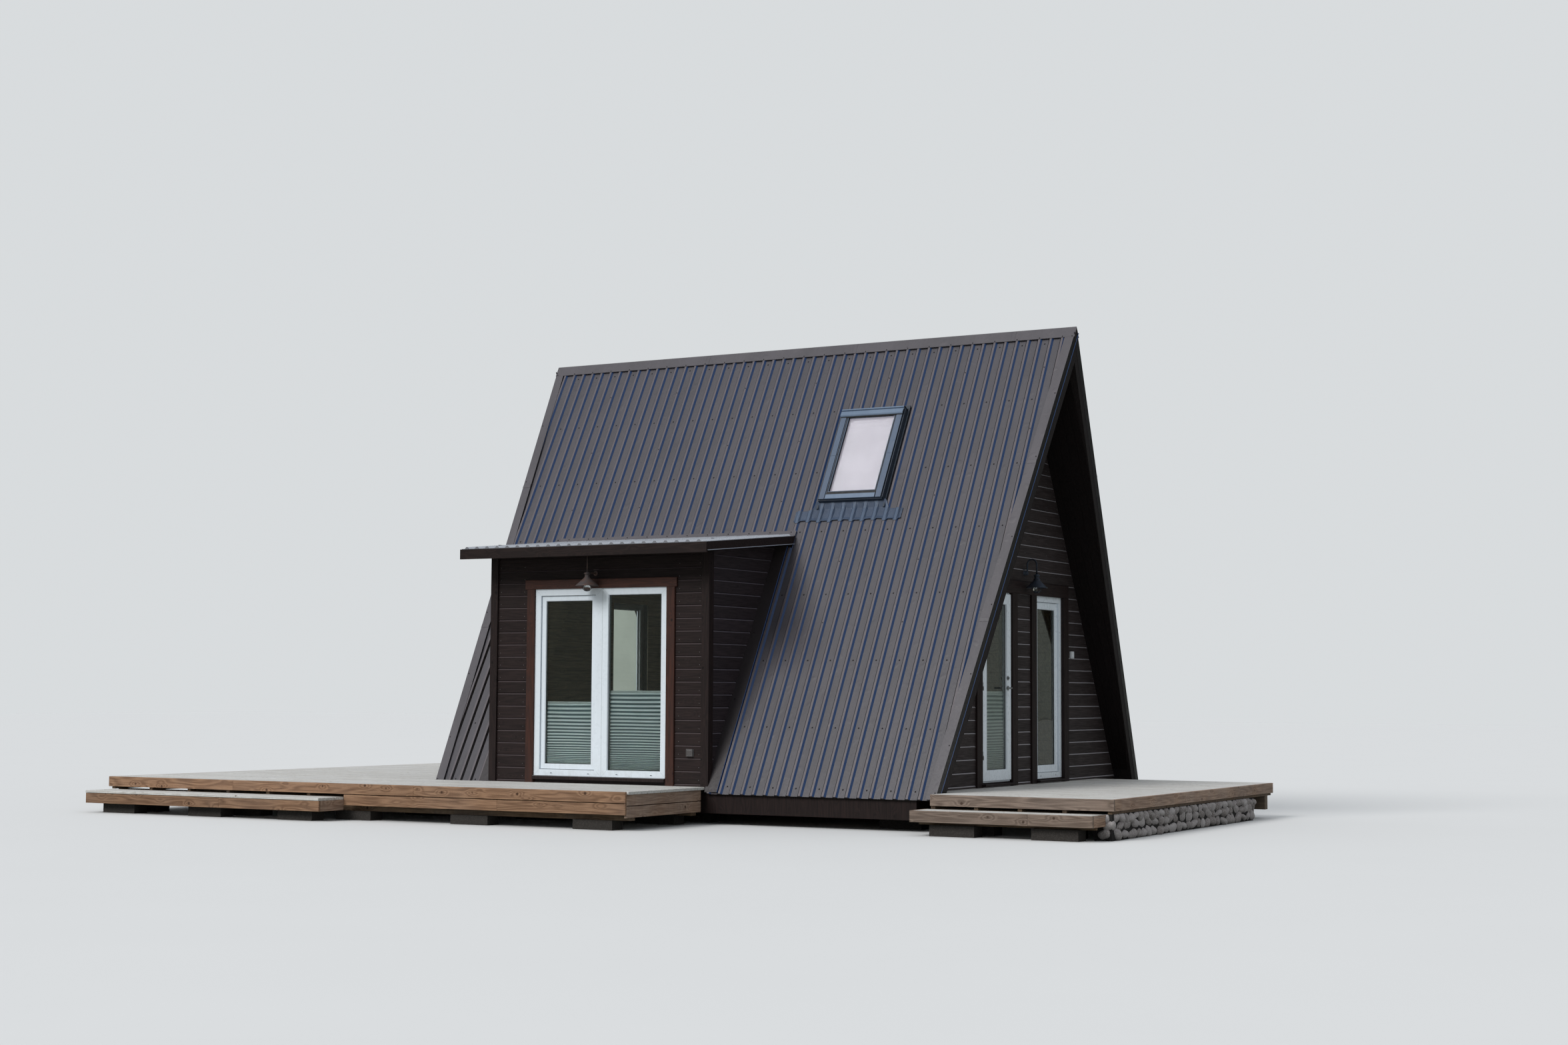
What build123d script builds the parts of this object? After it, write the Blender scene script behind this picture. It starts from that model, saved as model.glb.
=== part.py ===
from build123d import *

import os
from math import cos, radians, sin, tan

# An a-frame cabin with a shed-roofed bay, two timber decks and its steps.
# X runs along the ridge, with the glazed entrance gable at +X.
# -Y is the side with the bay, +Z is up, and the ground is at Z = 0.
# The origin is on the ground under the middle of the ridge. Sizes are in millimetres.

os.makedirs("parts", exist_ok=True)

# Heights above the ground
pier_height = 120
floor_depth = 200
floor_top = 450
deck_top = 400
eave_height = 340
ridge_height = 5600

# Roof
roof_pitch = 60.8
ridge_length = 7160
gable_rake = 385
roof_thickness = 170
sheet_thickness = 5
rib_height = 20
rib_pitch = 140
rib_foot = 62
rib_crown = 26
sheet_ridge_gap = 60
flashing_thickness = 4
ridge_cap_wing = 140
barge_width = 110
barge_drop = 95

# Gable walls
gable_overhang = 235
gable_thickness = 150

# Sill beams under the eaves
sill_inset = 55
sill_gap = 1

# Doors
door_height = 2100
gable_door_width = 810
side_door_y = 600
frame_bar = 65
frame_depth = 70
entrance_leaf_bar = 62
side_leaf_bar = 75
bay_leaf_bar = 52
leaf_thickness = 50
door_gap = 5
glass_thickness = 24
entrance_lip = 20
entrance_lip_cover = 45
bay_door_width = 1760
bay_door_x = -960
bay_frame_proud = 20
bay_sill_height = 25
bay_frame_bar = 74
mullion_width = 168
mullion_offset = 22

# Hinges
pin_radius = 5
knuckle_radius = 9
knuckle_height = 45
pin_clearance = 0.1
hinge_seat = 0.3
hinge_plate = 3
hinge_plate_reach = 34
hinge_inset = 230

# Entrance door fittings
lever_height = 1034
lock_height = 1145
rose_radius = 26
rose_thickness = 8
lever_reach = 55
lever_length = 120
lever_radius = 9
lock_radius = 24
lock_depth = 18
handle_setback = 90

# Casings and corner boards
trim_thickness = 40
gable_casing_width = 148
gable_casing_gap = 13.6
gable_head_height = 145
bay_casing_width = 108
bay_head_height = 105
bay_head_ear = 25
corner_board_width = 95

# Bay
bay_left_of_door = 1455
bay_right_of_door = 1390
bay_inset = 46
bay_wall_thickness = 120
bay_roof_pitch = 5.3
bay_roof_overhang = 418
bay_roof_rise = 453
bay_roof_depth = 80
bay_roof_left_overhang = 165
bay_roof_right_overhang = 220
bay_fascia_thickness = 22
bay_fascia_height = 112
bay_side_fascia_height = 88
bay_sheet_lap = 20
bay_header = 47

# Roof window
window_x = 1280
window_from_ridge = 1030
window_width = 800
window_length = 1260
window_bar = 95
window_proud = 70
window_glass_thickness = 24
window_glass_drop = 18
window_apron_width = 1370
window_apron_length = 270
window_head_flashing = 70
window_flashing_side = 90
window_flashing_thickness = 5

# Rear window
rear_window_height = 1200

# Decks
board_thickness = 28
fascia_height = 115
fascia_gap = 8
joist_width = 45
joist_depth = 115
joist_spacing = 600
bearer_width = 100
fascia_joint = 2
bay_deck_inset = 20
bay_deck_reach = 1570
rear_deck_reach = 3870
gable_deck_reach = 2218
gable_deck_lap = 172
deck_back = 2050
deck_clearance = 5
step_drop = 146
bay_step_inset = 60
bay_step_length = 3490
bay_step_depth = 420
gable_step_inset = 190
gable_step_end_inset = 78
gable_step_depth = 362

# Stone plinth
plinth_thickness = 180
plinth_inset = 20
plinth_end = 1350

# Piers
block_length = 490
block_width = 200
block_height = 100
block_spacing = 1750
pier_inset = 360
bearer_inset = 180
bearer_setback = 105

# Lamps
lamp_plate_radius = 60
lamp_plate_thickness = 16
lamp_arm_radius = 8
lamp_shade_wall = 3
bay_lamp_offset = 70
bay_lamp_rise = 166
bay_lamp_reach = 185
bay_lamp_rim_radius = 131
bay_lamp_shade_height = 158
bay_lamp_neck_radius = 26
bay_lamp_stem_radius = 5
gable_lamp_offset = 35
gable_lamp_rise = 240
gable_lamp_reach = 170
gable_lamp_rim_radius = 124
gable_lamp_shade_height = 170
gable_lamp_neck_radius = 28
gable_lamp_leg = 97
gable_lamp_leg_gap = 116
gable_lamp_boss_radius = 26
bulb_radius = 42
bulb_neck_radius = 14
bulb_rise = 20

# Sockets
socket_side = 80
socket_depth = 40
bay_socket_inset = 200
bay_socket_height = 315
gable_socket_gap = 117
gable_socket_height = 1435

# Worked-out values
pitch_sine = sin(radians(roof_pitch))
pitch_cosine = cos(radians(roof_pitch))
pitch_tangent = tan(radians(roof_pitch))
sheet_depth = flashing_thickness + rib_height + sheet_thickness
slab_depth = sheet_depth + roof_thickness
slope_length = (ridge_height - eave_height) / pitch_sine
floor_bottom = floor_top - floor_depth
top_x = ridge_length / 2
gable_face = top_x - gable_rake - gable_overhang
gable_inner = gable_face - gable_thickness
door_head = floor_top + door_height
bay_door_foot = floor_top + bay_sill_height
bay_door_head = bay_door_foot + door_height
bay_tangent = tan(radians(bay_roof_pitch))
mirror_plane = Plane.XZ


def half_width(height, depth=0.0):
    """Distance from the ridge line to the slope at a height, a depth under its outer face."""
    return (ridge_height - height) / pitch_tangent - depth / pitch_sine


def slope_z(y, depth=0.0):
    """Height of the slope at a distance from the ridge line, a depth under its outer face."""
    return ridge_height - y * pitch_tangent - depth / pitch_cosine


# Bay, placed by the slope where it meets the deck and by its doorway
bay_face = half_width(deck_top) - bay_inset
bay_back = bay_face - bay_wall_thickness
bay_left = bay_door_x - bay_left_of_door
bay_right = bay_door_x + bay_right_of_door
bay_roof_front = bay_face + bay_roof_overhang
bay_roof_front_height = bay_door_head + bay_roof_rise
bay_roof_left = bay_left - bay_roof_left_overhang
bay_roof_right = bay_right + bay_roof_right_overhang

# Decks and steps, placed by the bay and the gable walls
bay_deck_left = -gable_face - rear_deck_reach
bay_deck_right = bay_right - bay_deck_inset
bay_deck_front = bay_face + bay_deck_reach
gable_deck_end = gable_face + gable_deck_reach
gable_deck_front = half_width(deck_top) + gable_deck_lap
bay_step_left = bay_deck_left + bay_step_inset
bay_step_right = bay_step_left + bay_step_length
gable_step_left = gable_face + gable_step_inset
gable_step_right = gable_deck_end - gable_step_end_inset


def edge_x(distance):
    """Half length of the roof at a distance down the slope, where its gable edges rake in."""
    return top_x - gable_rake * distance / slope_length


def bay_top_z(y):
    """Height of the bay roof's upper face at a distance from the ridge line."""
    return bay_roof_front_height + (bay_roof_front - y) * bay_tangent


def slope_plane(depth):
    """Plane parallel to the bay-side slope, a depth under its outer face, with Y up the slope."""
    normal = (0, -pitch_sine, pitch_cosine)
    return Plane(origin=(0, 0, ridge_height), x_dir=(1, 0, 0), z_dir=normal).offset(-depth)


def place(part, name):
    """Names a finished piece and writes its file."""
    part.label = name
    export_step(part, "parts/" + name + ".step")


# The bay roof's upper face meets the slope's outer face at this distance from the ridge line
bay_meet_y = (ridge_height - bay_roof_front_height - bay_roof_front * bay_tangent) / (
    pitch_tangent - bay_tangent
)
bay_under_meet_y = bay_meet_y + bay_roof_depth / (pitch_tangent - bay_tangent)
bay_meet_z = bay_top_z(bay_meet_y)
bay_under_meet_z = slope_z(bay_under_meet_y)
bay_opening_top = bay_under_meet_z - bay_header
bay_sheet_end = (ridge_height - bay_meet_z) / pitch_sine - ridge_cap_wing / 2
window_end = window_from_ridge + window_length
deck_board_foot = deck_top - board_thickness
bay_deck_back = half_width(deck_board_foot) + deck_clearance
bay_joist_back = half_width(eave_height) + deck_clearance
foot_x = edge_x(slope_length) + 2 * deck_clearance

# Bearers under the deck joists, as rows along X, each with its two ends and its Y
deck_joist_foot = deck_board_foot - joist_depth
bay_deck_start = bay_deck_left + board_thickness
bay_deck_stop = bay_deck_right - board_thickness
gable_deck_x = gable_deck_end - board_thickness
plinth_x = gable_deck_end - plinth_inset - plinth_thickness
bay_bearer_front = -bay_deck_front + bearer_inset
house_bearer_y = -bay_joist_back - bearer_setback
rear_bearer_back = deck_back - bearer_inset
bearer_rows = [
    (bay_deck_start, bay_deck_stop, bay_bearer_front),
    (bay_deck_start, bay_deck_stop, house_bearer_y),
    (bay_deck_start, -foot_x, (2 * house_bearer_y + rear_bearer_back) / 3),
    (bay_deck_start, -foot_x, (house_bearer_y + 2 * rear_bearer_back) / 3),
    (bay_deck_start, -foot_x, rear_bearer_back),
    (foot_x, plinth_x, -gable_deck_front + bearer_inset),
    (foot_x, plinth_x, (rear_bearer_back - gable_deck_front + bearer_inset) / 2),
    (foot_x, gable_deck_x, rear_bearer_back),
]


def even_places(start, end, spacing):
    """Even places between two ends, both ends among them, no further apart than the spacing."""
    count = int((end - start) / spacing) + 2
    gap = (end - start) / (count - 1)
    return [start + index * gap for index in range(count)]


# Block piers, under the house, the decks and the steps
pier_x = gable_inner - block_length / 2 - deck_clearance
pier_y = half_width(eave_height, slab_depth) - pier_inset
step_joist_foot = deck_top - step_drop - board_thickness - joist_depth
bay_step_back = bay_deck_front
bay_step_front = bay_deck_front + bay_step_depth
gable_step_front = gable_deck_front + gable_step_depth
step_rows = [
    (bay_step_left, bay_step_right, -(bay_step_front + bay_step_back) / 2),
    (gable_step_left, gable_step_right, -(gable_step_front + gable_deck_front) / 2),
]
with BuildPart() as block_piers:
    with GridLocations(pier_x, pier_y, 3, 3):
        Box(block_length, block_width, floor_bottom, align=(Align.CENTER, Align.CENTER, Align.MIN))
    for rows, height in ((bearer_rows, block_height), (step_rows, step_joist_foot)):
        for start, end, y in rows:
            places = even_places(start + bearer_inset + block_length / 2,
                                 end - bearer_inset - block_length / 2, block_spacing)
            with Locations(*[(x, y, 0) for x in places]):
                Box(block_length, block_width, height, align=(Align.CENTER, Align.CENTER, Align.MIN))
place(block_piers.part, "block_piers")

# Floor, with its edges cut to the slope and a tongue out to the bay's front wall
floor_edge = half_width(floor_top, slab_depth)
sill_edge = half_width(eave_height, slab_depth)
with BuildPart() as floor:
    with BuildSketch(Plane.YZ.offset(-gable_inner)):
        with BuildLine():
            Polyline(
                (-sill_edge, floor_bottom), (-sill_edge, eave_height), (-floor_edge, floor_top),
                (floor_edge, floor_top), (sill_edge, eave_height), (sill_edge, floor_bottom),
                close=True,
            )
        make_face()
    extrude(amount=2 * gable_inner)
    bay_inner_length = bay_right - bay_left - 2 * bay_wall_thickness
    with Locations(((bay_left + bay_right) / 2, -bay_back, floor_bottom)):
        Box(bay_inner_length, bay_back - floor_edge + bay_wall_thickness, floor_depth,
            align=(Align.CENTER, Align.MIN, Align.MIN))
place(floor.part, "floor")

# Sill beams, which carry the eaves and stop at the bay's walls
sill_outer = half_width(eave_height) - sill_inset
with BuildPart() as sill_beams:
    with BuildSketch(Plane.XY.offset(pier_height)):
        with Locations((0, (sill_outer + sill_edge) / 2)):
            Rectangle(2 * gable_face, sill_outer - sill_edge)
        left_run = bay_left + gable_face
        with Locations((-gable_face + left_run / 2, -(sill_outer + sill_edge) / 2)):
            Rectangle(left_run, sill_outer - sill_edge)
        right_run = gable_face - bay_right
        with Locations((gable_face - right_run / 2, -(sill_outer + sill_edge) / 2)):
            Rectangle(right_run, sill_outer - sill_edge)
    extrude(amount=eave_height - pier_height)
place(sill_beams.part, "sill_beams")


def gable_piece(points, face):
    """Wall piece with an outline in Y and Z, one wall thick, its outer face at X = face."""
    with BuildPart() as piece:
        with BuildSketch(Plane.YZ.offset(face - gable_thickness if face > 0 else face)):
            with BuildLine():
                Polyline(*points, close=True)
            make_face()
        extrude(amount=gable_thickness)
    return piece.part


# Entrance gable wall, split beside, between, under and over its two doorways
# The entrance door's casing reaches almost to the slope's underside at the doors' heads
head_edge = half_width(door_head, slab_depth)
entrance_left = gable_casing_gap + gable_casing_width - head_edge
entrance_right = entrance_left + gable_door_width
entrance_door_y = (entrance_left + entrance_right) / 2
side_left = side_door_y - gable_door_width / 2
side_right = side_door_y + gable_door_width / 2
gable_apex = slope_z(0, slab_depth)
gable_outline = [(-sill_edge, pier_height), (-sill_edge, eave_height), (0, gable_apex),
                 (sill_edge, eave_height), (sill_edge, pier_height)]
gable_wall_base = gable_piece(
    [(-sill_edge, pier_height), (-sill_edge, eave_height), (-floor_edge, floor_top),
     (floor_edge, floor_top), (sill_edge, eave_height), (sill_edge, pier_height)], gable_face)
gable_wall_left = gable_piece(
    [(-floor_edge, floor_top), (-head_edge, door_head), (entrance_left, door_head),
     (entrance_left, floor_top)], gable_face)
gable_wall_middle = gable_piece(
    [(entrance_right, floor_top), (entrance_right, door_head), (side_left, door_head),
     (side_left, floor_top)], gable_face)
gable_wall_right = gable_piece(
    [(side_right, floor_top), (side_right, door_head), (head_edge, door_head),
     (floor_edge, floor_top)], gable_face)
gable_wall_top = gable_piece(
    [(-head_edge, door_head), (0, gable_apex), (head_edge, door_head)], gable_face)
place(gable_wall_base, "gable_wall_base")
place(gable_wall_left, "gable_wall_left")
place(gable_wall_middle, "gable_wall_middle")
place(gable_wall_right, "gable_wall_right")
place(gable_wall_top, "gable_wall_top")

# Rear gable wall, with one window at the doors' head height
rear_sill = door_head - rear_window_height
with BuildPart() as rear_gable_wall:
    with BuildSketch(Plane.YZ.offset(-gable_face)):
        with BuildLine():
            Polyline(*gable_outline, close=True)
        make_face()
        with Locations((side_door_y, (rear_sill + door_head) / 2)):
            Rectangle(gable_door_width, rear_window_height, mode=Mode.SUBTRACT)
    extrude(amount=gable_thickness)
place(rear_gable_wall.part, "rear_gable_wall")


def slope_slab(points, low_z):
    """Roof slab with an outline in X and distance down the slope, cut level at low_z."""
    with BuildPart() as slab:
        with BuildSketch(slope_plane(slab_depth)):
            with BuildLine():
                Polyline(*[(x, -distance) for x, distance in points], close=True)
            make_face()
        extrude(amount=roof_thickness)
        split(bisect_by=Plane.XZ, keep=Keep.TOP)
        split(bisect_by=Plane.XY.offset(low_z), keep=Keep.TOP)
    return slab.part


# Roof slabs, which meet on the ridge line and stop level at the eaves
slab_end = slope_length + slab_depth
slab_edge_top = top_x - flashing_thickness
slab_edge_end = edge_x(slab_end) - flashing_thickness
front_roof_left = slope_slab(
    [(-slab_edge_top, 0), (bay_left, 0), (bay_left, slab_end), (-slab_edge_end, slab_end)],
    eave_height)
place(front_roof_left, "front_roof_left")

with BuildPart() as front_roof_over_bay:
    add(slope_slab([(bay_left, 0), (bay_right, 0), (bay_right, slab_end), (bay_left, slab_end)],
                   bay_opening_top))
    with BuildSketch(slope_plane(sheet_depth)):
        header_top = bay_sheet_end
        header_end = (ridge_height - bay_opening_top) / pitch_sine
        with Locations(((bay_left + bay_right) / 2, -(header_top + header_end) / 2)):
            Rectangle(bay_right - bay_left, header_end - header_top)
    extrude(amount=sheet_depth - flashing_thickness)
    split(bisect_by=Plane.XY.offset(bay_opening_top), keep=Keep.TOP)
place(front_roof_over_bay.part, "front_roof_over_bay")

with BuildPart() as front_roof_right:
    add(slope_slab([(bay_right, 0), (slab_edge_top, 0), (slab_edge_end, slab_end),
                    (bay_right, slab_end)], eave_height))
    with BuildSketch(slope_plane(slab_depth)):
        with Locations((window_x, -(window_from_ridge + window_end) / 2)):
            Rectangle(window_width, window_length)
    extrude(amount=roof_thickness, mode=Mode.SUBTRACT)
place(front_roof_right.part, "front_roof_right")

back_roof = mirror(
    slope_slab([(-slab_edge_top, 0), (slab_edge_top, 0), (slab_edge_end, slab_end),
                (-slab_edge_end, slab_end)], eave_height), about=mirror_plane)
place(back_roof, "back_roof")


def ribbed_profile(length):
    """Points of a ribbed sheet's section across the ribs, centred, with its flat face at zero."""
    count = int(length / rib_pitch) + 1
    start = -(count - 1) * rib_pitch / 2
    points = [(-length / 2 - rib_pitch, 0), (-length / 2 - rib_pitch, sheet_thickness)]
    for index in range(count):
        centre = start + index * rib_pitch
        points += [
            (centre - rib_foot / 2, sheet_thickness),
            (centre - rib_crown / 2, sheet_thickness + rib_height),
            (centre + rib_crown / 2, sheet_thickness + rib_height),
            (centre + rib_foot / 2, sheet_thickness),
        ]
    points += [(length / 2 + rib_pitch, sheet_thickness), (length / 2 + rib_pitch, 0)]
    return points


# Ribbed sheets: a section across the ribs, carried down the slope, then cut to the raked outline
sheet_plane = Plane(
    origin=slope_plane(sheet_depth).from_local_coords((0, -sheet_ridge_gap, 0)),
    x_dir=(1, 0, 0),
    z_dir=(0, pitch_cosine, pitch_sine),
)
sheet_edge_top = edge_x(sheet_ridge_gap) - flashing_thickness
sheet_edge_end = edge_x(slope_length) - flashing_thickness
sheet_outline = [
    (-sheet_edge_top, -sheet_ridge_gap), (sheet_edge_top, -sheet_ridge_gap),
    (sheet_edge_end, -slope_length), (-sheet_edge_end, -slope_length),
]


def ribbed_slope():
    """Ribbed sheet over a whole slope on the bay side, before anything is cut out of it."""
    with BuildPart() as sheet:
        with BuildSketch(sheet_plane):
            with BuildLine():
                Polyline(*[(x, -y) for x, y in ribbed_profile(ridge_length)], close=True)
            make_face()
        extrude(amount=-(slope_length - sheet_ridge_gap))
        with BuildSketch(slope_plane(sheet_depth)):
            with BuildLine():
                Polyline(*sheet_outline, close=True)
            make_face()
        extrude(amount=sheet_depth, mode=Mode.INTERSECT)
    return sheet.part


with BuildPart() as front_roof_sheet:
    add(ribbed_slope())
    with BuildSketch(slope_plane(sheet_depth)):
        with Locations(((bay_left + bay_right) / 2, -(bay_sheet_end + slope_length + rib_pitch) / 2)):
            Rectangle(bay_right - bay_left + 2 * trim_thickness,
                      slope_length + rib_pitch - bay_sheet_end)
        with Locations(((bay_roof_left + bay_roof_right) / 2,
                        -(bay_sheet_end + (ridge_height - bay_opening_top) / pitch_sine) / 2)):
            Rectangle(bay_roof_right - bay_roof_left + 2 * deck_clearance,
                      (ridge_height - bay_opening_top) / pitch_sine - bay_sheet_end)
        with Locations((window_x, -(window_from_ridge + window_end) / 2)):
            Rectangle(window_width, window_length)
    extrude(amount=sheet_depth, mode=Mode.SUBTRACT)
place(front_roof_sheet.part, "front_roof_sheet")
place(mirror(ribbed_slope(), about=mirror_plane), "back_roof_sheet")

# Ridge cap over both slopes
cap_foot_y = ridge_cap_wing * pitch_cosine
cap_foot_z = ridge_height - ridge_cap_wing * pitch_sine
cap_lift_y = flashing_thickness * pitch_sine
cap_lift_z = flashing_thickness * pitch_cosine
with BuildPart() as ridge_cap:
    with BuildSketch(Plane.YZ.offset(-top_x)):
        with BuildLine():
            Polyline(
                (-cap_foot_y, cap_foot_z), (0, ridge_height), (cap_foot_y, cap_foot_z),
                (cap_foot_y - cap_lift_y, cap_foot_z - cap_lift_z),
                (0, ridge_height - flashing_thickness / pitch_cosine),
                (-cap_foot_y + cap_lift_y, cap_foot_z - cap_lift_z),
                close=True,
            )
        make_face()
    extrude(amount=ridge_length)
place(ridge_cap.part, "ridge_cap")


def barge(side):
    """Barge flashing on the bay-side slope: a wing on the sheet and a drop over the slab's end."""
    outer_top = side * edge_x(ridge_cap_wing)
    outer_end = side * edge_x(slope_length)
    with BuildPart() as flashing:
        with BuildSketch(slope_plane(flashing_thickness)):
            with BuildLine():
                Polyline(
                    (outer_top, -ridge_cap_wing), (outer_top - side * barge_width, -ridge_cap_wing),
                    (outer_end - side * barge_width, -slope_length), (outer_end, -slope_length),
                    close=True,
                )
            make_face()
        extrude(amount=flashing_thickness)
        with BuildSketch(slope_plane(barge_drop)):
            with BuildLine():
                Polyline(
                    (side * edge_x(flashing_thickness), -flashing_thickness),
                    (side * (edge_x(flashing_thickness) - flashing_thickness), -flashing_thickness),
                    (outer_end - side * flashing_thickness, -slope_length),
                    (outer_end, -slope_length), close=True,
                )
            make_face()
        extrude(amount=barge_drop - flashing_thickness)
        split(bisect_by=Plane.XZ, keep=Keep.TOP)
    return flashing.part


front_barges = Compound([barge(-1), barge(1)])
place(front_barges, "front_barge_flashings")
place(mirror(front_barges, about=mirror_plane), "back_barge_flashings")

# Roof window: a frame through the slab that stands proud of the sheet, its pane and its flashing
window_centre = -(window_from_ridge + window_end) / 2
with BuildPart() as skylight_frame:
    with BuildSketch(slope_plane(slab_depth)):
        with Locations((window_x, window_centre)):
            Rectangle(window_width, window_length)
            Rectangle(window_width - 2 * window_bar, window_length - 2 * window_bar,
                      mode=Mode.SUBTRACT)
    extrude(amount=slab_depth + window_proud)
place(skylight_frame.part, "skylight_frame")

with BuildPart() as skylight_glass:
    with BuildSketch(slope_plane(window_glass_drop + window_glass_thickness - window_proud)):
        with Locations((window_x, window_centre)):
            Rectangle(window_width - 2 * window_bar, window_length - 2 * window_bar)
    extrude(amount=window_glass_thickness)
place(skylight_glass.part, "skylight_glass")

with BuildPart() as skylight_flashing:
    with BuildSketch(slope_plane(flashing_thickness)):
        with Locations((window_x, window_centre)):
            Rectangle(window_width + 2 * window_flashing_side,
                      window_length + 2 * window_head_flashing)
        with Locations((window_x, -window_end - window_apron_length / 2)):
            Rectangle(window_apron_width, window_apron_length)
        with Locations((window_x, window_centre)):
            Rectangle(window_width, window_length, mode=Mode.SUBTRACT)
    extrude(amount=window_flashing_thickness)
place(skylight_flashing.part, "skylight_flashing")


def bay_wall(x_from, x_to, z_from, z_to):
    """Piece of the bay's front wall; without z_to it runs up to the bay roof."""
    under_front = bay_top_z(bay_face) - bay_roof_depth
    under_back = bay_top_z(bay_back) - bay_roof_depth
    with BuildPart() as piece:
        with BuildSketch(Plane.YZ.offset(x_from)):
            with BuildLine():
                Polyline(
                    (-bay_face, z_from), (-bay_face, z_to or under_front),
                    (-bay_back, z_to or under_back), (-bay_back, z_from), close=True,
                )
            make_face()
        extrude(amount=x_to - x_from)
    return piece.part


# Bay: front wall beside, under and over its doorway
bay_door_left = bay_door_x - bay_door_width / 2
bay_door_right = bay_door_x + bay_door_width / 2
place(bay_wall(bay_left, bay_door_left, pier_height, None), "bay_wall_left")
place(bay_wall(bay_door_right, bay_right, pier_height, None), "bay_wall_right")
place(bay_wall(bay_door_left, bay_door_right, bay_door_head, None), "bay_wall_over")
place(bay_wall(bay_door_left, bay_door_right, pier_height, bay_door_foot), "bay_wall_under")

# Bay cheeks, which fill the slope's opening at both ends
cheek_foot_z = slope_z(bay_back, slab_depth)
cheek_outline = [
    (-bay_back, cheek_foot_z), (-bay_back, bay_top_z(bay_back) - bay_roof_depth),
    (-bay_under_meet_y, bay_under_meet_z), (-half_width(bay_opening_top), bay_opening_top),
    (-half_width(bay_opening_top, slab_depth), bay_opening_top),
]
with BuildPart() as bay_cheeks:
    for start in (bay_left, bay_right - bay_wall_thickness):
        with BuildSketch(Plane.YZ.offset(start)):
            with BuildLine():
                Polyline(*cheek_outline, close=True)
            make_face()
        extrude(amount=bay_wall_thickness)
place(bay_cheeks.part, "bay_cheeks")

# Bay roof slab, its ribbed sheet and its fascias
with BuildPart() as bay_roof:
    with BuildSketch(Plane.YZ.offset(bay_roof_left)):
        with BuildLine():
            Polyline(
                (-bay_roof_front, bay_roof_front_height),
                (-bay_meet_y, bay_meet_z), (-bay_under_meet_y, bay_under_meet_z),
                (-bay_roof_front, bay_roof_front_height - bay_roof_depth), close=True,
            )
        make_face()
    extrude(amount=bay_roof_right - bay_roof_left)
place(bay_roof.part, "bay_roof")

bay_roof_middle = (bay_roof_left + bay_roof_right) / 2
bay_roof_width = bay_roof_right - bay_roof_left
bay_sheet_plane = Plane(
    origin=(bay_roof_middle, -bay_roof_front, bay_roof_front_height),
    x_dir=(1, 0, 0),
    z_dir=(0, -cos(radians(bay_roof_pitch)), -sin(radians(bay_roof_pitch))),
)
bay_slope_length = (bay_roof_front - bay_meet_y) / cos(radians(bay_roof_pitch))
with BuildPart() as bay_roof_sheet:
    with BuildSketch(bay_sheet_plane.offset(bay_sheet_lap)):
        with BuildLine():
            Polyline(*ribbed_profile(bay_roof_width - rib_pitch), close=True)
        make_face()
        Rectangle(bay_roof_width, 4 * rib_pitch, mode=Mode.INTERSECT)
    extrude(amount=-(bay_slope_length + bay_sheet_lap))
    with BuildSketch(Plane.YZ.offset(bay_roof_left - rib_pitch)):
        with BuildLine():
            Polyline(
                (0, ridge_height), (-bay_meet_y * 2, slope_z(bay_meet_y * 2)),
                (0, slope_z(bay_meet_y * 2)), close=True,
            )
        make_face()
    extrude(amount=bay_roof_width + 2 * rib_pitch, mode=Mode.SUBTRACT)
place(bay_roof_sheet.part, "bay_roof_sheet")

bay_fascia_top = bay_top_z(bay_roof_front + bay_fascia_thickness)
fascia_meet_y = bay_meet_y + bay_side_fascia_height / (pitch_tangent - bay_tangent)
with BuildPart() as bay_fascias:
    with Locations((bay_roof_middle, -bay_roof_front, bay_fascia_top)):
        Box(bay_roof_width + 2 * bay_fascia_thickness, bay_fascia_thickness, bay_fascia_height,
            align=(Align.CENTER, Align.MAX, Align.MAX))
    side_front = bay_roof_front - fascia_joint
    for start in (bay_roof_left - bay_fascia_thickness, bay_roof_right):
        with BuildSketch(Plane.YZ.offset(start)):
            with BuildLine():
                Polyline(
                    (-side_front, bay_top_z(side_front)), (-bay_meet_y, bay_meet_z),
                    (-fascia_meet_y, slope_z(fascia_meet_y)),
                    (-side_front, bay_top_z(side_front) - bay_side_fascia_height), close=True,
                )
            make_face()
        extrude(amount=bay_fascia_thickness)
place(bay_fascias.part, "bay_fascias")

# Corner boards of the bay, wrapped round each front corner
corner_top = bay_top_z(bay_face + trim_thickness) - bay_roof_depth
corner_height = corner_top - deck_top
with BuildPart() as bay_corner_boards:
    with BuildSketch(Plane.XY.offset(deck_top)):
        for corner, side in ((bay_left, -1), (bay_right, 1)):
            with BuildLine():
                Polyline(
                    (corner, -bay_face), (corner - side * (corner_board_width - trim_thickness), -bay_face),
                    (corner - side * (corner_board_width - trim_thickness), -bay_face - trim_thickness),
                    (corner + side * trim_thickness, -bay_face - trim_thickness),
                    (corner + side * trim_thickness, -bay_face + corner_board_width - trim_thickness),
                    (corner, -bay_face + corner_board_width - trim_thickness), close=True,
                )
            make_face()
    extrude(amount=corner_height)
    split(bisect_by=slope_plane(sheet_depth), keep=Keep.TOP)
place(bay_corner_boards.part, "bay_corner_boards")

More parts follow.
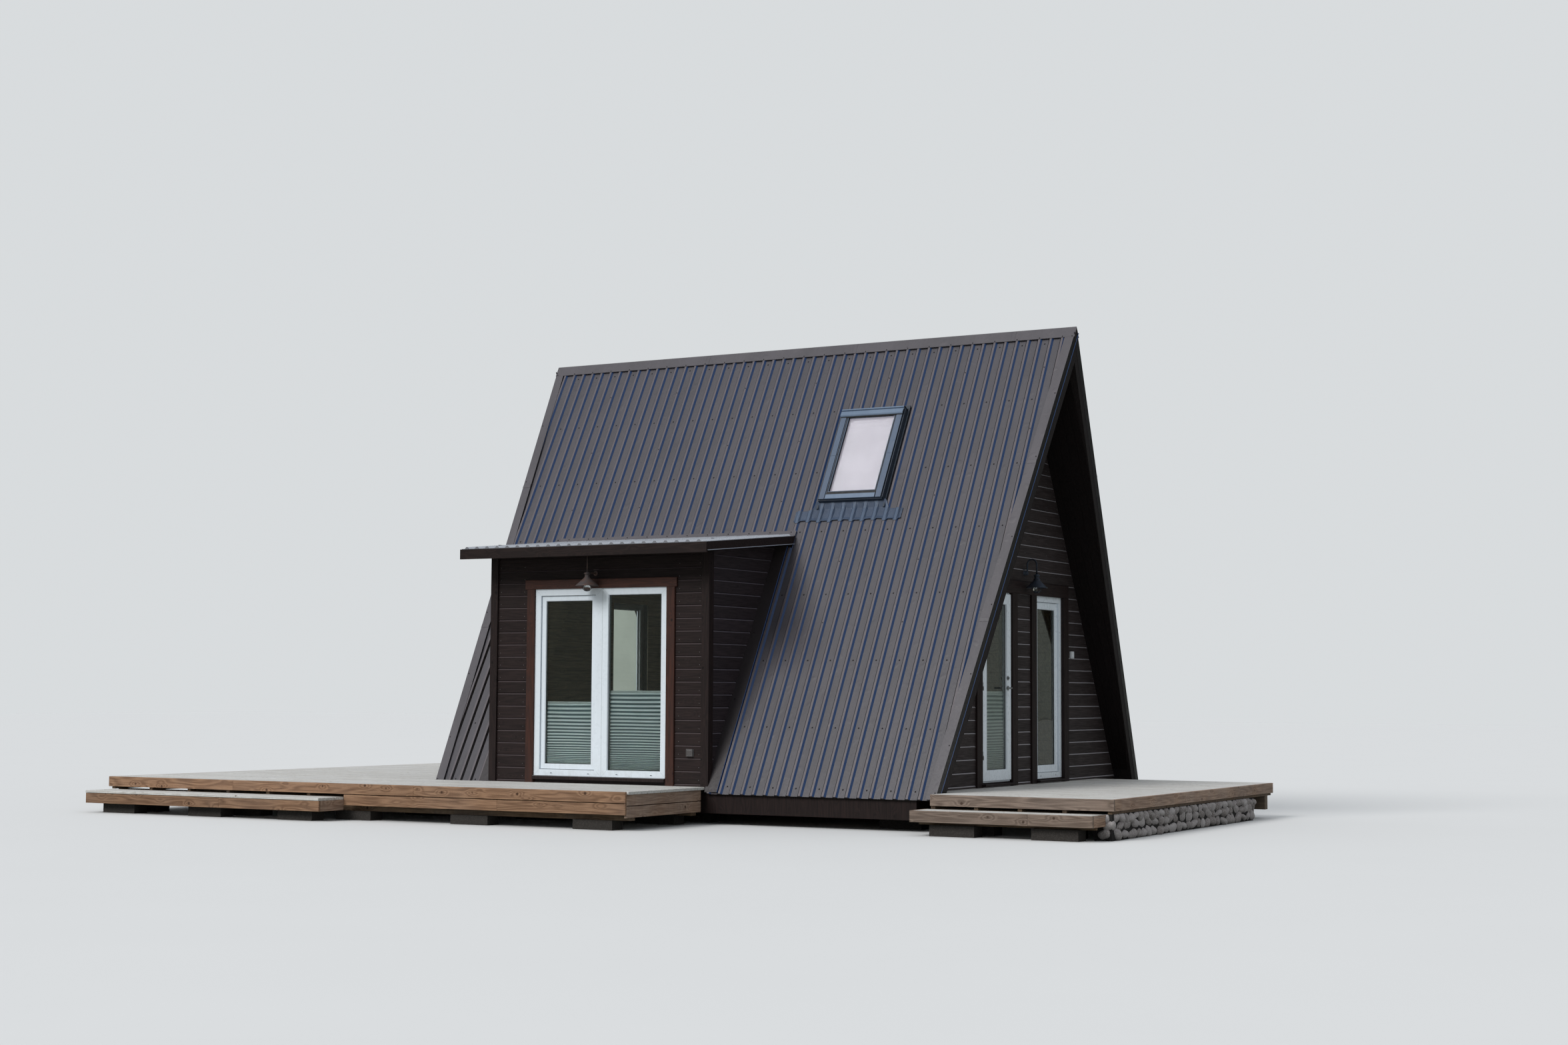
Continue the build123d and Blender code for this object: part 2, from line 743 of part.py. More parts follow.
# Casings round the doorways, one for the bay and one that spans both gable doors
with BuildPart() as gable_casings:
    with BuildSketch(Plane.YZ.offset(gable_face)):
        casing_span = side_right - entrance_left + 2 * gable_casing_width
        with Locations(((entrance_left + side_right) / 2, door_head)):
            Rectangle(casing_span, gable_head_height, align=(Align.CENTER, Align.MIN))
        with Locations(*[(middle, deck_top) for middle in (entrance_door_y, side_door_y)]):
            Rectangle(gable_door_width + 2 * gable_casing_width, door_head - deck_top,
                      align=(Align.CENTER, Align.MIN))
        with Locations(*[(middle, floor_top) for middle in (entrance_door_y, side_door_y)]):
            Rectangle(gable_door_width, door_height, align=(Align.CENTER, Align.MIN),
                      mode=Mode.SUBTRACT)
    extrude(amount=trim_thickness)
    split(bisect_by=slope_plane(slab_depth), keep=Keep.BOTTOM)

with BuildPart() as door_casings:
    with BuildSketch(Plane.XZ.offset(bay_face)):
        casing_height = door_height + bay_sill_height + floor_top - deck_top
        with Locations((bay_door_x, deck_top)):
            Rectangle(bay_door_width + 2 * bay_casing_width, casing_height,
                      align=(Align.CENTER, Align.MIN))
            Rectangle(bay_door_width, casing_height, align=(Align.CENTER, Align.MIN),
                      mode=Mode.SUBTRACT)
        with Locations((bay_door_x, bay_door_head)):
            Rectangle(bay_door_width + 2 * (bay_casing_width + bay_head_ear), bay_head_height,
                      align=(Align.CENTER, Align.MIN))
        with Locations((bay_door_x, deck_top)):
            Rectangle(bay_door_width, bay_door_foot - deck_top, align=(Align.CENTER, Align.MIN))
    extrude(amount=trim_thickness)
    add(gable_casings.part)
place(door_casings.part, "door_casings")

# Bay patio door: a frame with a mullion, a fixed pane and a leaf that opens inwards
bay_frame_front = bay_face + bay_frame_proud
mullion_x = bay_door_x + mullion_offset
bay_light_foot = bay_door_foot + bay_frame_bar
bay_light_head = bay_door_head - bay_frame_bar
leaf_light_left = bay_door_left + bay_frame_bar
leaf_light_right = mullion_x - mullion_width / 2
fixed_light_left = mullion_x + mullion_width / 2
fixed_light_right = bay_door_right - bay_frame_bar
light_height = bay_light_head - bay_light_foot
light_middle = (bay_light_head + bay_light_foot) / 2
with BuildPart() as bay_door_frame:
    with BuildSketch(Plane.XZ.offset(bay_frame_front - frame_depth)):
        with Locations((bay_door_x, bay_door_foot)):
            Rectangle(bay_door_width, door_height, align=(Align.CENTER, Align.MIN))
        with Locations(((leaf_light_left + leaf_light_right) / 2, light_middle)):
            Rectangle(leaf_light_right - leaf_light_left, light_height, mode=Mode.SUBTRACT)
        with Locations(((fixed_light_left + fixed_light_right) / 2, light_middle)):
            Rectangle(fixed_light_right - fixed_light_left, light_height, mode=Mode.SUBTRACT)
    extrude(amount=frame_depth)
place(bay_door_frame.part, "bay_door_frame")

with BuildPart() as bay_fixed_glass:
    with BuildSketch(Plane.XZ.offset(bay_frame_front - frame_depth / 2 - glass_thickness / 2)):
        with Locations(((fixed_light_left + fixed_light_right) / 2, light_middle)):
            Rectangle(fixed_light_right - fixed_light_left, light_height)
    extrude(amount=glass_thickness)
place(bay_fixed_glass.part, "bay_fixed_glass")

bay_leaf_width = leaf_light_right - leaf_light_left - 2 * door_gap
bay_leaf_height = light_height - 2 * door_gap
bay_leaf_x = (leaf_light_left + leaf_light_right) / 2
bay_leaf_back = bay_frame_front - frame_depth
bay_pin_x = leaf_light_left + door_gap / 2
bay_pin_y = -(bay_leaf_back - knuckle_radius - hinge_seat)
bay_hinge_heights = (bay_light_foot + hinge_inset, light_middle, bay_light_head - hinge_inset)
with BuildPart() as bay_leaf:
    with BuildSketch(Plane.XZ.offset(bay_leaf_back)):
        with Locations((bay_leaf_x, light_middle)):
            Rectangle(bay_leaf_width, bay_leaf_height)
            Rectangle(bay_leaf_width - 2 * bay_leaf_bar, bay_leaf_height - 2 * bay_leaf_bar,
                      mode=Mode.SUBTRACT)
    extrude(amount=leaf_thickness)
    with Locations(*[(bay_pin_x, bay_pin_y, z + hinge_seat) for z in bay_hinge_heights]):
        Cylinder(knuckle_radius, knuckle_height, align=(Align.CENTER, Align.CENTER, Align.MIN))
    with Locations(*[(bay_pin_x, -bay_leaf_back, z + hinge_seat) for z in bay_hinge_heights]):
        Box(hinge_plate_reach, hinge_plate, knuckle_height, align=(Align.MIN, Align.MIN, Align.MIN))
    with Locations(*[(bay_pin_x, bay_pin_y, z + hinge_seat) for z in bay_hinge_heights]):
        Cylinder(pin_radius + pin_clearance, knuckle_height,
                 align=(Align.CENTER, Align.CENTER, Align.MIN), mode=Mode.SUBTRACT)
place(bay_leaf.part, "bay_leaf")

with BuildPart() as bay_leaf_glass:
    with BuildSketch(Plane.XZ.offset(bay_leaf_back + leaf_thickness / 2 - glass_thickness / 2)):
        with Locations((bay_leaf_x, light_middle)):
            Rectangle(bay_leaf_width - 2 * bay_leaf_bar, bay_leaf_height - 2 * bay_leaf_bar)
    extrude(amount=glass_thickness)
place(bay_leaf_glass.part, "bay_leaf_glass")


def gable_frame(middle, foot, height, face):
    """Door or window frame in a gable wall, flush with the wall's outer face."""
    with BuildPart() as frame:
        with BuildSketch(Plane.YZ.offset(face)):
            with Locations((middle, foot)):
                Rectangle(gable_door_width, height, align=(Align.CENTER, Align.MIN))
            with Locations((middle, foot + frame_bar)):
                Rectangle(gable_door_width - 2 * frame_bar, height - 2 * frame_bar,
                          align=(Align.CENTER, Align.MIN), mode=Mode.SUBTRACT)
        extrude(amount=-frame_depth if face > 0 else frame_depth)
    return frame.part


place(gable_frame(entrance_door_y, floor_top, door_height, gable_face), "entrance_frame")
place(gable_frame(side_door_y, floor_top, door_height, gable_face), "side_door_frame")
place(gable_frame(side_door_y, rear_sill, rear_window_height, -gable_face), "rear_window_frame")

with BuildPart() as rear_window_glass:
    with BuildSketch(Plane.YZ.offset(-gable_face + frame_depth / 2 - glass_thickness / 2)):
        with Locations((side_door_y, rear_sill + frame_bar)):
            Rectangle(gable_door_width - 2 * frame_bar, rear_window_height - 2 * frame_bar,
                      align=(Align.CENTER, Align.MIN))
    extrude(amount=glass_thickness)
place(rear_window_glass.part, "rear_window_glass")

# Side door leaf, which opens inwards on hinges at its +Y edge
gable_light_foot = floor_top + frame_bar
gable_light_height = door_height - 2 * frame_bar
gable_light_middle = floor_top + door_height / 2
gable_light_width = gable_door_width - 2 * frame_bar
side_leaf_back = gable_face - frame_depth
side_leaf_width = gable_light_width - 2 * door_gap
gable_leaf_height = gable_light_height - 2 * door_gap
side_pin_x = side_leaf_back - knuckle_radius - hinge_seat
side_pin_y = side_right - frame_bar - door_gap / 2
gable_hinge_heights = (
    gable_light_foot + hinge_inset, gable_light_middle,
    gable_light_foot + gable_light_height - hinge_inset,
)
with BuildPart() as side_door_leaf:
    with BuildSketch(Plane.YZ.offset(side_leaf_back)):
        with Locations((side_door_y, gable_light_middle)):
            Rectangle(side_leaf_width, gable_leaf_height)
            Rectangle(side_leaf_width - 2 * side_leaf_bar, gable_leaf_height - 2 * side_leaf_bar,
                      mode=Mode.SUBTRACT)
    extrude(amount=leaf_thickness)
    with Locations(*[(side_pin_x, side_pin_y, z + hinge_seat) for z in gable_hinge_heights]):
        Cylinder(knuckle_radius, knuckle_height, align=(Align.CENTER, Align.CENTER, Align.MIN))
    with Locations(*[(side_leaf_back, side_pin_y, z + hinge_seat) for z in gable_hinge_heights]):
        Box(hinge_plate, hinge_plate_reach, knuckle_height, align=(Align.MAX, Align.MAX, Align.MIN))
    with Locations(*[(side_pin_x, side_pin_y, z + hinge_seat) for z in gable_hinge_heights]):
        Cylinder(pin_radius + pin_clearance, knuckle_height,
                 align=(Align.CENTER, Align.CENTER, Align.MIN), mode=Mode.SUBTRACT)
place(side_door_leaf.part, "side_door_leaf")

with BuildPart() as side_door_glass:
    with BuildSketch(Plane.YZ.offset(side_leaf_back + leaf_thickness / 2 - glass_thickness / 2)):
        with Locations((side_door_y, gable_light_middle)):
            Rectangle(side_leaf_width - 2 * side_leaf_bar, gable_leaf_height - 2 * side_leaf_bar)
    extrude(amount=glass_thickness)
place(side_door_glass.part, "side_door_glass")

# Entrance door leaf, which opens outwards and laps over its frame with a lip
lip_back = gable_face + door_gap
lip_front = lip_back + entrance_lip
lip_width = gable_light_width + 2 * entrance_lip_cover
lip_height = gable_light_height + 2 * entrance_lip_cover
entrance_tongue_width = gable_light_width - 2 * door_gap
entrance_glass_width = entrance_tongue_width - 2 * entrance_leaf_bar
entrance_glass_height = gable_leaf_height - 2 * entrance_leaf_bar
entrance_pin_x = lip_front + knuckle_radius + hinge_seat
entrance_pin_y = entrance_door_y - lip_width / 2 - door_gap
with BuildPart() as entrance_leaf:
    with BuildSketch(Plane.YZ.offset(lip_back)):
        with Locations((entrance_door_y, gable_light_middle)):
            Rectangle(lip_width, lip_height)
    extrude(amount=entrance_lip)
    with BuildSketch(Plane.YZ.offset(lip_back)):
        with Locations((entrance_door_y, gable_light_middle)):
            Rectangle(entrance_tongue_width, gable_leaf_height)
    extrude(amount=-leaf_thickness)
    with BuildSketch(Plane.YZ.offset(lip_front)):
        with Locations((entrance_door_y, gable_light_middle)):
            Rectangle(entrance_glass_width, entrance_glass_height)
    extrude(amount=-leaf_thickness - entrance_lip, mode=Mode.SUBTRACT)
    with Locations(*[(entrance_pin_x, entrance_pin_y, z + hinge_seat) for z in gable_hinge_heights]):
        Cylinder(knuckle_radius, knuckle_height, align=(Align.CENTER, Align.CENTER, Align.MIN))
    with Locations(*[(lip_front, entrance_pin_y, z + hinge_seat) for z in gable_hinge_heights]):
        Box(hinge_plate, hinge_plate_reach, knuckle_height, align=(Align.MIN, Align.MIN, Align.MIN))
    with Locations(*[(entrance_pin_x, entrance_pin_y, z + hinge_seat) for z in gable_hinge_heights]):
        Cylinder(pin_radius + pin_clearance, knuckle_height,
                 align=(Align.CENTER, Align.CENTER, Align.MIN), mode=Mode.SUBTRACT)
place(entrance_leaf.part, "entrance_leaf")

with BuildPart() as entrance_glass:
    with BuildSketch(Plane.YZ.offset(lip_back - leaf_thickness / 2)):
        with Locations((entrance_door_y, gable_light_middle)):
            Rectangle(entrance_glass_width, entrance_glass_height)
    extrude(amount=glass_thickness)
place(entrance_glass.part, "entrance_glass")

# Lever on a rose, inside and out, and the lock cylinder above it
handle_y = entrance_door_y + lip_width / 2 - handle_setback
lever_z = floor_top + lever_height
lock_z = floor_top + lock_height
inner_face = lip_back - leaf_thickness
with BuildPart() as entrance_handle:
    for face, side in ((lip_front, 1), (inner_face, -1)):
        with BuildSketch(Plane.YZ.offset(face)):
            with Locations((handle_y, lever_z)):
                Circle(rose_radius)
            with Locations((handle_y, lock_z)):
                Circle(lock_radius)
        extrude(amount=side * rose_thickness)
        with BuildSketch(Plane.YZ.offset(face)):
            with Locations((handle_y, lever_z)):
                Circle(lever_radius)
        extrude(amount=side * lever_reach)
        with BuildSketch(Plane.XZ.offset(-handle_y)):
            with Locations((face + side * (lever_reach - lever_radius), lever_z)):
                Circle(lever_radius)
        extrude(amount=lever_length)
        with BuildSketch(Plane.YZ.offset(face)):
            with Locations((handle_y, lock_z)):
                Circle(lock_radius / 2)
        extrude(amount=side * lock_depth)
place(entrance_handle.part, "entrance_handle")

# Hinge pins, each with its fixed knuckle and plate, for all three doors
pin_height = 2 * knuckle_height + hinge_seat
with BuildPart() as hinge_pins:
    for x, y, heights in (
        (bay_pin_x, bay_pin_y, bay_hinge_heights),
        (side_pin_x, side_pin_y, gable_hinge_heights),
        (entrance_pin_x, entrance_pin_y, gable_hinge_heights),
    ):
        with Locations(*[(x, y, z - knuckle_height) for z in heights]):
            Cylinder(knuckle_radius, knuckle_height, align=(Align.CENTER, Align.CENTER, Align.MIN))
            Cylinder(pin_radius, pin_height, align=(Align.CENTER, Align.CENTER, Align.MIN))
    with Locations(*[(bay_pin_x, -bay_leaf_back, z - knuckle_height) for z in bay_hinge_heights]):
        Box(hinge_plate_reach, hinge_plate, knuckle_height, align=(Align.MAX, Align.MIN, Align.MIN))
    with Locations(*[(side_leaf_back, side_pin_y, z - knuckle_height) for z in gable_hinge_heights]):
        Box(hinge_plate, hinge_plate_reach, knuckle_height, align=(Align.MAX, Align.MIN, Align.MIN))
    with Locations(*[(gable_face, entrance_pin_y, z - knuckle_height) for z in gable_hinge_heights]):
        Box(entrance_pin_x - gable_face, hinge_plate, knuckle_height,
            align=(Align.MIN, Align.CENTER, Align.MIN))
place(hinge_pins.part, "hinge_pins")

# Deck boards, as one layer on each deck
bay_deck_edge = bay_deck_front - board_thickness
with BuildPart() as bay_deck_boards:
    with BuildSketch(Plane.XY.offset(deck_board_foot)):
        with Locations((bay_deck_start, -bay_deck_edge)):
            Rectangle(bay_deck_right - bay_deck_start, bay_deck_edge - bay_deck_back,
                      align=(Align.MIN, Align.MIN))
        with Locations(((bay_left + bay_right) / 2, -bay_deck_back)):
            Rectangle(bay_right - bay_left, bay_deck_back - bay_face,
                      align=(Align.CENTER, Align.MIN))
    extrude(amount=board_thickness)
place(bay_deck_boards.part, "bay_deck_boards")

roof_foot_y = half_width(deck_top, slab_depth) - deck_clearance
with BuildPart() as rear_deck_boards:
    with BuildSketch(Plane.XY.offset(deck_board_foot)):
        with BuildLine():
            Polyline(
                (bay_deck_start, -bay_deck_back), (-foot_x, -bay_deck_back),
                (-foot_x, -roof_foot_y), (-gable_face, -roof_foot_y), (-gable_face, deck_back),
                (bay_deck_start, deck_back), close=True,
            )
        make_face()
    extrude(amount=board_thickness)
place(rear_deck_boards.part, "rear_deck_boards")

gable_deck_y = gable_deck_front - board_thickness
with BuildPart() as gable_deck_boards:
    with BuildSketch(Plane.XY.offset(deck_board_foot)):
        with BuildLine():
            Polyline(
                (foot_x, -gable_deck_y), (gable_deck_x, -gable_deck_y), (gable_deck_x, deck_back),
                (gable_face, deck_back), (gable_face, -roof_foot_y), (foot_x, -roof_foot_y), close=True,
            )
        make_face()
    extrude(amount=board_thickness)
place(gable_deck_boards.part, "gable_deck_boards")


def joist_places(start, end):
    """Even places for joists between two ends, no further apart than the joist spacing."""
    return even_places(start + joist_width / 2, end - joist_width / 2, joist_spacing)


# Joists across each deck, under its boards
with BuildPart() as deck_joists:
    for x in joist_places(bay_deck_start, bay_deck_stop):
        with Locations((x, -bay_deck_edge, deck_joist_foot)):
            Box(joist_width, bay_deck_edge - bay_joist_back, joist_depth,
                align=(Align.CENTER, Align.MIN, Align.MIN))
    for x in joist_places(bay_deck_start, -foot_x):
        with Locations((x, -bay_joist_back + deck_clearance, deck_joist_foot)):
            Box(joist_width, bay_joist_back - deck_clearance + deck_back, joist_depth,
                align=(Align.CENTER, Align.MIN, Align.MIN))
    for x in joist_places(foot_x, gable_deck_x):
        with Locations((x, -gable_deck_y, deck_joist_foot)):
            Box(joist_width, gable_deck_y + deck_back, joist_depth,
                align=(Align.CENTER, Align.MIN, Align.MIN))
place(deck_joists.part, "deck_joists")

# Bearers on the block piers, under the joists
with BuildPart() as deck_bearers:
    for start, end, y in bearer_rows:
        with Locations((start, y, block_height)):
            Box(end - start, bearer_width, deck_joist_foot - block_height,
                align=(Align.MIN, Align.CENTER, Align.MIN))
place(deck_bearers.part, "deck_bearers")

# Fascia boards round the decks: two rows on the bay deck, one elsewhere, with open corner joints
lower_fascia_top = deck_top - fascia_height - fascia_gap
lower_side_top = deck_board_foot - fascia_height - fascia_gap
fascia_corner = (Align.MIN, Align.MIN, Align.MAX)
bay_side_start = -bay_deck_edge + fascia_joint
gable_side_start = -gable_deck_y + fascia_joint
with BuildPart() as deck_fascias:
    with Locations((bay_deck_left, -bay_deck_front, deck_top)):
        Box(bay_deck_right - bay_deck_left, board_thickness, fascia_height, align=fascia_corner)
    with Locations((bay_deck_left, bay_side_start, deck_top)):
        Box(board_thickness, deck_back - bay_side_start, fascia_height, align=fascia_corner)
    with Locations((bay_step_right, -bay_deck_front, lower_fascia_top)):
        Box(bay_deck_right - bay_step_right, board_thickness, fascia_height, align=fascia_corner)
    with Locations((bay_deck_stop, bay_side_start, deck_board_foot),
                   (bay_deck_stop, bay_side_start, lower_side_top)):
        Box(board_thickness, -bay_joist_back - bay_side_start, fascia_height, align=fascia_corner)
    with Locations((foot_x, -gable_deck_front, deck_top)):
        Box(gable_deck_end - foot_x, board_thickness, fascia_height, align=fascia_corner)
    with Locations((gable_deck_x, gable_side_start, deck_top)):
        Box(board_thickness, deck_back - gable_side_start, fascia_height, align=fascia_corner)
place(deck_fascias.part, "deck_fascias")


def step(left, right, front, back, lap):
    """Step with a board top, a fascia in front and at both ends, and a bearer under its middle."""
    top = deck_top - step_drop
    fascia_top = top - board_thickness if lap else top
    tread_inset = 0 if lap else board_thickness
    with BuildPart() as solid:
        with Locations((left, -front + tread_inset, top)):
            Box(right - left - tread_inset, front - back - tread_inset, board_thickness,
                align=(Align.MIN, Align.MIN, Align.MAX))
        with Locations((left, -front, fascia_top)):
            Box(right - left, board_thickness, fascia_height, align=(Align.MIN, Align.MIN, Align.MAX))
            Box(board_thickness, front - back, fascia_height, align=(Align.MIN, Align.MIN, Align.MAX))
        with Locations((right, -front, fascia_top)):
            Box(board_thickness, front - back, fascia_height, align=(Align.MAX, Align.MIN, Align.MAX))
        with Locations((left, -(front + back) / 2, top - board_thickness)):
            Box(right - left, joist_width, joist_depth, align=(Align.MIN, Align.CENTER, Align.MAX))
    return solid.part


place(step(bay_step_left, bay_step_right, bay_step_front, bay_step_back, True), "bay_step")
place(step(gable_step_left, gable_step_right, gable_step_front, gable_deck_front, False),
      "gable_step")

# Stone plinth under the gable deck's outer edge
with BuildPart() as stone_plinth:
    with Locations((plinth_x, -gable_deck_front, 0)):
        Box(plinth_thickness, gable_deck_front + plinth_end, deck_joist_foot,
            align=(Align.MIN, Align.MIN, Align.MIN))
place(stone_plinth.part, "stone_plinth")


def lamp_shade(rim_radius, neck_radius, height, top):
    """Conical shade with an open mouth, its neck at the given height on the Z axis."""
    with BuildPart() as shade:
        with BuildSketch(Plane.XZ):
            with BuildLine():
                Polyline(
                    (0, top), (neck_radius, top), (neck_radius, top - height / 3),
                    (rim_radius, top - height), (rim_radius - lamp_shade_wall, top - height),
                    (neck_radius - lamp_shade_wall, top - height / 3 - lamp_shade_wall),
                    (neck_radius - lamp_shade_wall, top - lamp_shade_wall),
                    (0, top - lamp_shade_wall), close=True,
                )
            make_face()
        revolve(axis=Axis.Z)
    return shade.part


# Bay lamp: plate, straight arm into the neck of a wide shade, and a rod up to the bay roof
bay_lamp_x = bay_door_x - bay_lamp_offset
bay_lamp_z = bay_door_head + bay_lamp_rise
bay_lamp_y = -(bay_face + bay_lamp_reach)
bay_shade_top = bay_lamp_z + lamp_arm_radius + lamp_shade_wall
bay_rod_length = bay_top_z(-bay_lamp_y) - bay_roof_depth - bay_shade_top
with BuildPart() as bay_lamp:
    with BuildSketch(Plane.XZ.offset(bay_face)):
        with Locations((bay_lamp_x, bay_lamp_z)):
            Circle(lamp_plate_radius)
    extrude(amount=lamp_plate_thickness)
    with BuildSketch(Plane.XZ.offset(bay_face)):
        with Locations((bay_lamp_x, bay_lamp_z)):
            Circle(lamp_arm_radius)
    extrude(amount=bay_lamp_reach - bay_lamp_neck_radius + lamp_shade_wall)
    add(lamp_shade(bay_lamp_rim_radius, bay_lamp_neck_radius, bay_lamp_shade_height,
                   bay_shade_top).moved(Location((bay_lamp_x, bay_lamp_y, 0))))
    with Locations((bay_lamp_x, bay_lamp_y, bay_shade_top)):
        Cylinder(bay_lamp_stem_radius, bay_rod_length, align=(Align.CENTER, Align.CENTER, Align.MIN))
place(bay_lamp.part, "bay_lamp")

# Gable lamp: plate with a boss, gooseneck arm that stands on the boss, and a shade
gable_lamp_x = gable_face + gable_lamp_reach
gable_lamp_y = (entrance_door_y + side_door_y) / 2 + gable_lamp_offset
gable_lamp_z = door_head + gable_lamp_rise
arc_start_x = gable_lamp_x - gable_lamp_leg_gap
arc_start_z = gable_lamp_z + gable_lamp_leg
boss_length = arc_start_x + lamp_arm_radius - gable_face
with BuildPart() as gable_lamp:
    with BuildSketch(Plane.YZ.offset(gable_face)):
        with Locations((gable_lamp_y, gable_lamp_z)):
            Circle(lamp_plate_radius)
    extrude(amount=lamp_plate_thickness)
    with BuildSketch(Plane.YZ.offset(gable_face)):
        with Locations((gable_lamp_y, gable_lamp_z)):
            Circle(gable_lamp_boss_radius)
    extrude(amount=boss_length)
    with BuildLine(Plane.XZ.offset(-gable_lamp_y)):
        Line((arc_start_x, gable_lamp_z), (arc_start_x, arc_start_z))
        ThreePointArc(
            (arc_start_x, arc_start_z),
            (arc_start_x + gable_lamp_leg_gap / 2, arc_start_z + gable_lamp_leg_gap / 2),
            (gable_lamp_x, arc_start_z),
        )
        Line((gable_lamp_x, arc_start_z), (gable_lamp_x, gable_lamp_z - lamp_shade_wall / 2))
    with BuildSketch(Plane(origin=(arc_start_x, gable_lamp_y, gable_lamp_z), z_dir=(0, 0, 1))):
        Circle(lamp_arm_radius)
    sweep()
    add(lamp_shade(gable_lamp_rim_radius, gable_lamp_neck_radius, gable_lamp_shade_height,
                   gable_lamp_z).moved(Location((gable_lamp_x, gable_lamp_y, 0))))
place(gable_lamp.part, "gable_lamp")


def lamp_bulb(x, y, neck_z, rim_z):
    """Bulb on a long holder, from the inside of a shade's neck to just under its rim."""
    bulb_z = rim_z - bulb_rise
    with BuildPart() as bulb:
        with Locations((x, y, neck_z)):
            Cylinder(bulb_neck_radius, neck_z - bulb_z, align=(Align.CENTER, Align.CENTER, Align.MAX))
        with Locations((x, y, bulb_z)):
            Sphere(bulb_radius)
    return bulb.part


with BuildPart() as lamp_bulbs:
    add(lamp_bulb(bay_lamp_x, bay_lamp_y, bay_shade_top - lamp_shade_wall,
                  bay_shade_top - bay_lamp_shade_height))
    add(lamp_bulb(gable_lamp_x, gable_lamp_y, gable_lamp_z - lamp_shade_wall,
                  gable_lamp_z - gable_lamp_shade_height))
place(lamp_bulbs.part, "lamp_bulbs")

# Sockets on the two walls
bay_socket_x = bay_right - bay_socket_inset
bay_socket_z = floor_top + bay_socket_height
gable_socket_y = side_right + gable_casing_width + gable_socket_gap
gable_socket_z = floor_top + gable_socket_height
with BuildPart() as wall_sockets:
    with Locations((bay_socket_x, -bay_face, bay_socket_z)):
        Box(socket_side, socket_depth, socket_side, align=(Align.CENTER, Align.MAX, Align.CENTER))
    with Locations((gable_face, gable_socket_y, gable_socket_z)):
        Box(socket_depth, socket_side, socket_side, align=(Align.MIN, Align.CENTER, Align.CENTER))
place(wall_sockets.part, "wall_sockets")
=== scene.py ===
"""Looks of the a-frame cabin: cladding, decking, flashings, door details, lamps and stones.

Everything is in metres in the model's own frame. The ridge runs along X, the bay is on the -Y side,
the glazed gable faces +X, and the ground is at Z = 0.
"""

import logging
import math
from dataclasses import dataclass
from enum import Enum
from typing import Callable, Mapping, Sequence

import bmesh
import bpy
import numpy as np
from mathutils import Matrix, Vector


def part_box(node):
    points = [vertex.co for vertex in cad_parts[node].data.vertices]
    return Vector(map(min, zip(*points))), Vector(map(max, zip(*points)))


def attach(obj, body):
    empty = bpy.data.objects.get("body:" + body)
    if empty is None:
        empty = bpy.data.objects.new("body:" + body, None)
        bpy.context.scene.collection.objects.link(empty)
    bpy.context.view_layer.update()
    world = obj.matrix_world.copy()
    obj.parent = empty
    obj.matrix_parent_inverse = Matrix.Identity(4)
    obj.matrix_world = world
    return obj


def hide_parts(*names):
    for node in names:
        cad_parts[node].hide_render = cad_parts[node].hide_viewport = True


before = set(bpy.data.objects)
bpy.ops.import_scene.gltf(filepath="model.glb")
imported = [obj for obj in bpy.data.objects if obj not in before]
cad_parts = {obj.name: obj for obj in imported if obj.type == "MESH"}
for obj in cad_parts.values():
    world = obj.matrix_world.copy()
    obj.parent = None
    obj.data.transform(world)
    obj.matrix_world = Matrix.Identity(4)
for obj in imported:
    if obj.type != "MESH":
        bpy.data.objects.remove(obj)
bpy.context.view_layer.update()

LOG = logging.getLogger("cabin")
Colour = tuple[float, float, float]
Spot = tuple[float, float]
Section = Sequence[Spot] | np.ndarray
Numbers = float | np.ndarray
Limit = Callable[[np.ndarray], np.ndarray]
Place = Callable[[Numbers, Numbers, Numbers], np.ndarray]
Node = bpy.types.Node
Socket = bpy.types.NodeSocket
Input = Socket | float | Sequence[float]
FRONT, BACK = -1, 1
SIDES = (FRONT, BACK)
ENDS = (-1, 1)


def linear(red: int, green: int, blue: int) -> Colour:
    """Linear colour of an sRGB colour given in 0 to 255.

    Args:
        red: Red part.
        green: Green part.
        blue: Blue part.

    Returns:
        The three linear parts.
    """
    parts = np.array([red, green, blue]) / 255.0
    return tuple(np.where(parts <= 0.04045, parts / 12.92, ((parts + 0.055) / 1.055) ** 2.4).tolist())


# Layout of the building, read from the solids


def node_box(name: str) -> tuple[np.ndarray, np.ndarray]:
    """Lowest and highest corner of a solid.

    Args:
        name: The solid's name.

    Returns:
        Both corners as arrays.
    """
    low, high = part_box(name)
    return np.array(low), np.array(high)


def node_points(name: str) -> np.ndarray:
    """Points of a solid's mesh, as points x 3."""
    return np.array([vertex.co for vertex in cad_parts[name].data.vertices])


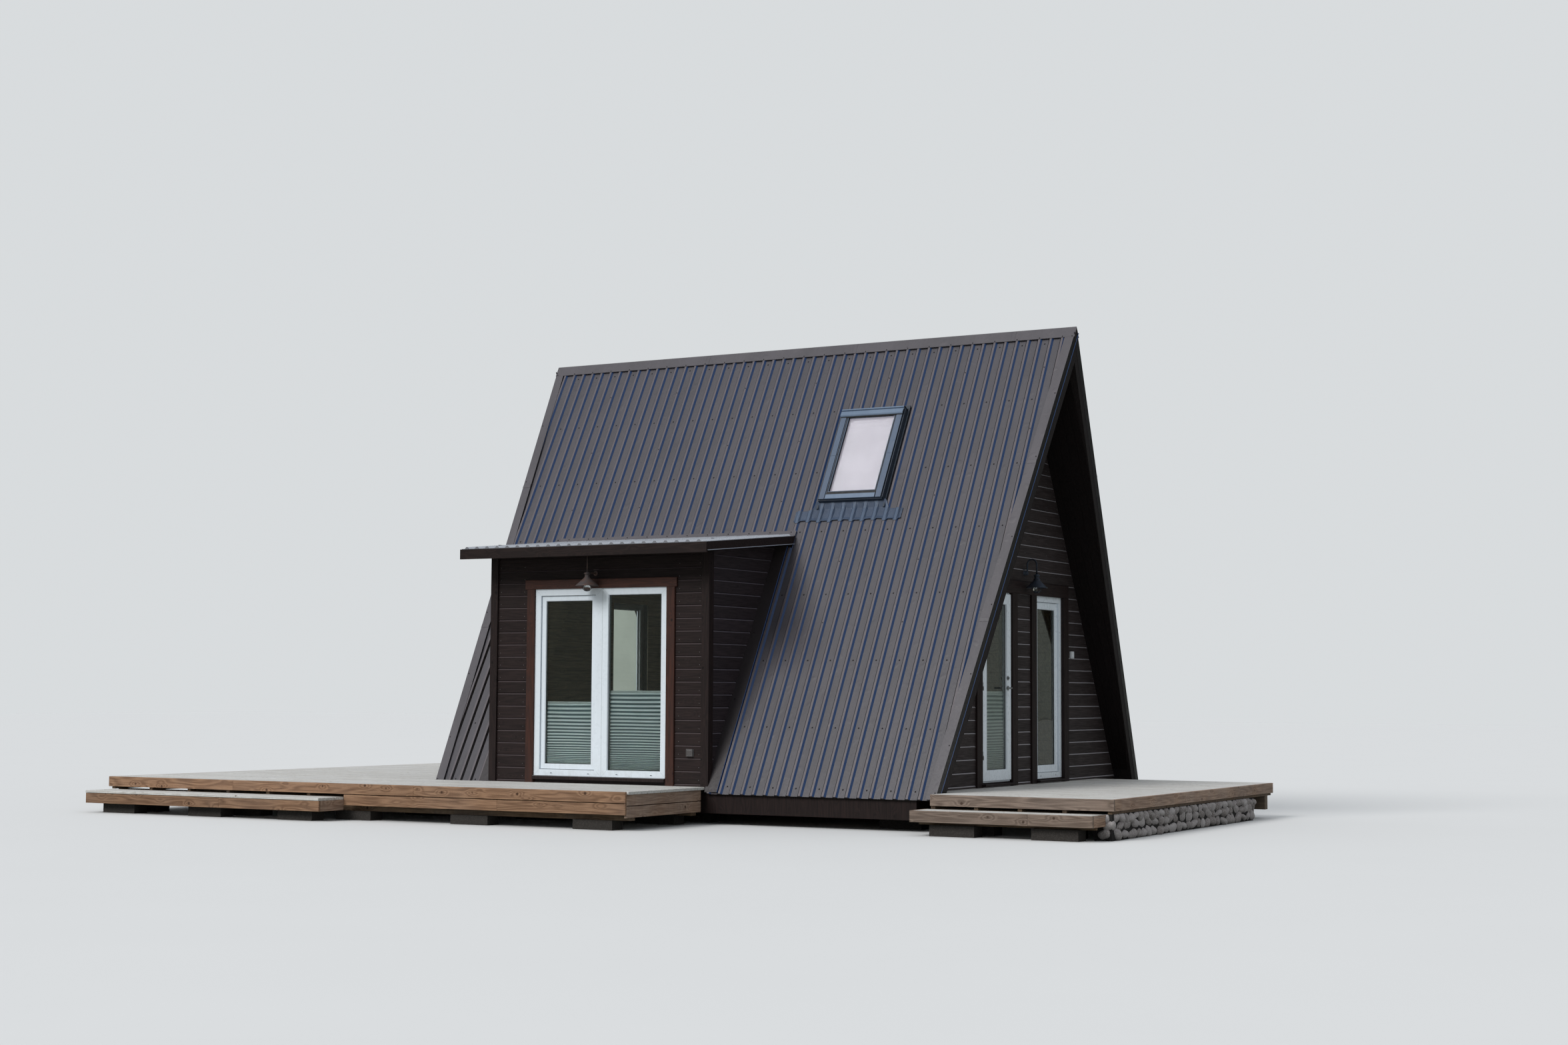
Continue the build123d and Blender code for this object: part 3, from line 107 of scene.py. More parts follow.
@dataclass(frozen=True)
class Roof:
    """The two main slopes, which meet in the ridge line above the X axis."""

    ridge: float = 5.6
    eaves: float = 0.34
    pitch: float = math.radians(60.8)
    half_length: float = 3.58
    rake: float = 0.385
    sheet: float = 0.029
    slab: float = 0.199

    @property
    def length(self) -> float:
        """Distance from the ridge line to a slope's foot, along the slope."""
        return (self.ridge - self.eaves) / math.sin(self.pitch)

    def outward(self, side: int = FRONT) -> tuple[float, float, float]:
        """Direction off the outer face of a side's slope."""
        return 0.0, side * math.sin(self.pitch), math.cos(self.pitch)

    def half_width(self, height: Numbers, depth: float = 0.0) -> Numbers:
        """Distance from the ridge line to a slope, a depth under its outer face.

        Args:
            height: Heights above the ground.
            depth: Depth under the outer face.

        Returns:
            One distance for each height.
        """
        return (self.ridge - height) / math.tan(self.pitch) - depth / math.sin(self.pitch)

    def edge(self, down: Numbers) -> Numbers:
        """Half length of the roof at distances down the slope.

        Args:
            down: Distances from the ridge line, along the slope.

        Returns:
            One half length for each distance.
        """
        return self.half_length - self.rake * down / self.length

    def points(self, along: Numbers, down: Numbers, out: Numbers, side: int = FRONT) -> np.ndarray:
        """Points on a slope: X, the distance down it and the height off its outer face.

        Args:
            along: X of each point.
            down: Distance of each point from the ridge line, along the slope.
            out: Height of each point off the slope's outer face.
            side: FRONT for the slope on the bay's side, BACK for the other.

        Returns:
            The points, with their three coordinates in the last axis.
        """
        along, down, out = np.broadcast_arrays(along, down, out)
        sine, cosine = math.sin(self.pitch), math.cos(self.pitch)
        across = side * (down * cosine + out * sine)
        return np.stack([along, across, self.ridge - down * sine + out * cosine], -1)


@dataclass(frozen=True)
class WallPlane:
    """A vertical wall face: where it stands, the direction along it and the direction out of it."""

    origin: tuple[float, float, float]
    along: tuple[float, float, float]
    outward: tuple[float, float, float]

    def points(self, along: Numbers, out: Numbers, up: Numbers) -> np.ndarray:
        """Points at distances along the wall, out of it and up it.

        Args:
            along: Distance of each point along the wall.
            out: Distance of each point out of the wall.
            up: Height of each point.

        Returns:
            The points, with their three coordinates in the last axis.
        """
        along, out, up = np.broadcast_arrays(along, out, up)
        return (
            np.array(self.origin)
            + along[..., None] * np.array(self.along)
            + out[..., None] * np.array(self.outward)
            + up[..., None] * np.array((0.0, 0.0, 1.0))
        )

    def place(self, along: Numbers, up: Numbers, out: Numbers) -> np.ndarray:
        """Points over the wall: along it, up it and out of it."""
        return self.points(along, out, up)


ROOF = Roof()
BUILDING = "building"
GABLE_FACE = float(node_box("gable_wall_base")[1][0])
BAY_FACE = float(-node_box("bay_wall_left")[0][1])
BAY_LEFT = float(node_box("bay_wall_left")[0][0])
BAY_RIGHT = float(node_box("bay_wall_right")[1][0])
DECK_TOP = float(node_box("bay_deck_boards")[1][2])
RIB_PITCH = 0.14
SCREW_HEIGHT = 0.005
HEXAGON = 6
PLANK_WIDTH = 0.12
PLANK_GAP = 0.005
GABLE_WALL = WallPlane((GABLE_FACE, 0.0, 0.0), (0.0, 1.0, 0.0), (1.0, 0.0, 0.0))
REAR_WALL = WallPlane((-GABLE_FACE, 0.0, 0.0), (0.0, 1.0, 0.0), (-1.0, 0.0, 0.0))
BAY_WALL = WallPlane((0.0, -BAY_FACE, 0.0), (1.0, 0.0, 0.0), (0.0, -1.0, 0.0))


# Mesh forms, each as points and faces


@dataclass
class Form:
    """Points and faces of a mesh, with one tone for each point."""

    points: np.ndarray
    faces: list[list[int]]
    tones: np.ndarray

    @staticmethod
    def join(forms: Sequence["Form"]) -> "Form":
        """One form that holds several.

        Args:
            forms: The forms to join.

        Returns:
            The joined form.
        """
        starts = np.cumsum([0] + [len(form.points) for form in forms[:-1]])
        faces = []
        for form, start in zip(forms, starts.tolist()):
            faces += [[index + start for index in face] for face in form.faces]
        points = np.concatenate([form.points for form in forms])
        return Form(points, faces, np.concatenate([form.tones for form in forms]))


def tone_series(count: int, seed: int) -> np.ndarray:
    """Tones from 0 to 1 for a row of boards or stones, the same on every run.

    Args:
        count: How many tones.
        seed: Start of the series.

    Returns:
        The tones.
    """
    return np.random.default_rng(seed).random(count)


def prisms(starts: np.ndarray, ends: np.ndarray, seed: int = 1) -> Form:
    """Closed boards, each swept straight from its start section to its end section.

    Point k of board b lies at starts[b, k] + t * (ends[b, k] - starts[b, k]), for t at 0 and 1.

    Args:
        starts: Section points at the start of each board, as boards x points x 3.
        ends: Section points at the end of each board.
        seed: Start of the boards' tones.

    Returns:
        The boards' form.
    """
    count, corners = starts.shape[:2]
    points = np.concatenate([starts, ends], 1).reshape(-1, 3)
    base = (np.arange(count) * 2 * corners)[:, None]
    ring = np.arange(corners)
    after = (ring + 1) % corners
    quads = np.stack([ring, after, after + corners, ring + corners], -1)
    sides = (base[:, :, None] + quads[None]).reshape(-1, 4)
    caps = np.concatenate([base + ring[::-1], base + corners + ring])
    tones = np.repeat(tone_series(count, seed), 2 * corners)
    return Form(points, sides.tolist() + caps.tolist(), tones)


def bars(low: Sequence, high: Sequence, axis: int, chamfer: float = 0.003, seed: int = 1) -> Form:
    """Straight bars with chamfered long edges, each between two corners.

    The section is a rectangle whose corners are cut by the chamfer, an octagon across the axis.

    Args:
        low: Lowest corner of each bar, as bars x 3, or of the one bar.
        high: Highest corner of each bar.
        axis: 0, 1 or 2, the axis that the bars run along.
        chamfer: Width of the cut at each long edge.
        seed: Start of the bars' tones.

    Returns:
        The bars' form.
    """
    low, high = np.atleast_2d(low).astype(float), np.atleast_2d(high).astype(float)
    first, second = [index for index in range(3) if index != axis]
    a0, a1, b0, b1 = low[:, first], high[:, first], low[:, second], high[:, second]
    a0_cut, a1_cut, b0_cut, b1_cut = a0 + chamfer, a1 - chamfer, b0 + chamfer, b1 - chamfer
    ring_a = np.stack([a0_cut, a1_cut, a1, a1, a1_cut, a0_cut, a0, a0], -1)
    ring_b = np.stack([b0, b0, b0_cut, b1_cut, b1, b1, b1_cut, b0_cut], -1)
    starts = np.zeros((len(low), 8, 3))
    starts[..., first], starts[..., second] = ring_a, ring_b
    ends = starts.copy()
    starts[..., axis], ends[..., axis] = low[:, axis, None], high[:, axis, None]
    return prisms(starts, ends, seed)


def surface(points: np.ndarray, close_u: bool = False, close_v: bool = False) -> Form:
    """Quads over a grid of points.

    Args:
        points: The grid, as rows x columns x 3.
        close_u: Whether the last row joins the first.
        close_v: Whether the last column joins the first.

    Returns:
        The surface's form.
    """
    rows, columns = points.shape[:2]
    row = np.arange(rows if close_u else rows - 1)[:, None]
    column = np.arange(columns if close_v else columns - 1)[None, :]
    next_row, next_column = (row + 1) % rows, (column + 1) % columns
    corners = [(row, column), (row, next_column), (next_row, next_column), (next_row, column)]
    quads = np.stack([down * columns + across for down, across in corners], -1).reshape(-1, 4)
    return Form(points.reshape(-1, 3), quads.tolist(), np.zeros(rows * columns))


def lathe(profile: Section, centre: Sequence[float], turns: int = 48) -> Form:
    """Surface of revolution about a vertical line.

    A point of radius r and height z turns through the angle a: (r cos a, r sin a, z).

    Args:
        profile: Radius and height of each point from end to end.
        centre: The line's place, and the height that the profile is measured from.
        turns: Points round the line.

    Returns:
        The surface's form.
    """
    radius, height = np.array(profile, float).T
    angle = np.linspace(0, 2 * math.pi, turns, endpoint=False)[:, None]
    points = [
        centre[0] + radius * np.cos(angle),
        centre[1] + radius * np.sin(angle),
        centre[2] + np.tile(height, (turns, 1)),
    ]
    return surface(np.stack(points, -1), close_u=True)


def tube(path: Sequence, radius: float, sides: int = 12) -> Form:
    """Round tube along a path in one plane, closed at both ends.

    Each ring lies across the path's direction, on two unit vectors n and b: c + r (n cos a + b sin a).

    Args:
        path: Points of the path.
        radius: The tube's radius.
        sides: Points round the tube.

    Returns:
        The tube's form.
    """
    path = np.asarray(path, float)
    tangent = np.gradient(path, axis=0)
    tangent /= np.linalg.norm(tangent, axis=1, keepdims=True)
    spread = np.ptp(tangent, axis=0)
    helper = np.zeros(3)
    helper[int(np.argmin(spread + np.abs(tangent).mean(0)))] = 1.0
    normal = np.cross(tangent, helper)
    normal /= np.linalg.norm(normal, axis=1, keepdims=True)
    binormal = np.cross(tangent, normal)
    angle = np.linspace(0, 2 * math.pi, sides, endpoint=False)[None, :, None]
    rings = path[:, None] + radius * (normal[:, None] * np.cos(angle) + binormal[:, None] * np.sin(angle))
    form = surface(rings, close_v=True)
    last = (len(path) - 1) * sides
    form.faces += [list(range(sides))[::-1], [last + index for index in range(sides)]]
    return form


def studs(centres: np.ndarray, out: Sequence[float], radius: float, height: float, sides: int = 8) -> Form:
    """Domed heads of screws or nails, all facing one way.

    Each head is two rings, the upper one smaller by the taper: c + r (u cos a + v sin a) + h * out.

    Args:
        centres: Centre of each head's foot.
        out: Direction that the heads face.
        radius: Radius of the foot.
        height: Height of the head.
        sides: Points round each head.

    Returns:
        The heads' form.
    """
    taper, tone_seed = 0.72, 5
    out_vector = np.array(out, float) / np.linalg.norm(out)
    helper = np.array((1.0, 0.0, 0.0)) if abs(out_vector[0]) < 0.7 else np.array((0.0, 1.0, 0.0))
    first = np.cross(out_vector, helper)
    first /= np.linalg.norm(first)
    second = np.cross(out_vector, first)
    angle = np.linspace(0, 2 * math.pi, sides, endpoint=False)[:, None]
    circle = first * np.cos(angle) + second * np.sin(angle)
    foot = circle * radius
    top = foot * taper + out_vector * height
    return prisms(centres[:, None] + foot[None], centres[:, None] + top[None], tone_seed)


def mitred_ring(place: Place, low: Spot, high: Spot, profile: Section) -> Form:
    """Moulding round a rectangle with mitred corners.

    A profile point lies an inset i inside the rectangle and a height h off its plane, so its four
    corners are the rectangle's corners moved inwards by i along both sides.

    Args:
        place: Turns the two coordinates in the plane and the height off it into points.
        low: Lower left corner of the rectangle.
        high: Its upper right corner.
        profile: Inset and height of each point of the closed section.

    Returns:
        The moulding's form.
    """
    inset, height = np.array(profile, float).T
    left, right, foot, head = low[0] + inset, high[0] - inset, low[1] + inset, high[1] - inset
    u, v = np.stack([left, right, right, left]), np.stack([foot, foot, head, head])
    return surface(place(u, v, height), close_u=True, close_v=True)


# Node graphs and the effects that several finishes share


class NodeGraph:
    """Adds nodes to one node tree and joins them as they are made."""

    def __init__(self, tree: bpy.types.NodeTree) -> None:
        """Keeps the tree."""
        self.tree = tree

    def feed(self, node: Node, inputs: Mapping[str | int, Input]) -> None:
        """Joins inputs of a node to their sources, or gives them their values.

        Args:
            node: The node.
            inputs: Value or source socket of each input, by name or number.
        """
        for key, value in inputs.items():
            if isinstance(value, Socket):
                self.tree.links.new(value, node.inputs[key])
            else:
                node.inputs[key].default_value = value

    def add(self, kind: str, inputs: Mapping[str | int, Input] | None = None, **settings) -> Node:
        """Adds a shader node.

        Args:
            kind: The node's type without its prefix.
            inputs: Value or source socket of each input, by name or number.
            settings: The node's own settings.

        Returns:
            The node.
        """
        node = self.tree.nodes.new("ShaderNode" + kind)
        for key, value in settings.items():
            setattr(node, key, value)
        self.feed(node, inputs or {})
        return node

    def group(self, name: str, inputs: Mapping[str, Input]) -> Mapping[str, Socket]:
        """Adds one of the shared effects.

        Args:
            name: The node group's name.
            inputs: Value or source socket of each input.

        Returns:
            The group's output sockets, by name.
        """
        return self.add("Group", inputs, node_tree=bpy.data.node_groups[name]).outputs

    def math(self, operation: str, first: Input, second: Input = 0.0) -> Socket:
        """Adds a Math node and returns its value.

        Args:
            operation: The operation's name.
            first: First value or socket.
            second: Second value or socket.

        Returns:
            The value's socket.
        """
        return self.add("Math", {0: first, 1: second}, operation=operation).outputs[0]

    def times(self, first: Input, second: Input) -> Socket:
        """Product of two values."""
        return self.math("MULTIPLY", first, second)

    def plus(self, first: Input, second: Input) -> Socket:
        """Sum of two values."""
        return self.math("ADD", first, second)

    def parts(self, vector: Socket) -> Sequence[Socket]:
        """The three coordinates of a vector."""
        return self.add("SeparateXYZ", {0: vector}).outputs

    def facing(self, axis: int) -> Socket:
        """How far the surface faces along an axis, from -1 to 1."""
        return self.parts(self.add("NewGeometry").outputs["True Normal"])[axis]

    def scaled(self, vector: Socket, scale: Sequence[float]) -> Socket:
        """Coordinates stretched by a factor for each axis."""
        return self.add("VectorMath", {0: vector, 1: tuple(scale)}, operation="MULTIPLY").outputs[0]

    def dimmed(self, colour: Socket, share: Input) -> Socket:
        """Colour times a share of its light."""
        return self.add("VectorMath", {0: colour, 3: share}, operation="SCALE").outputs[0]

    def own_tone(self, tone: Socket) -> Socket:
        """Value from 0 to 1 that a board or stone has for itself."""
        return self.add("TexWhiteNoise", {"W": tone}, noise_dimensions="1D").outputs["Value"]

    def noise(self, vector: Socket, scale: Input, detail: float = 3.0) -> Socket:
        """Adds soft noise from 0 to 1.

        Args:
            vector: The coordinates.
            scale: Features in a metre.
            detail: Octaves of finer noise.

        Returns:
            The noise.
        """
        return self.add("TexNoise", {"Vector": vector, "Scale": scale, "Detail": detail}).outputs[0]

    def stretched_noise(self, vector: Socket, scale: Sequence[float], detail: float = 3.0) -> Socket:
        """Soft noise with its own number of features in a metre along each axis."""
        return self.noise(self.scaled(vector, scale), 1.0, detail)

    def remap(
        self, value: Socket, low: float, high: float, to_low: float = 0.0, to_high: float = 1.0
    ) -> Socket:
        """Maps a value from one range to another, smoothly and within its ends.

        Args:
            value: The value's socket.
            low: Value that maps to the low end.
            high: Value that maps to the high end.
            to_low: Low end.
            to_high: High end.

        Returns:
            The mapped value.
        """
        ends = {0: value, 1: low, 2: high, 3: to_low, 4: to_high}
        return self.add("MapRange", ends, interpolation_type="SMOOTHSTEP").outputs[0]

    def mix(self, factor: Socket, first: Socket | Colour, second: Socket | Colour) -> Socket:
        """Mixes two colours.

        Args:
            factor: Share of the second colour.
            first: First colour or socket.
            second: Second colour or socket.

        Returns:
            The mixed colour.
        """
        start, end = [value if isinstance(value, Socket) else (*value, 1.0) for value in (first, second)]
        return self.add("Mix", {0: factor, 6: start, 7: end}, data_type="RGBA").outputs[2]

    def bump(self, height: Socket, strength: float, distance: float, normal: Socket | None = None) -> Socket:
        """Turns a height into a normal.

        Args:
            height: The height's socket.
            strength: Share of the relief that shows.
            distance: Depth of the relief.
            normal: Normal to build on.

        Returns:
            The normal.
        """
        inputs = {"Height": height, "Strength": strength, "Distance": distance}
        if normal is not None:
            inputs["Normal"] = normal
        return self.add("Bump", inputs).outputs[0]


class Effect:
    """A node group that takes coordinates and gives several masks or heights."""

    def __init__(self, name: str, given: Sequence[str], results: Sequence[str]) -> None:
        """Starts the group.

        Args:
            name: The group's name.
            given: Names of its inputs besides the coordinates.
            results: Names of its outputs.
        """
        tree = bpy.data.node_groups.new(name, "ShaderNodeTree")
        tree.interface.new_socket("Vector", in_out="INPUT", socket_type="NodeSocketVector")
        for label in given:
            tree.interface.new_socket(label, in_out="INPUT", socket_type="NodeSocketFloat")
        for label in results:
            tree.interface.new_socket(label, in_out="OUTPUT", socket_type="NodeSocketFloat")
        self.graph = NodeGraph(tree)
        self.given = tree.nodes.new("NodeGroupInput").outputs
        self.end = tree.nodes.new("NodeGroupOutput")

    def give(self, **results: Socket) -> None:
        """Joins the group's outputs to their values, by name."""
        self.graph.feed(self.end, results)


class SharedEffects:
    """The node groups that the finishes use."""

    def build(self) -> None:
        """Builds every group."""
        self.wood_grain()
        self.weathering()
        self.sheet_ripple()
        self.speckle()
        self.indoors()

    def wood_grain(self) -> None:
        """Growth rings, fibres and knots, with the grain along the first coordinate.

        Each cell of a stretched cell pattern holds one knot. The rings are a sine of a slow noise and
        swirl round the cells' middles, and each board's tone shifts the pattern along and across.
        """
        effect = Effect("wood_grain", ["Tone"], ["Rings", "Fibres", "Knots", "Height"])
        graph, tone = effect.graph, effect.given["Tone"]
        stretch = (3.4, 8.0, 8.0)
        knot_edge = (0.014, 0.028)
        ring_count = 62.0
        shift = graph.add("CombineXYZ", {0: graph.times(tone, 41.0), 2: graph.times(tone, 7.0)}).outputs[0]
        moved = graph.add("VectorMath", {0: effect.given["Vector"], 1: shift}, operation="ADD").outputs[0]
        stretched = graph.scaled(moved, stretch)
        cells = graph.add("TexVoronoi", {"Vector": stretched, "Scale": 1.0, "Randomness": 0.95}).outputs
        offset = graph.add(
            "VectorMath", {0: stretched, 1: cells["Position"]}, operation="SUBTRACT"
        ).outputs[0]
        offset = graph.scaled(offset, [1 / factor for factor in stretch])
        reach = graph.add("VectorMath", {0: offset}, operation="LENGTH").outputs["Value"]
        ragged = graph.times(graph.stretched_noise(moved, (60.0, 110.0, 110.0), 2.0), 0.012)
        knots = graph.remap(graph.plus(reach, ragged), *knot_edge, 1.0, 0.0)
        swirl = graph.remap(cells["Distance"], 0.0, 0.42, 0.22, 0.0)
        wander = graph.stretched_noise(moved, (0.7, 7.5, 7.5), 2.0)
        phase = graph.times(graph.plus(wander, swirl), ring_count)
        rings = graph.plus(graph.times(graph.math("SINE", phase), 0.5), 0.5)
        fibres = graph.stretched_noise(moved, (4.0, 150.0, 150.0))
        height = graph.plus(graph.times(rings, 0.45), graph.times(fibres, 0.55))
        effect.give(Rings=rings, Fibres=fibres, Knots=knots, Height=height)

    def weathering(self) -> None:
        """Broad patches, vertical streaks and a damp foot near the ground."""
        effect = Effect("weathering", [], ["Patches", "Streaks", "Foot"])
        graph, vector = effect.graph, effect.given["Vector"]
        patches = graph.remap(graph.noise(vector, 1.7, 4.0), 0.35, 0.68)
        streaks = graph.remap(graph.stretched_noise(vector, (26.0, 26.0, 0.9)), 0.42, 0.72)
        height = graph.parts(vector)[2]
        foot = graph.remap(graph.plus(height, graph.times(patches, 0.12)), 0.35, 0.85, 1.0, 0.0)
        effect.give(Patches=patches, Streaks=streaks, Foot=foot)

    def sheet_ripple(self) -> None:
        """Slow waves and small dents of thin sheet metal."""
        effect = Effect("sheet_ripple", [], ["Height", "Blotch"])
        graph, vector = effect.graph, effect.given["Vector"]
        waves = graph.stretched_noise(vector, (5.5, 1.1, 1.1), 1.0)
        dents = graph.remap(graph.noise(vector, 9.0, 1.0), 0.6, 0.8)
        height = graph.plus(waves, graph.times(dents, 0.35))
        blotch = graph.remap(graph.stretched_noise(vector, (3.1, 1.3, 1.3)), 0.3, 0.72)
        effect.give(Height=height, Blotch=blotch)

    def speckle(self) -> None:
        """Grains of stone, concrete or cast metal, and a rough height."""
        effect = Effect("speckle", ["Scale"], ["Grains", "Cloud", "Height"])
        graph, vector, scale = effect.graph, effect.given["Vector"], effect.given["Scale"]
        fine = graph.noise(vector, scale, 4.0)
        grains = graph.remap(fine, 0.46, 0.62)
        cloud = graph.noise(vector, graph.times(scale, 0.12), 5.0)
        effect.give(Grains=grains, Cloud=cloud, Height=graph.plus(fine, cloud))

    def indoors(self) -> None:
        """Mask of the faces that look into the rooms.

        A face looks inwards where its normal points to the middle of the room and it lies between the
        gable walls, behind the bay's front wall and above the floor's underside.
        """
        effect = Effect("indoors", [], ["Mask"])
        graph, vector = effect.graph, effect.given["Vector"]
        middle, gable_wall, bay_wall, floor_level = (0.0, 0.0, 1.6), 0.14, 0.09, 0.44
        normal = graph.add("NewGeometry").outputs["True Normal"]
        reach = graph.add("VectorMath", {0: vector, 1: middle}, operation="SUBTRACT").outputs[0]
        turned = graph.add("VectorMath", {0: normal, 1: reach}, operation="DOT_PRODUCT").outputs["Value"]
        inward = graph.math("LESS_THAN", turned, 0.0)
        along, across, height = graph.parts(vector)
        between = graph.math("LESS_THAN", graph.math("ABSOLUTE", along), GABLE_FACE - gable_wall)
        behind = graph.math("GREATER_THAN", across, -BAY_FACE + bay_wall)
        above = graph.math("GREATER_THAN", height, floor_level)
        effect.give(Mask=graph.times(graph.times(inward, between), graph.times(behind, above)))


# Finishes


class Grain(Enum):
    """Direction of a board's grain: factors that put it on the first coordinate."""

    ALONG_X = (0, 1, 2)
    ALONG_Y = (1, 0, 2)
    ALONG_Z = (2, 0, 1)


MATERIALS: dict[str, bpy.types.Material] = {}


@dataclass(frozen=True)
class Finish:
    """A surface finish, built once as a material."""

    name: str

    def material(self) -> bpy.types.Material:
        """Gives the finish's material, and builds it when it is first asked for.

        Returns:
            The material.
        """
        if self.name in MATERIALS:
            return MATERIALS[self.name]
        material = bpy.data.materials.new(self.name)
        MATERIALS[self.name] = material
        material.use_nodes = True
        material.node_tree.nodes.clear()
        graph = NodeGraph(material.node_tree)
        shader = graph.add("BsdfPrincipled")
        graph.add("OutputMaterial", {0: shader.outputs[0]})
        place = graph.add("TexCoord").outputs["Object"]
        tone = graph.add("Attribute", attribute_name="tone").outputs["Fac"]
        self.paint(graph, shader, place, tone)
        return material

    def paint(self, graph: NodeGraph, shader: Node, place: Socket, tone: Socket) -> None:
        """Joins the finish's nodes to its shader. Each finish has its own way.

        Args:
            graph: The material's graph.
            shader: The shader.
            place: Coordinates on the object.
            tone: The piece's own tone.
        """
        raise NotImplementedError


@dataclass(frozen=True)
class Timber(Finish):
    """Sawn or stained wood: its light and dark parts, its knots and its grain."""

    light: Colour = (0.5, 0.5, 0.5)
    dark: Colour = (0.2, 0.2, 0.2)
    knot: Colour = (0.1, 0.1, 0.1)
    grain: Grain = Grain.ALONG_X
    rough: float = 0.6
    knots: float = 0.9
    contrast: float = 0.5
    relief: float = 0.0012
    spread: float = 0.3
    greyed: float = 0.2
    sheen: float = 0.3
    inner: Colour | None = None
    # Colour of the faces that look up, the boards' chamfers: painted highlight.
    edge: Colour | None = None

    def paint(self, graph: NodeGraph, shader: Node, place: Socket, tone: Socket) -> None:
        """Mixes rings, fibres, knots and weather over the wood's two colours.

        Args:
            graph: The material's graph.
            shader: The shader.
            place: Coordinates on the object.
            tone: The board's own tone.
        """
        parts = graph.parts(place)
        turned = {index: parts[axis] for index, axis in enumerate(self.grain.value)}
        along_grain = graph.add("CombineXYZ", turned).outputs[0]
        wood = graph.group("wood_grain", {"Vector": along_grain, "Tone": tone})
        weather = graph.group("weathering", {"Vector": place})
        rings = graph.times(wood["Rings"], self.contrast)
        fibres = graph.times(graph.remap(wood["Fibres"], 0.35, 0.65), 1.0 - self.contrast)
        share = graph.plus(rings, fibres)
        shade = graph.plus(graph.times(graph.own_tone(tone), self.spread), 1.0 - self.spread / 2)
        colour = graph.dimmed(graph.mix(share, self.light, self.dark), shade)
        grey = tuple(0.25 * sum(self.light) + 0.15 * part for part in self.light)
        colour = graph.mix(graph.times(weather["Patches"], self.greyed), colour, grey)
        colour = graph.mix(graph.times(weather["Streaks"], self.greyed * 0.7), colour, self.dark)
        colour = graph.mix(graph.times(wood["Knots"], self.knots), colour, self.knot)
        # Painted highlight on the faces that look up.
        if self.edge is not None:
            colour = graph.mix(graph.remap(graph.facing(2), 0.3, 0.5, 0.0, 0.85), colour, self.edge)
        if self.inner is not None:
            colour = self.paint_inside(graph, colour, place, share)
        rough = graph.remap(wood["Fibres"], 0.2, 0.8, self.rough - 0.08, self.rough + 0.12)
        normal = graph.bump(wood["Height"], 0.6, self.relief)
        shader.inputs["Base Color"].default_value = (*self.light, 1.0)
        shader.inputs["Specular IOR Level"].default_value = self.sheen
        graph.feed(shader, {"Base Color": colour, "Roughness": rough, "Normal": normal})

    def paint_inside(self, graph: NodeGraph, colour: Socket, place: Socket, share: Socket) -> Socket:
        """Pale boards on the faces that look into the rooms, with a dark line at each joint.

        Args:
            graph: The material's graph.
            colour: Colour of the other faces.
            place: Coordinates on the object.
            share: Share of the wood's dark part.

        Returns:
            The colour of all faces.
        """
        half_board = 0.06
        mask = graph.group("indoors", {"Vector": place})["Mask"]
        from_joint = graph.math("PINGPONG", graph.parts(place)[2], half_board)
        line = graph.remap(from_joint, 0.0, 0.003, 0.45, 1.0)
        pale = graph.dimmed(graph.mix(graph.times(share, 0.4), self.inner, self.light), line)
        return graph.mix(mask, colour, pale)


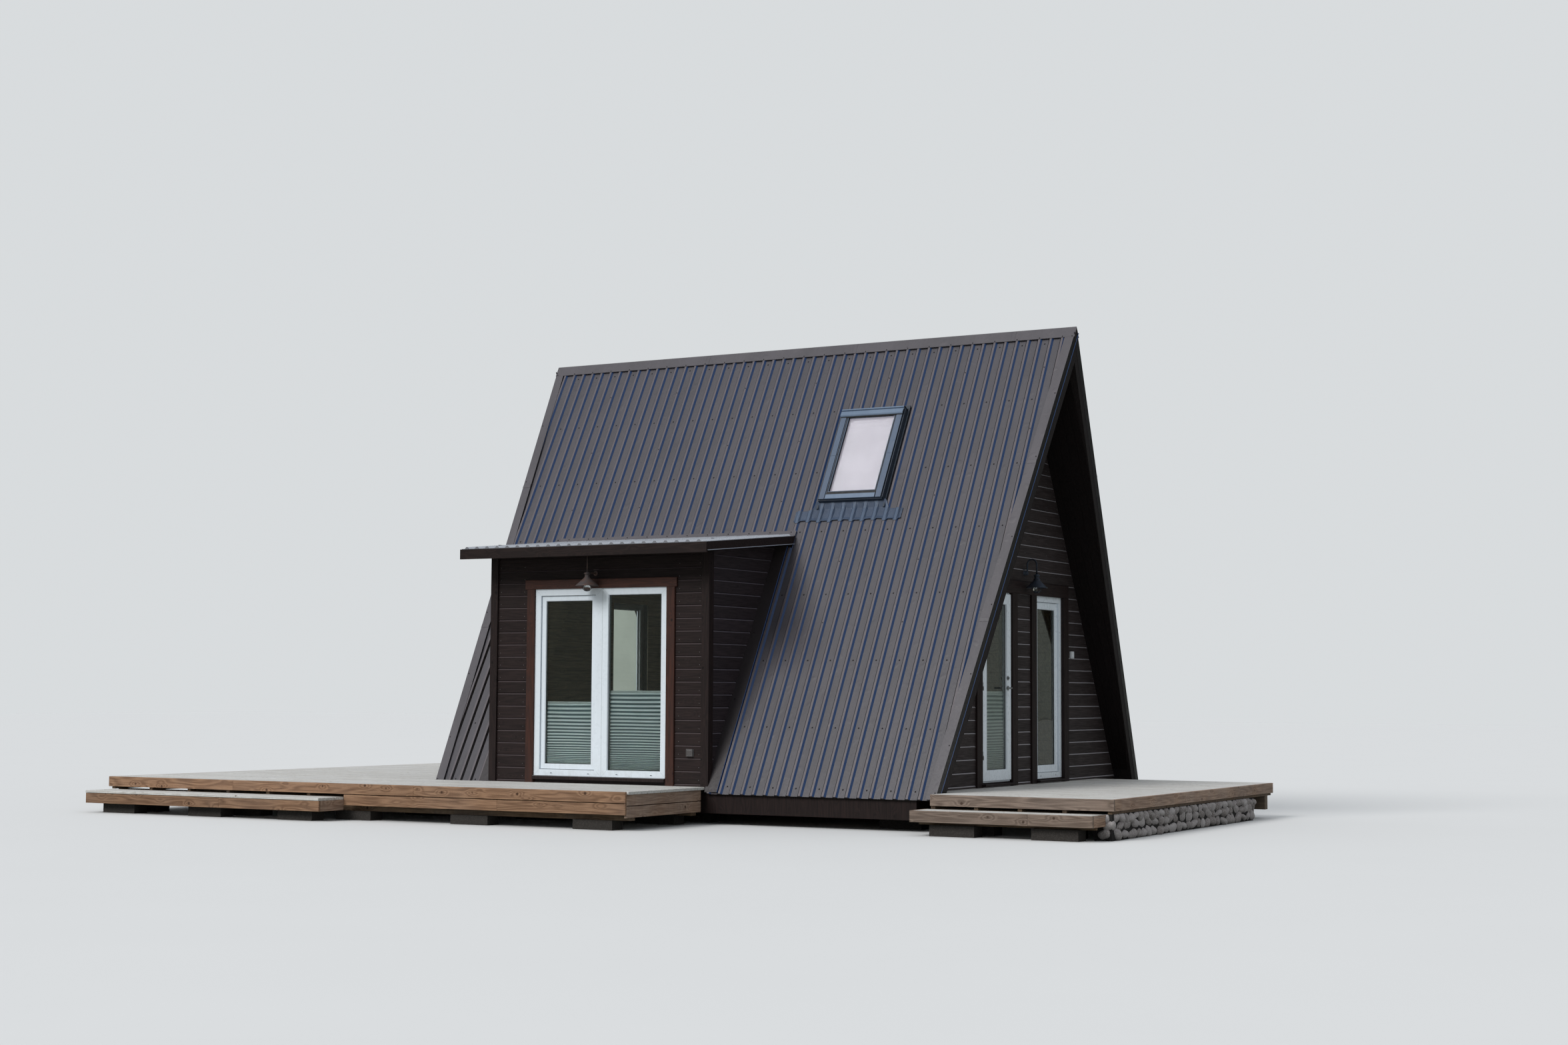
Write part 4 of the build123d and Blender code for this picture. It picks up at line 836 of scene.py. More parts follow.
@dataclass(frozen=True)
class CoatedSheet(Finish):
    """Painted steel sheet, with painted highlights on its rib crowns and painted light and shade on their
    flanks.
    """

    colour: Colour = (0.1, 0.1, 0.1)
    worn: Colour = (0.2, 0.2, 0.2)
    # Colour painted on the flanks that face +X: a painted sky reflection on the roofs and the cheek
    # flashings, painted shade on the barge drops and the window covers.
    painted_flank_light: Colour | None = None
    # Painted shade on the flanks that face -X.
    shade: Colour | None = None
    # Painted highlight on the ribs' crowns.
    crown: Colour | None = None
    # Corner left of and under which the flanks take the painted shade, a painted dark reflection of the bay's
    # wall.
    painted_wall_reflection_corner: tuple[float, float] | None = None
    rough: float = 0.42

    def paint(self, graph: NodeGraph, shader: Node, place: Socket, tone: Socket) -> None:
        """Mixes blotches, a light film of dust, painted highlights on the ribs' crowns and painted light and
        shade on their flanks.

        Args:
            graph: The material's graph.
            shader: The shader.
            place: Coordinates on the object.
            tone: The piece's own tone, which sheet doesn't use.
        """
        ripple = graph.group("sheet_ripple", {"Vector": place})
        grains = graph.group("speckle", {"Vector": place, "Scale": 420.0})
        weather = graph.group("weathering", {"Vector": place})
        colour = graph.mix(graph.times(ripple["Blotch"], 0.55), self.colour, self.worn)
        colour = graph.mix(graph.times(weather["Streaks"], 0.22), colour, self.worn)
        colour = graph.mix(graph.times(grains["Grains"], 0.1), colour, self.worn)
        colour = self.paint_ribs(graph, colour, place)
        rough = graph.remap(grains["Cloud"], 0.3, 0.7, self.rough - 0.07, self.rough + 0.09)
        waves = graph.bump(ripple["Height"], 0.5, 0.006)
        normal = graph.bump(grains["Height"], 0.15, 0.0004, waves)
        shader.inputs["Coat Weight"].default_value = 0.05
        shader.inputs["Coat Roughness"].default_value = 0.25
        graph.feed(shader, {"Base Color": colour, "Roughness": rough, "Normal": normal})

    def paint_ribs(self, graph: NodeGraph, colour: Socket, place: Socket) -> Socket:
        """Painted highlights on the crowns, painted light on the flanks that face +X, and painted shade on
        those that face the other way.

        Left of and under the corner, the flanks take the painted shade instead: a painted dark reflection of
        the bay's wall.

        Args:
            graph: The material's graph.
            colour: Colour of the sheet's pans.
            place: Coordinates on the object.

        Returns:
            The colour of the whole sheet.
        """
        along, _, height = graph.parts(place)
        if self.crown is not None:
            # Painted highlight where the crowns catch the sky.
            from_pan = graph.math("PINGPONG", along, RIB_PITCH / 2)
            colour = graph.mix(graph.remap(from_pan, 0.055, 0.059, 0.0, 0.8), colour, self.crown)
        side = graph.facing(0)
        # Painted light on the flanks that face +X, with painted shade left of and under the corner.
        if self.painted_flank_light is not None:
            painted_flank_light = self.painted_flank_light
            if self.painted_wall_reflection_corner is not None:
                corner_x, corner_z = self.painted_wall_reflection_corner
                left = graph.math("LESS_THAN", along, corner_x)
                under = graph.remap(height, corner_z - 0.7, corner_z, 1.0, 0.0)
                painted_flank_light = graph.mix(graph.times(left, under), self.painted_flank_light, self.shade)
            colour = graph.mix(graph.remap(side, 0.45, 0.6), colour, painted_flank_light)
        # Painted shade on the flanks that face -X.
        if self.shade is not None:
            colour = graph.mix(graph.remap(side, -0.6, -0.45, 1.0, 0.0), colour, self.shade)
        return colour


@dataclass(frozen=True)
class Plastic(Finish):
    """Smooth moulded or extruded plastic with a little dirt in its lower parts."""

    colour: Colour = (0.7, 0.7, 0.7)
    dirt: Colour = (0.3, 0.3, 0.28)
    rough: float = 0.32
    soiled: float = 0.25

    def paint(self, graph: NodeGraph, shader: Node, place: Socket, tone: Socket) -> None:
        """Mixes faint clouds and dirt over the plastic's colour.

        Args:
            graph: The material's graph.
            shader: The shader.
            place: Coordinates on the object.
            tone: The piece's own tone, which plastic doesn't use.
        """
        grains = graph.group("speckle", {"Vector": place, "Scale": 160.0})
        weather = graph.group("weathering", {"Vector": place})
        damp = graph.times(weather["Foot"], graph.remap(grains["Cloud"], 0.35, 0.7))
        streak = graph.times(weather["Streaks"], 0.25)
        colour = graph.mix(graph.times(graph.plus(damp, streak), self.soiled), self.colour, self.dirt)
        rough = graph.remap(grains["Cloud"], 0.3, 0.7, self.rough - 0.08, self.rough + 0.1)
        normal = graph.bump(grains["Height"], 0.1, 0.0003)
        graph.feed(shader, {"Base Color": colour, "Roughness": rough, "Normal": normal})


@dataclass(frozen=True)
class Glass(Finish):
    """Clear or tinted glass with slow waves."""

    tint: Colour = (0.9, 0.95, 0.93)
    rough: float = 0.01

    def paint(self, graph: NodeGraph, shader: Node, place: Socket, tone: Socket) -> None:
        """Tints the glass a little unevenly and bends its reflections.

        Args:
            graph: The material's graph.
            shader: The shader.
            place: Coordinates on the object.
            tone: The piece's own tone, which glass doesn't use.
        """
        film = graph.remap(graph.noise(place, 2.3), 0.3, 0.7)
        faded = tuple(0.94 * part for part in self.tint)
        normal = graph.bump(graph.noise(place, 3.0, 0.0), 0.12, 0.004)
        shader.inputs["Roughness"].default_value = self.rough
        shader.inputs["Metallic"].default_value = 0.0
        shader.inputs["Transmission Weight"].default_value = 1.0
        shader.inputs["IOR"].default_value = 1.45
        graph.feed(shader, {"Base Color": graph.mix(film, self.tint, faded), "Normal": normal})


@dataclass(frozen=True)
class Metal(Finish):
    """Bare or patinated metal, brushed or cast."""

    colour: Colour = (0.5, 0.5, 0.5)
    patina: Colour = (0.3, 0.3, 0.3)
    aged: float = 0.4
    rough: float = 0.4
    metallic: float = 0.9
    scale: float = 120.0

    def paint(self, graph: NodeGraph, shader: Node, place: Socket, tone: Socket) -> None:
        """Mixes patina in clouds over the metal and roughens it there.

        Args:
            graph: The material's graph.
            shader: The shader.
            place: Coordinates on the object.
            tone: The piece's own tone, which metal doesn't use.
        """
        grains = graph.group("speckle", {"Vector": place, "Scale": self.scale})
        clouds = graph.times(graph.remap(grains["Cloud"], 0.36, 0.62), self.aged)
        cover = graph.plus(clouds, graph.times(grains["Grains"], self.aged * 0.3))
        colour = graph.mix(cover, self.colour, self.patina)
        rough = graph.remap(cover, 0.0, 1.0, self.rough, self.rough + 0.3)
        normal = graph.bump(grains["Height"], 0.35, 0.0006)
        shader.inputs["Metallic"].default_value = self.metallic
        graph.feed(shader, {"Base Color": colour, "Roughness": rough, "Normal": normal})


@dataclass(frozen=True)
class Mineral(Finish):
    """Stone, concrete or mortar: three colours in clouds and grains."""

    base: Colour = (0.3, 0.3, 0.3)
    other: Colour = (0.2, 0.2, 0.2)
    grain: Colour = (0.5, 0.5, 0.5)
    scale: float = 90.0
    relief: float = 0.006

    def paint(self, graph: NodeGraph, shader: Node, place: Socket, tone: Socket) -> None:
        """Mixes the stone's own tone, clouds, veins and grains.

        Args:
            graph: The material's graph.
            shader: The shader.
            place: Coordinates on the object.
            tone: The stone's own tone.
        """
        grains = graph.group("speckle", {"Vector": place, "Scale": self.scale})
        share = graph.plus(graph.times(graph.own_tone(tone), 0.7), graph.times(grains["Cloud"], 0.4))
        colour = graph.mix(share, self.base, self.other)
        colour = graph.mix(graph.times(grains["Grains"], 0.35), colour, self.grain)
        dark = tuple(0.45 * part for part in self.other)
        veins = graph.remap(graph.noise(place, 22.0, 5.0), 0.58, 0.72)
        colour = graph.mix(graph.times(veins, 0.22), colour, dark)
        normal = graph.bump(grains["Height"], 0.7, self.relief)
        shader.inputs["Roughness"].default_value = 0.88
        graph.feed(shader, {"Base Color": colour, "Normal": normal})


@dataclass(frozen=True)
class PleatedCloth(Finish):
    """Folded blind fabric with painted light: paler where its folds face up, darker where they face down."""

    # Colour of folds that face up, painted light.
    up: Colour = (0.6, 0.7, 0.7)
    # Colour of folds that face down, painted shade.
    down: Colour = (0.3, 0.4, 0.4)
    # Emission that paints light on the cloth; it is no lamp.
    painted_glow: float = 0.0

    def paint(self, graph: NodeGraph, shader: Node, place: Socket, tone: Socket) -> None:
        """Mixes two colours by the way that a fold faces, painted light and shade, over a fine weave.

        Args:
            graph: The material's graph.
            shader: The shader.
            place: Coordinates on the object.
            tone: The piece's own tone, which cloth doesn't use.
        """
        threads = 900.0
        weave = graph.stretched_noise(place, (threads, threads, threads), 1.0)
        # Painted light and shade: the up colour on folds that face up, the down colour on those that face
        # down.
        colour = graph.mix(graph.remap(graph.facing(2), -0.35, 0.35), self.down, self.up)
        colour = graph.mix(graph.times(weave, 0.18), colour, self.down)
        shader.inputs["Roughness"].default_value = 0.85
        shader.inputs["Sheen Weight"].default_value = 0.2
        # Painted glow.
        shader.inputs["Emission Strength"].default_value = self.painted_glow
        normal = graph.bump(weave, 0.2, 0.0003)
        graph.feed(shader, {"Base Color": colour, "Emission Color": colour, "Normal": normal})


@dataclass(frozen=True)
class Ground(Finish):
    """Plain floor that is pale to the camera and throws less light back up on the model."""

    seen: Colour = (0.7, 0.7, 0.7)
    bounced: Colour = (0.3, 0.3, 0.3)

    def paint(self, graph: NodeGraph, shader: Node, place: Socket, tone: Socket) -> None:
        """Gives the floor its two matt colours, with the faintest cloud.

        Args:
            graph: The material's graph.
            shader: The shader.
            place: Coordinates on the object.
            tone: The piece's own tone, which the floor doesn't use.
        """
        direct = graph.add("LightPath").outputs["Is Camera Ray"]
        colour = graph.mix(direct, self.bounced, self.seen)
        clouded = graph.mix(graph.noise(place, 0.6), colour, graph.dimmed(colour, 0.98))
        shader.inputs["Roughness"].default_value = 0.9
        graph.feed(shader, {"Base Color": clouded})


STAIN = {"light": linear(46, 35, 34), "dark": linear(31, 23, 23), "knot": linear(18, 13, 13)}
TRIM = {"light": linear(76, 44, 34), "dark": linear(52, 31, 26), "knot": linear(28, 17, 14), "rough": 0.5}
DARK_TRIM = {
    "light": linear(44, 33, 32), "dark": linear(29, 22, 22), "knot": linear(20, 15, 15), "rough": 0.5,
    "greyed": 0.06, "sheen": 0.2,
}
BOARDED = {"contrast": 0.35, "spread": 0.35, "greyed": 0.08, "knots": 0.5}
CORE = {"contrast": 0.35, "rough": 0.55, "sheen": 0.2, **STAIN}
PINE = linear(222, 208, 184)

# Bay front boards, with a paler edge colour on the chamfers that look up: painted highlight.
WALL_X = Timber(
    "wall_boards_along_x", grain=Grain.ALONG_X, rough=0.55, sheen=0.2, edge=linear(82, 73, 75),
    **BOARDED, **STAIN,
)
# Gable boards: a paler copy of the stain, painted sheen, with near-white edges on the chamfers that look up:
# painted highlight.
WALL_Y = Timber(
    "wall_boards_along_y", grain=Grain.ALONG_Y, rough=0.5, sheen=0.2, light=linear(60, 53, 53),
    dark=linear(41, 35, 35), knot=linear(24, 19, 19), edge=linear(170, 167, 172), **BOARDED,
)
# Cheek boards: a paler, bluish copy of the stain, painted sky light on the shaded cheeks, with painted
# highlights on the chamfers.
CHEEK_Y = Timber(
    "cheek_boards_along_y", grain=Grain.ALONG_Y, rough=0.5, light=linear(58, 50, 54),
    dark=linear(40, 34, 38), knot=linear(24, 20, 22), edge=linear(112, 106, 116), **BOARDED,
)
WALL_CORE_X = Timber("wall_core_along_x", grain=Grain.ALONG_X, inner=PINE, **CORE)
WALL_CORE_Y = Timber("wall_core_along_y", grain=Grain.ALONG_Y, inner=PINE, **CORE)
SOFFIT = Timber(
    "soffit_boards", grain=Grain.ALONG_Z, light=linear(30, 24, 24), dark=linear(19, 15, 16),
    knot=linear(12, 10, 10),
    rough=0.6, knots=0.4, greyed=0.06, sheen=0.15,
)
SLAB = Timber(
    "slab_timber", grain=Grain.ALONG_Z, light=linear(40, 33, 33), dark=linear(24, 19, 20),
    knot=linear(14, 11, 11),
    rough=0.6, inner=PINE, greyed=0.1,
)
TRIM_X = Timber("trim_along_x", grain=Grain.ALONG_X, greyed=0.12, **TRIM)
TRIM_Z = Timber("trim_along_z", grain=Grain.ALONG_Z, greyed=0.12, **TRIM)
DARK_TRIM_Y = Timber("dark_trim_along_y", grain=Grain.ALONG_Y, **DARK_TRIM)
DARK_TRIM_Z = Timber("dark_trim_along_z", grain=Grain.ALONG_Z, **DARK_TRIM)
BAY_FASCIA = Timber(
    "bay_fascia_boards", grain=Grain.ALONG_X, light=linear(44, 33, 31), dark=linear(28, 21, 21),
    knot=linear(18, 13, 13), rough=0.5, knots=0.4, greyed=0.06, sheen=0.2,
)
# Deck boards: pale weathered grey, made paler and bluer still for a painted sky sheen.
DECK_X = Timber(
    "deck_boards_along_x", grain=Grain.ALONG_X, light=linear(220, 220, 218), dark=linear(178, 174, 168),
    knot=linear(104, 92, 80), rough=0.7, sheen=0.5, greyed=0.45, spread=0.22, relief=0.002,
)
FASCIA_X = Timber(
    "fascia_along_x", grain=Grain.ALONG_X, light=linear(163, 129, 102), dark=linear(114, 85, 64),
    knot=linear(70, 46, 33), rough=0.62, contrast=0.6, greyed=0.1, spread=0.26, relief=0.002,
)
FASCIA_GREY_X = Timber(
    "grey_fascia_along_x", grain=Grain.ALONG_X, light=linear(146, 129, 117), dark=linear(102, 87, 77),
    knot=linear(70, 54, 44), rough=0.62, contrast=0.6, greyed=0.1, spread=0.2, relief=0.002,
)
FASCIA_Y = Timber(
    "fascia_along_y", grain=Grain.ALONG_Y, light=linear(180, 152, 132), dark=linear(128, 102, 86),
    knot=linear(70, 50, 40), rough=0.66, greyed=0.25, spread=0.26, relief=0.002,
)
UNDER_TIMBER = Timber(
    "timber_under_decks", grain=Grain.ALONG_X, light=linear(128, 106, 84), dark=linear(88, 70, 54),
    knot=linear(48, 34, 26), rough=0.75, greyed=0.4,
)
INNER_FLOOR = Timber(
    "floor_boards", grain=Grain.ALONG_X, light=linear(170, 146, 118), dark=linear(122, 98, 74),
    knot=linear(70, 50, 36), rough=0.5,
)
# Roof sheet: blue painted sky reflection on the flanks that face +X, painted shade on those that face -X,
# painted highlights on the crowns, and dark flanks by the bay's left cheek, a painted reflection of its wall.
ROOF_COAT = CoatedSheet(
    "roof_coat", colour=linear(66, 64, 70), worn=linear(79, 76, 83), painted_flank_light=linear(38, 64, 106),
    shade=linear(22, 19, 19), crown=linear(92, 85, 90), painted_wall_reflection_corner=(BAY_LEFT, 3.0),
)
CAP_COAT = CoatedSheet("ridge_and_barge_coat", colour=linear(74, 71, 76), worn=linear(88, 84, 90))
# Barge drops: the faces that look along X are painted dark, painted shade.
DROP_COAT = CoatedSheet(
    "barge_drop_coat", colour=linear(74, 71, 76), worn=linear(88, 84, 90), painted_flank_light=linear(20, 17, 17),
    shade=linear(20, 17, 17),
)
# Bay roof sheet: pale colour and near-white flanks, a painted sky reflection on a dark sheet.
BAY_SKY_SHEEN_COAT = CoatedSheet(
    "bay_roof_painted_sky_sheen", colour=linear(116, 117, 124), worn=linear(140, 143, 150), painted_flank_light=linear(206, 211, 220),
    rough=0.25,
)
DRIP_COAT = CoatedSheet("drip_edge_coat", colour=linear(176, 184, 202), worn=linear(200, 206, 218), rough=0.3)
# Cheek flashings: blue painted sky reflection on the folded edge that faces +X.
FLASHING_COAT = CoatedSheet(
    "cheek_flashing_coat", colour=linear(44, 39, 41), worn=linear(54, 49, 52), painted_flank_light=linear(52, 80, 132),
    rough=0.5,
)
# Front barge hems: blue-grey, a painted sky reflection along the drops' lower edges.
HEM_SKY_REFLECTION = CoatedSheet("hem_painted_sky_reflection", colour=linear(62, 88, 138), worn=linear(84, 110, 158), rough=0.35)
# Window covers and bead: the faces that look along X are painted darker, painted shade.
CLADDING_COAT = CoatedSheet(
    "window_cover_coat", colour=linear(74, 89, 111), worn=linear(90, 106, 128), painted_flank_light=linear(30, 38, 50),
    shade=linear(40, 50, 62), rough=0.4,
)
# Window hood: a paler copy of the covers' colour, painted highlight, with painted shade on the faces that
# look along X.
HOOD_COAT = CoatedSheet(
    "window_hood_coat", colour=linear(98, 115, 138), worn=linear(118, 136, 158), painted_flank_light=linear(30, 38, 50),
    shade=linear(52, 64, 78), rough=0.35,
)
DARK_COVER = CoatedSheet("window_side_coat", colour=linear(38, 46, 58), worn=linear(52, 62, 76), rough=0.4)
# Window apron: paler crowns over the ribs, painted highlight.
APRON_LEAD = CoatedSheet(
    "window_apron", colour=linear(48, 62, 84), worn=linear(74, 92, 118), crown=linear(74, 92, 116), rough=0.5
)
PVC = Plastic("white_frame_plastic", colour=linear(226, 235, 243), dirt=linear(146, 148, 144))
# Black rubber of the seals; on the slots and at the roof window it also paints shade.
GASKET_AND_SHADE = Plastic("black_gasket_and_painted_shade", colour=linear(28, 29, 31), dirt=linear(60, 58, 54), rough=0.6)
SOCKET = Plastic("socket_cream", colour=linear(206, 210, 214), dirt=linear(120, 118, 112), rough=0.4)
DARK_SOCKET = Plastic("dark_socket_plastic", colour=linear(82, 78, 78), dirt=linear(50, 46, 44), rough=0.45)
SEAM = Plastic("seam_grey", colour=linear(150, 156, 160))
PANE = Glass("window_glass")
BULB = Glass("bulb_clear", tint=(0.94, 0.94, 0.92))
# Door blinds: pale folds that face up, painted light, and dark folds that face down, painted shade.
BLIND = PleatedCloth("blind_cloth", up=linear(214, 228, 232), down=linear(84, 108, 116))
# Roof window blind: paler on folds that face up, and glowing, painted light through the pane.
ROOF_BLIND = PleatedCloth("roof_blind_cloth", up=linear(232, 220, 236), down=linear(216, 205, 221), painted_glow=0.34)
BLIND_BAR = Metal("blind_bar_metal", colour=linear(206, 216, 220), patina=linear(170, 178, 182), aged=0.3)
STEEL = Metal("brushed_steel", colour=linear(176, 178, 180), patina=linear(128, 128, 128), rough=0.28)
SCREW_DARK = Metal(
    "roof_screw_metal", colour=linear(30, 27, 30), patina=linear(20, 18, 19), rough=0.6, metallic=0.2
)
NAIL = Metal("nail_metal", colour=linear(160, 160, 162), patina=linear(110, 104, 100), rough=0.5)
DECK_SCREW = Metal("deck_screw_metal", colour=linear(120, 112, 100), patina=linear(80, 72, 64), rough=0.5)
COPPER = Metal(
    "lamp_copper", colour=linear(104, 82, 74), patina=linear(86, 82, 84), aged=0.8, rough=0.5, metallic=0.35
)
DULL = Metal(
    "dull_lamp_metal", colour=linear(66, 76, 90), patina=linear(52, 52, 56), aged=0.5, rough=0.4, metallic=0.6
)
STONE = Mineral(
    "grey_fieldstone", base=linear(178, 173, 174), other=linear(112, 104, 101), grain=linear(200, 197, 197)
)
MORTAR = Mineral("plinth_core", base=linear(36, 33, 32), other=linear(25, 23, 22), grain=linear(52, 49, 46))
# Pier blocks: darker than bare concrete, painted shade of the decks over them.
CONCRETE = Mineral(
    "block_concrete", base=linear(60, 56, 53), other=linear(42, 38, 36), grain=linear(78, 74, 70)
)
FLOOR_FINISH = Ground("studio_floor", seen=linear(228, 229, 230), bounced=linear(136, 138, 132))


# Pieces


def make_piece(
    name: str, form: Form, finish: Finish, body: str = BUILDING, smooth: bool = False
) -> bpy.types.Object:
    """Makes a mesh piece that rides on a body.

    Args:
        name: The piece's name.
        form: Its points, faces and tones.
        finish: Its finish.
        body: The body that it rides on.
        smooth: Whether its faces are shaded smooth.

    Returns:
        The piece.
    """
    mesh = bpy.data.meshes.new(name)
    mesh.from_pydata(form.points.tolist(), [], form.faces)
    attribute = mesh.attributes.new("tone", "FLOAT", "POINT")
    attribute.data.foreach_set("value", form.tones.astype(np.float32))
    shape = bmesh.new()
    shape.from_mesh(mesh)
    bmesh.ops.recalc_face_normals(shape, faces=shape.faces)
    shape.to_mesh(mesh)
    shape.free()
    if smooth:
        mesh.shade_smooth()
    piece = bpy.data.objects.new(name, mesh)
    bpy.context.scene.collection.objects.link(piece)
    mesh.materials.append(finish.material())
    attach(piece, body)
    LOG.info("%s: %d points, %d faces, on %s", name, len(form.points), len(form.faces), body)
    return piece


def soften_edges(piece: bpy.types.Object) -> None:
    """Rounds a piece's edges a little so that they catch the light.

    Args:
        piece: The piece.
    """
    rounding = piece.modifiers.new("rounding", "BEVEL")
    rounding.width, rounding.segments, rounding.limit_method = 0.002, 2, "ANGLE"


def thicken(piece: bpy.types.Object, thickness: float) -> None:
    """Gives a sheet its thickness, behind its faces.

    Args:
        piece: The sheet.
        thickness: The thickness.
    """
    modifier = piece.modifiers.new("thickness", "SOLIDIFY")
    modifier.thickness, modifier.offset = thickness, -1.0


def across_slope(section: Section, start: float, end: float, side: int = FRONT) -> Form:
    """Piece with one section that runs along the ridge.

    Args:
        section: Distance down the slope and height off its outer face, for each point.
        start: X of one end.
        end: X of the other end.
        side: The slope's side.

    Returns:
        The piece's form.
    """
    down, out = np.array(section, float).T
    return prisms(ROOF.points(start, down, out, side)[None], ROOF.points(end, down, out, side)[None])


def down_slope(section: Section, start: float, end: float, side: int = FRONT) -> Form:
    """Piece with one section that runs down a slope.

    Args:
        section: X and height off the slope's outer face, for each point.
        start: Distance of one end from the ridge line.
        end: Distance of the other end.
        side: The slope's side.

    Returns:
        The piece's form.
    """
    along, out = np.array(section, float).T
    return prisms(ROOF.points(along, start, out, side)[None], ROOF.points(along, end, out, side)[None])


def slope_screws(
    along: np.ndarray, down: np.ndarray, out: float, side: int = FRONT, radius: float = 0.0075
) -> Form:
    """Hexagonal screw heads on a slope.

    Args:
        along: X of each head.
        down: Distance of each head from the ridge line.
        out: Height of their feet off the slope's outer face.
        side: The slope's side.
        radius: The heads' radius.

    Returns:
        The heads' form.
    """
    return studs(ROOF.points(along, down, out, side), ROOF.outward(side), radius, SCREW_HEIGHT, HEXAGON)


def raised(wall: WallPlane, outline: np.ndarray, foot: float, top: float, centre: Spot = (0.0, 0.0),
           taper: float = 1.0) -> Form:
    """Low boss on a wall, from an outline at its foot to the same or a smaller one at its top.

    Args:
        wall: The wall.
        outline: Distance along the wall and height of each point, from the centre.
        foot: Distance of the foot out of the wall.
        top: Distance of the top out of the wall.
        centre: The boss's place along the wall and its height.
        taper: Size of the top outline beside the foot's.

    Returns:
        The boss's form.
    """
    along, up = np.array(outline, float).T
    foot_ring = wall.place(centre[0] + along, centre[1] + up, foot)
    top_ring = wall.place(centre[0] + along * taper, centre[1] + up * taper, top)
    return prisms(foot_ring[None], top_ring[None])


class NodeFinishes:
    """Finishes of the solids that stay on show."""

    WHITE = (
        "bay_door_frame", "bay_leaf", "entrance_frame", "side_door_frame", "rear_window_frame",
        "side_door_leaf", "entrance_leaf",
    )
    ROUNDED = (*WHITE, "bay_corner_boards", "bay_fascias", "skylight_frame", "wall_sockets")
    SOLIDS: Mapping[Finish, Sequence[str]] = {
        CONCRETE: ("block_piers",),
        DARK_TRIM_Z: ("sill_beams", "bay_corner_boards"),
        INNER_FLOOR: ("floor",),
        WALL_CORE_X: ("bay_wall_left", "bay_wall_right", "bay_wall_over", "bay_wall_under"),
        WALL_CORE_Y: (
            "gable_wall_base", "gable_wall_left", "gable_wall_middle", "gable_wall_right", "gable_wall_top",
            "rear_gable_wall", "bay_cheeks",
        ),
        SLAB: ("front_roof_left", "front_roof_over_bay", "front_roof_right", "back_roof", "bay_roof"),
        ROOF_COAT: ("front_roof_sheet", "back_roof_sheet"),
        CAP_COAT: ("ridge_cap",),
        DROP_COAT: ("front_barge_flashings", "back_barge_flashings"),
        CLADDING_COAT: ("skylight_frame",),
        BAY_SKY_SHEEN_COAT: ("bay_roof_sheet",),
        BAY_FASCIA: ("bay_fascias",),
        PVC: WHITE,
        PANE: (
            "skylight_glass", "bay_fixed_glass", "bay_leaf_glass", "rear_window_glass", "side_door_glass",
            "entrance_glass",
        ),
        STEEL: ("entrance_handle", "hinge_pins"),
        UNDER_TIMBER: ("deck_joists", "deck_bearers"),
        MORTAR: ("stone_plinth",),
        BULB: ("lamp_bulbs",),
        SOCKET: ("wall_sockets",),
    }

    def build(self) -> None:
        """Gives each solid its finish, and soft edges where its edges show."""
        for finish, names in self.SOLIDS.items():
            for name in names:
                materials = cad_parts[name].data.materials
                materials.clear()
                materials.append(finish.material())
            LOG.info("%s: on %s", finish.name, ", ".join(names))
        for name in self.ROUNDED:
            soften_edges(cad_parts[name])


@dataclass(frozen=True)
class Region:
    """Part of a wall that boards cover: its heights and its two sides at a height."""

    low: float
    high: float
    left: Limit
    right: Limit


def fixed(value: float) -> Limit:
    """A limit that is the same at every height.

    Args:
        value: The limit's place along the wall.

    Returns:
        The limit.
    """
    return lambda heights: np.full_like(heights, value)


def sloped(side: int, depth: float) -> Limit:
    """A limit that follows a roof slope.

    Args:
        side: The slope's side.
        depth: Depth under the slope's outer face.

    Returns:
        The limit.
    """
    return lambda heights: side * ROOF.half_width(heights, depth)


@dataclass(frozen=True)
class Cladding:
    """Horizontal boards on a wall, with their upper edges chamfered and a joint under each."""

    wall: WallPlane
    finish: Finish
    first_joint: float
    pitch: float
    thickness: float = 0.018

    def boards(self, region: Region, seed: int) -> Form | None:
        """Boards over one region.

        The section runs up the board's face at the thickness t, over the chamfer at the top, back to
        the wall, and each of its points meets the region's two sides at its own height.

        Args:
            region: The region.
            seed: Start of the boards' tones.

        Returns:
            The boards' form, or nothing where no board fits.
        """
        foot_cut, top_cut, joint, least_height, least_width = 0.005, 0.009, 0.003, 0.012, 0.02
        face = self.thickness
        out = np.array([0.0, face - foot_cut, face, face, face - top_cut, 0.0])
        up = np.array([0.0, 0.0, 0.004, self.pitch - 0.013, self.pitch - joint, self.pitch - joint])
        start = math.floor((region.low - self.first_joint) / self.pitch)
        stop = math.ceil((region.high - self.first_joint) / self.pitch)
        joints = self.first_joint + np.arange(start, stop) * self.pitch
        heights = np.clip(joints[:, None] + up[None], region.low, region.high)
        left, right = region.left(heights), region.right(heights)
        fits = (np.ptp(heights, axis=1) > least_height) & ((right - left).max(1) > least_width)
        if not fits.any():
            return None
        heights, left = heights[fits], left[fits]
        right = np.maximum(right[fits], left + 0.0005)
        return prisms(self.wall.points(left, out, heights), self.wall.points(right, out, heights), seed)

    def build(self, name: str, regions: Sequence[Region]) -> None:
        """Makes one piece of the boards over several regions.

        Args:
            name: The piece's name.
            regions: The regions.
        """
        forms = [self.boards(region, 11 + index) for index, region in enumerate(regions)]
        make_piece(name, Form.join([form for form in forms if form is not None]), self.finish)


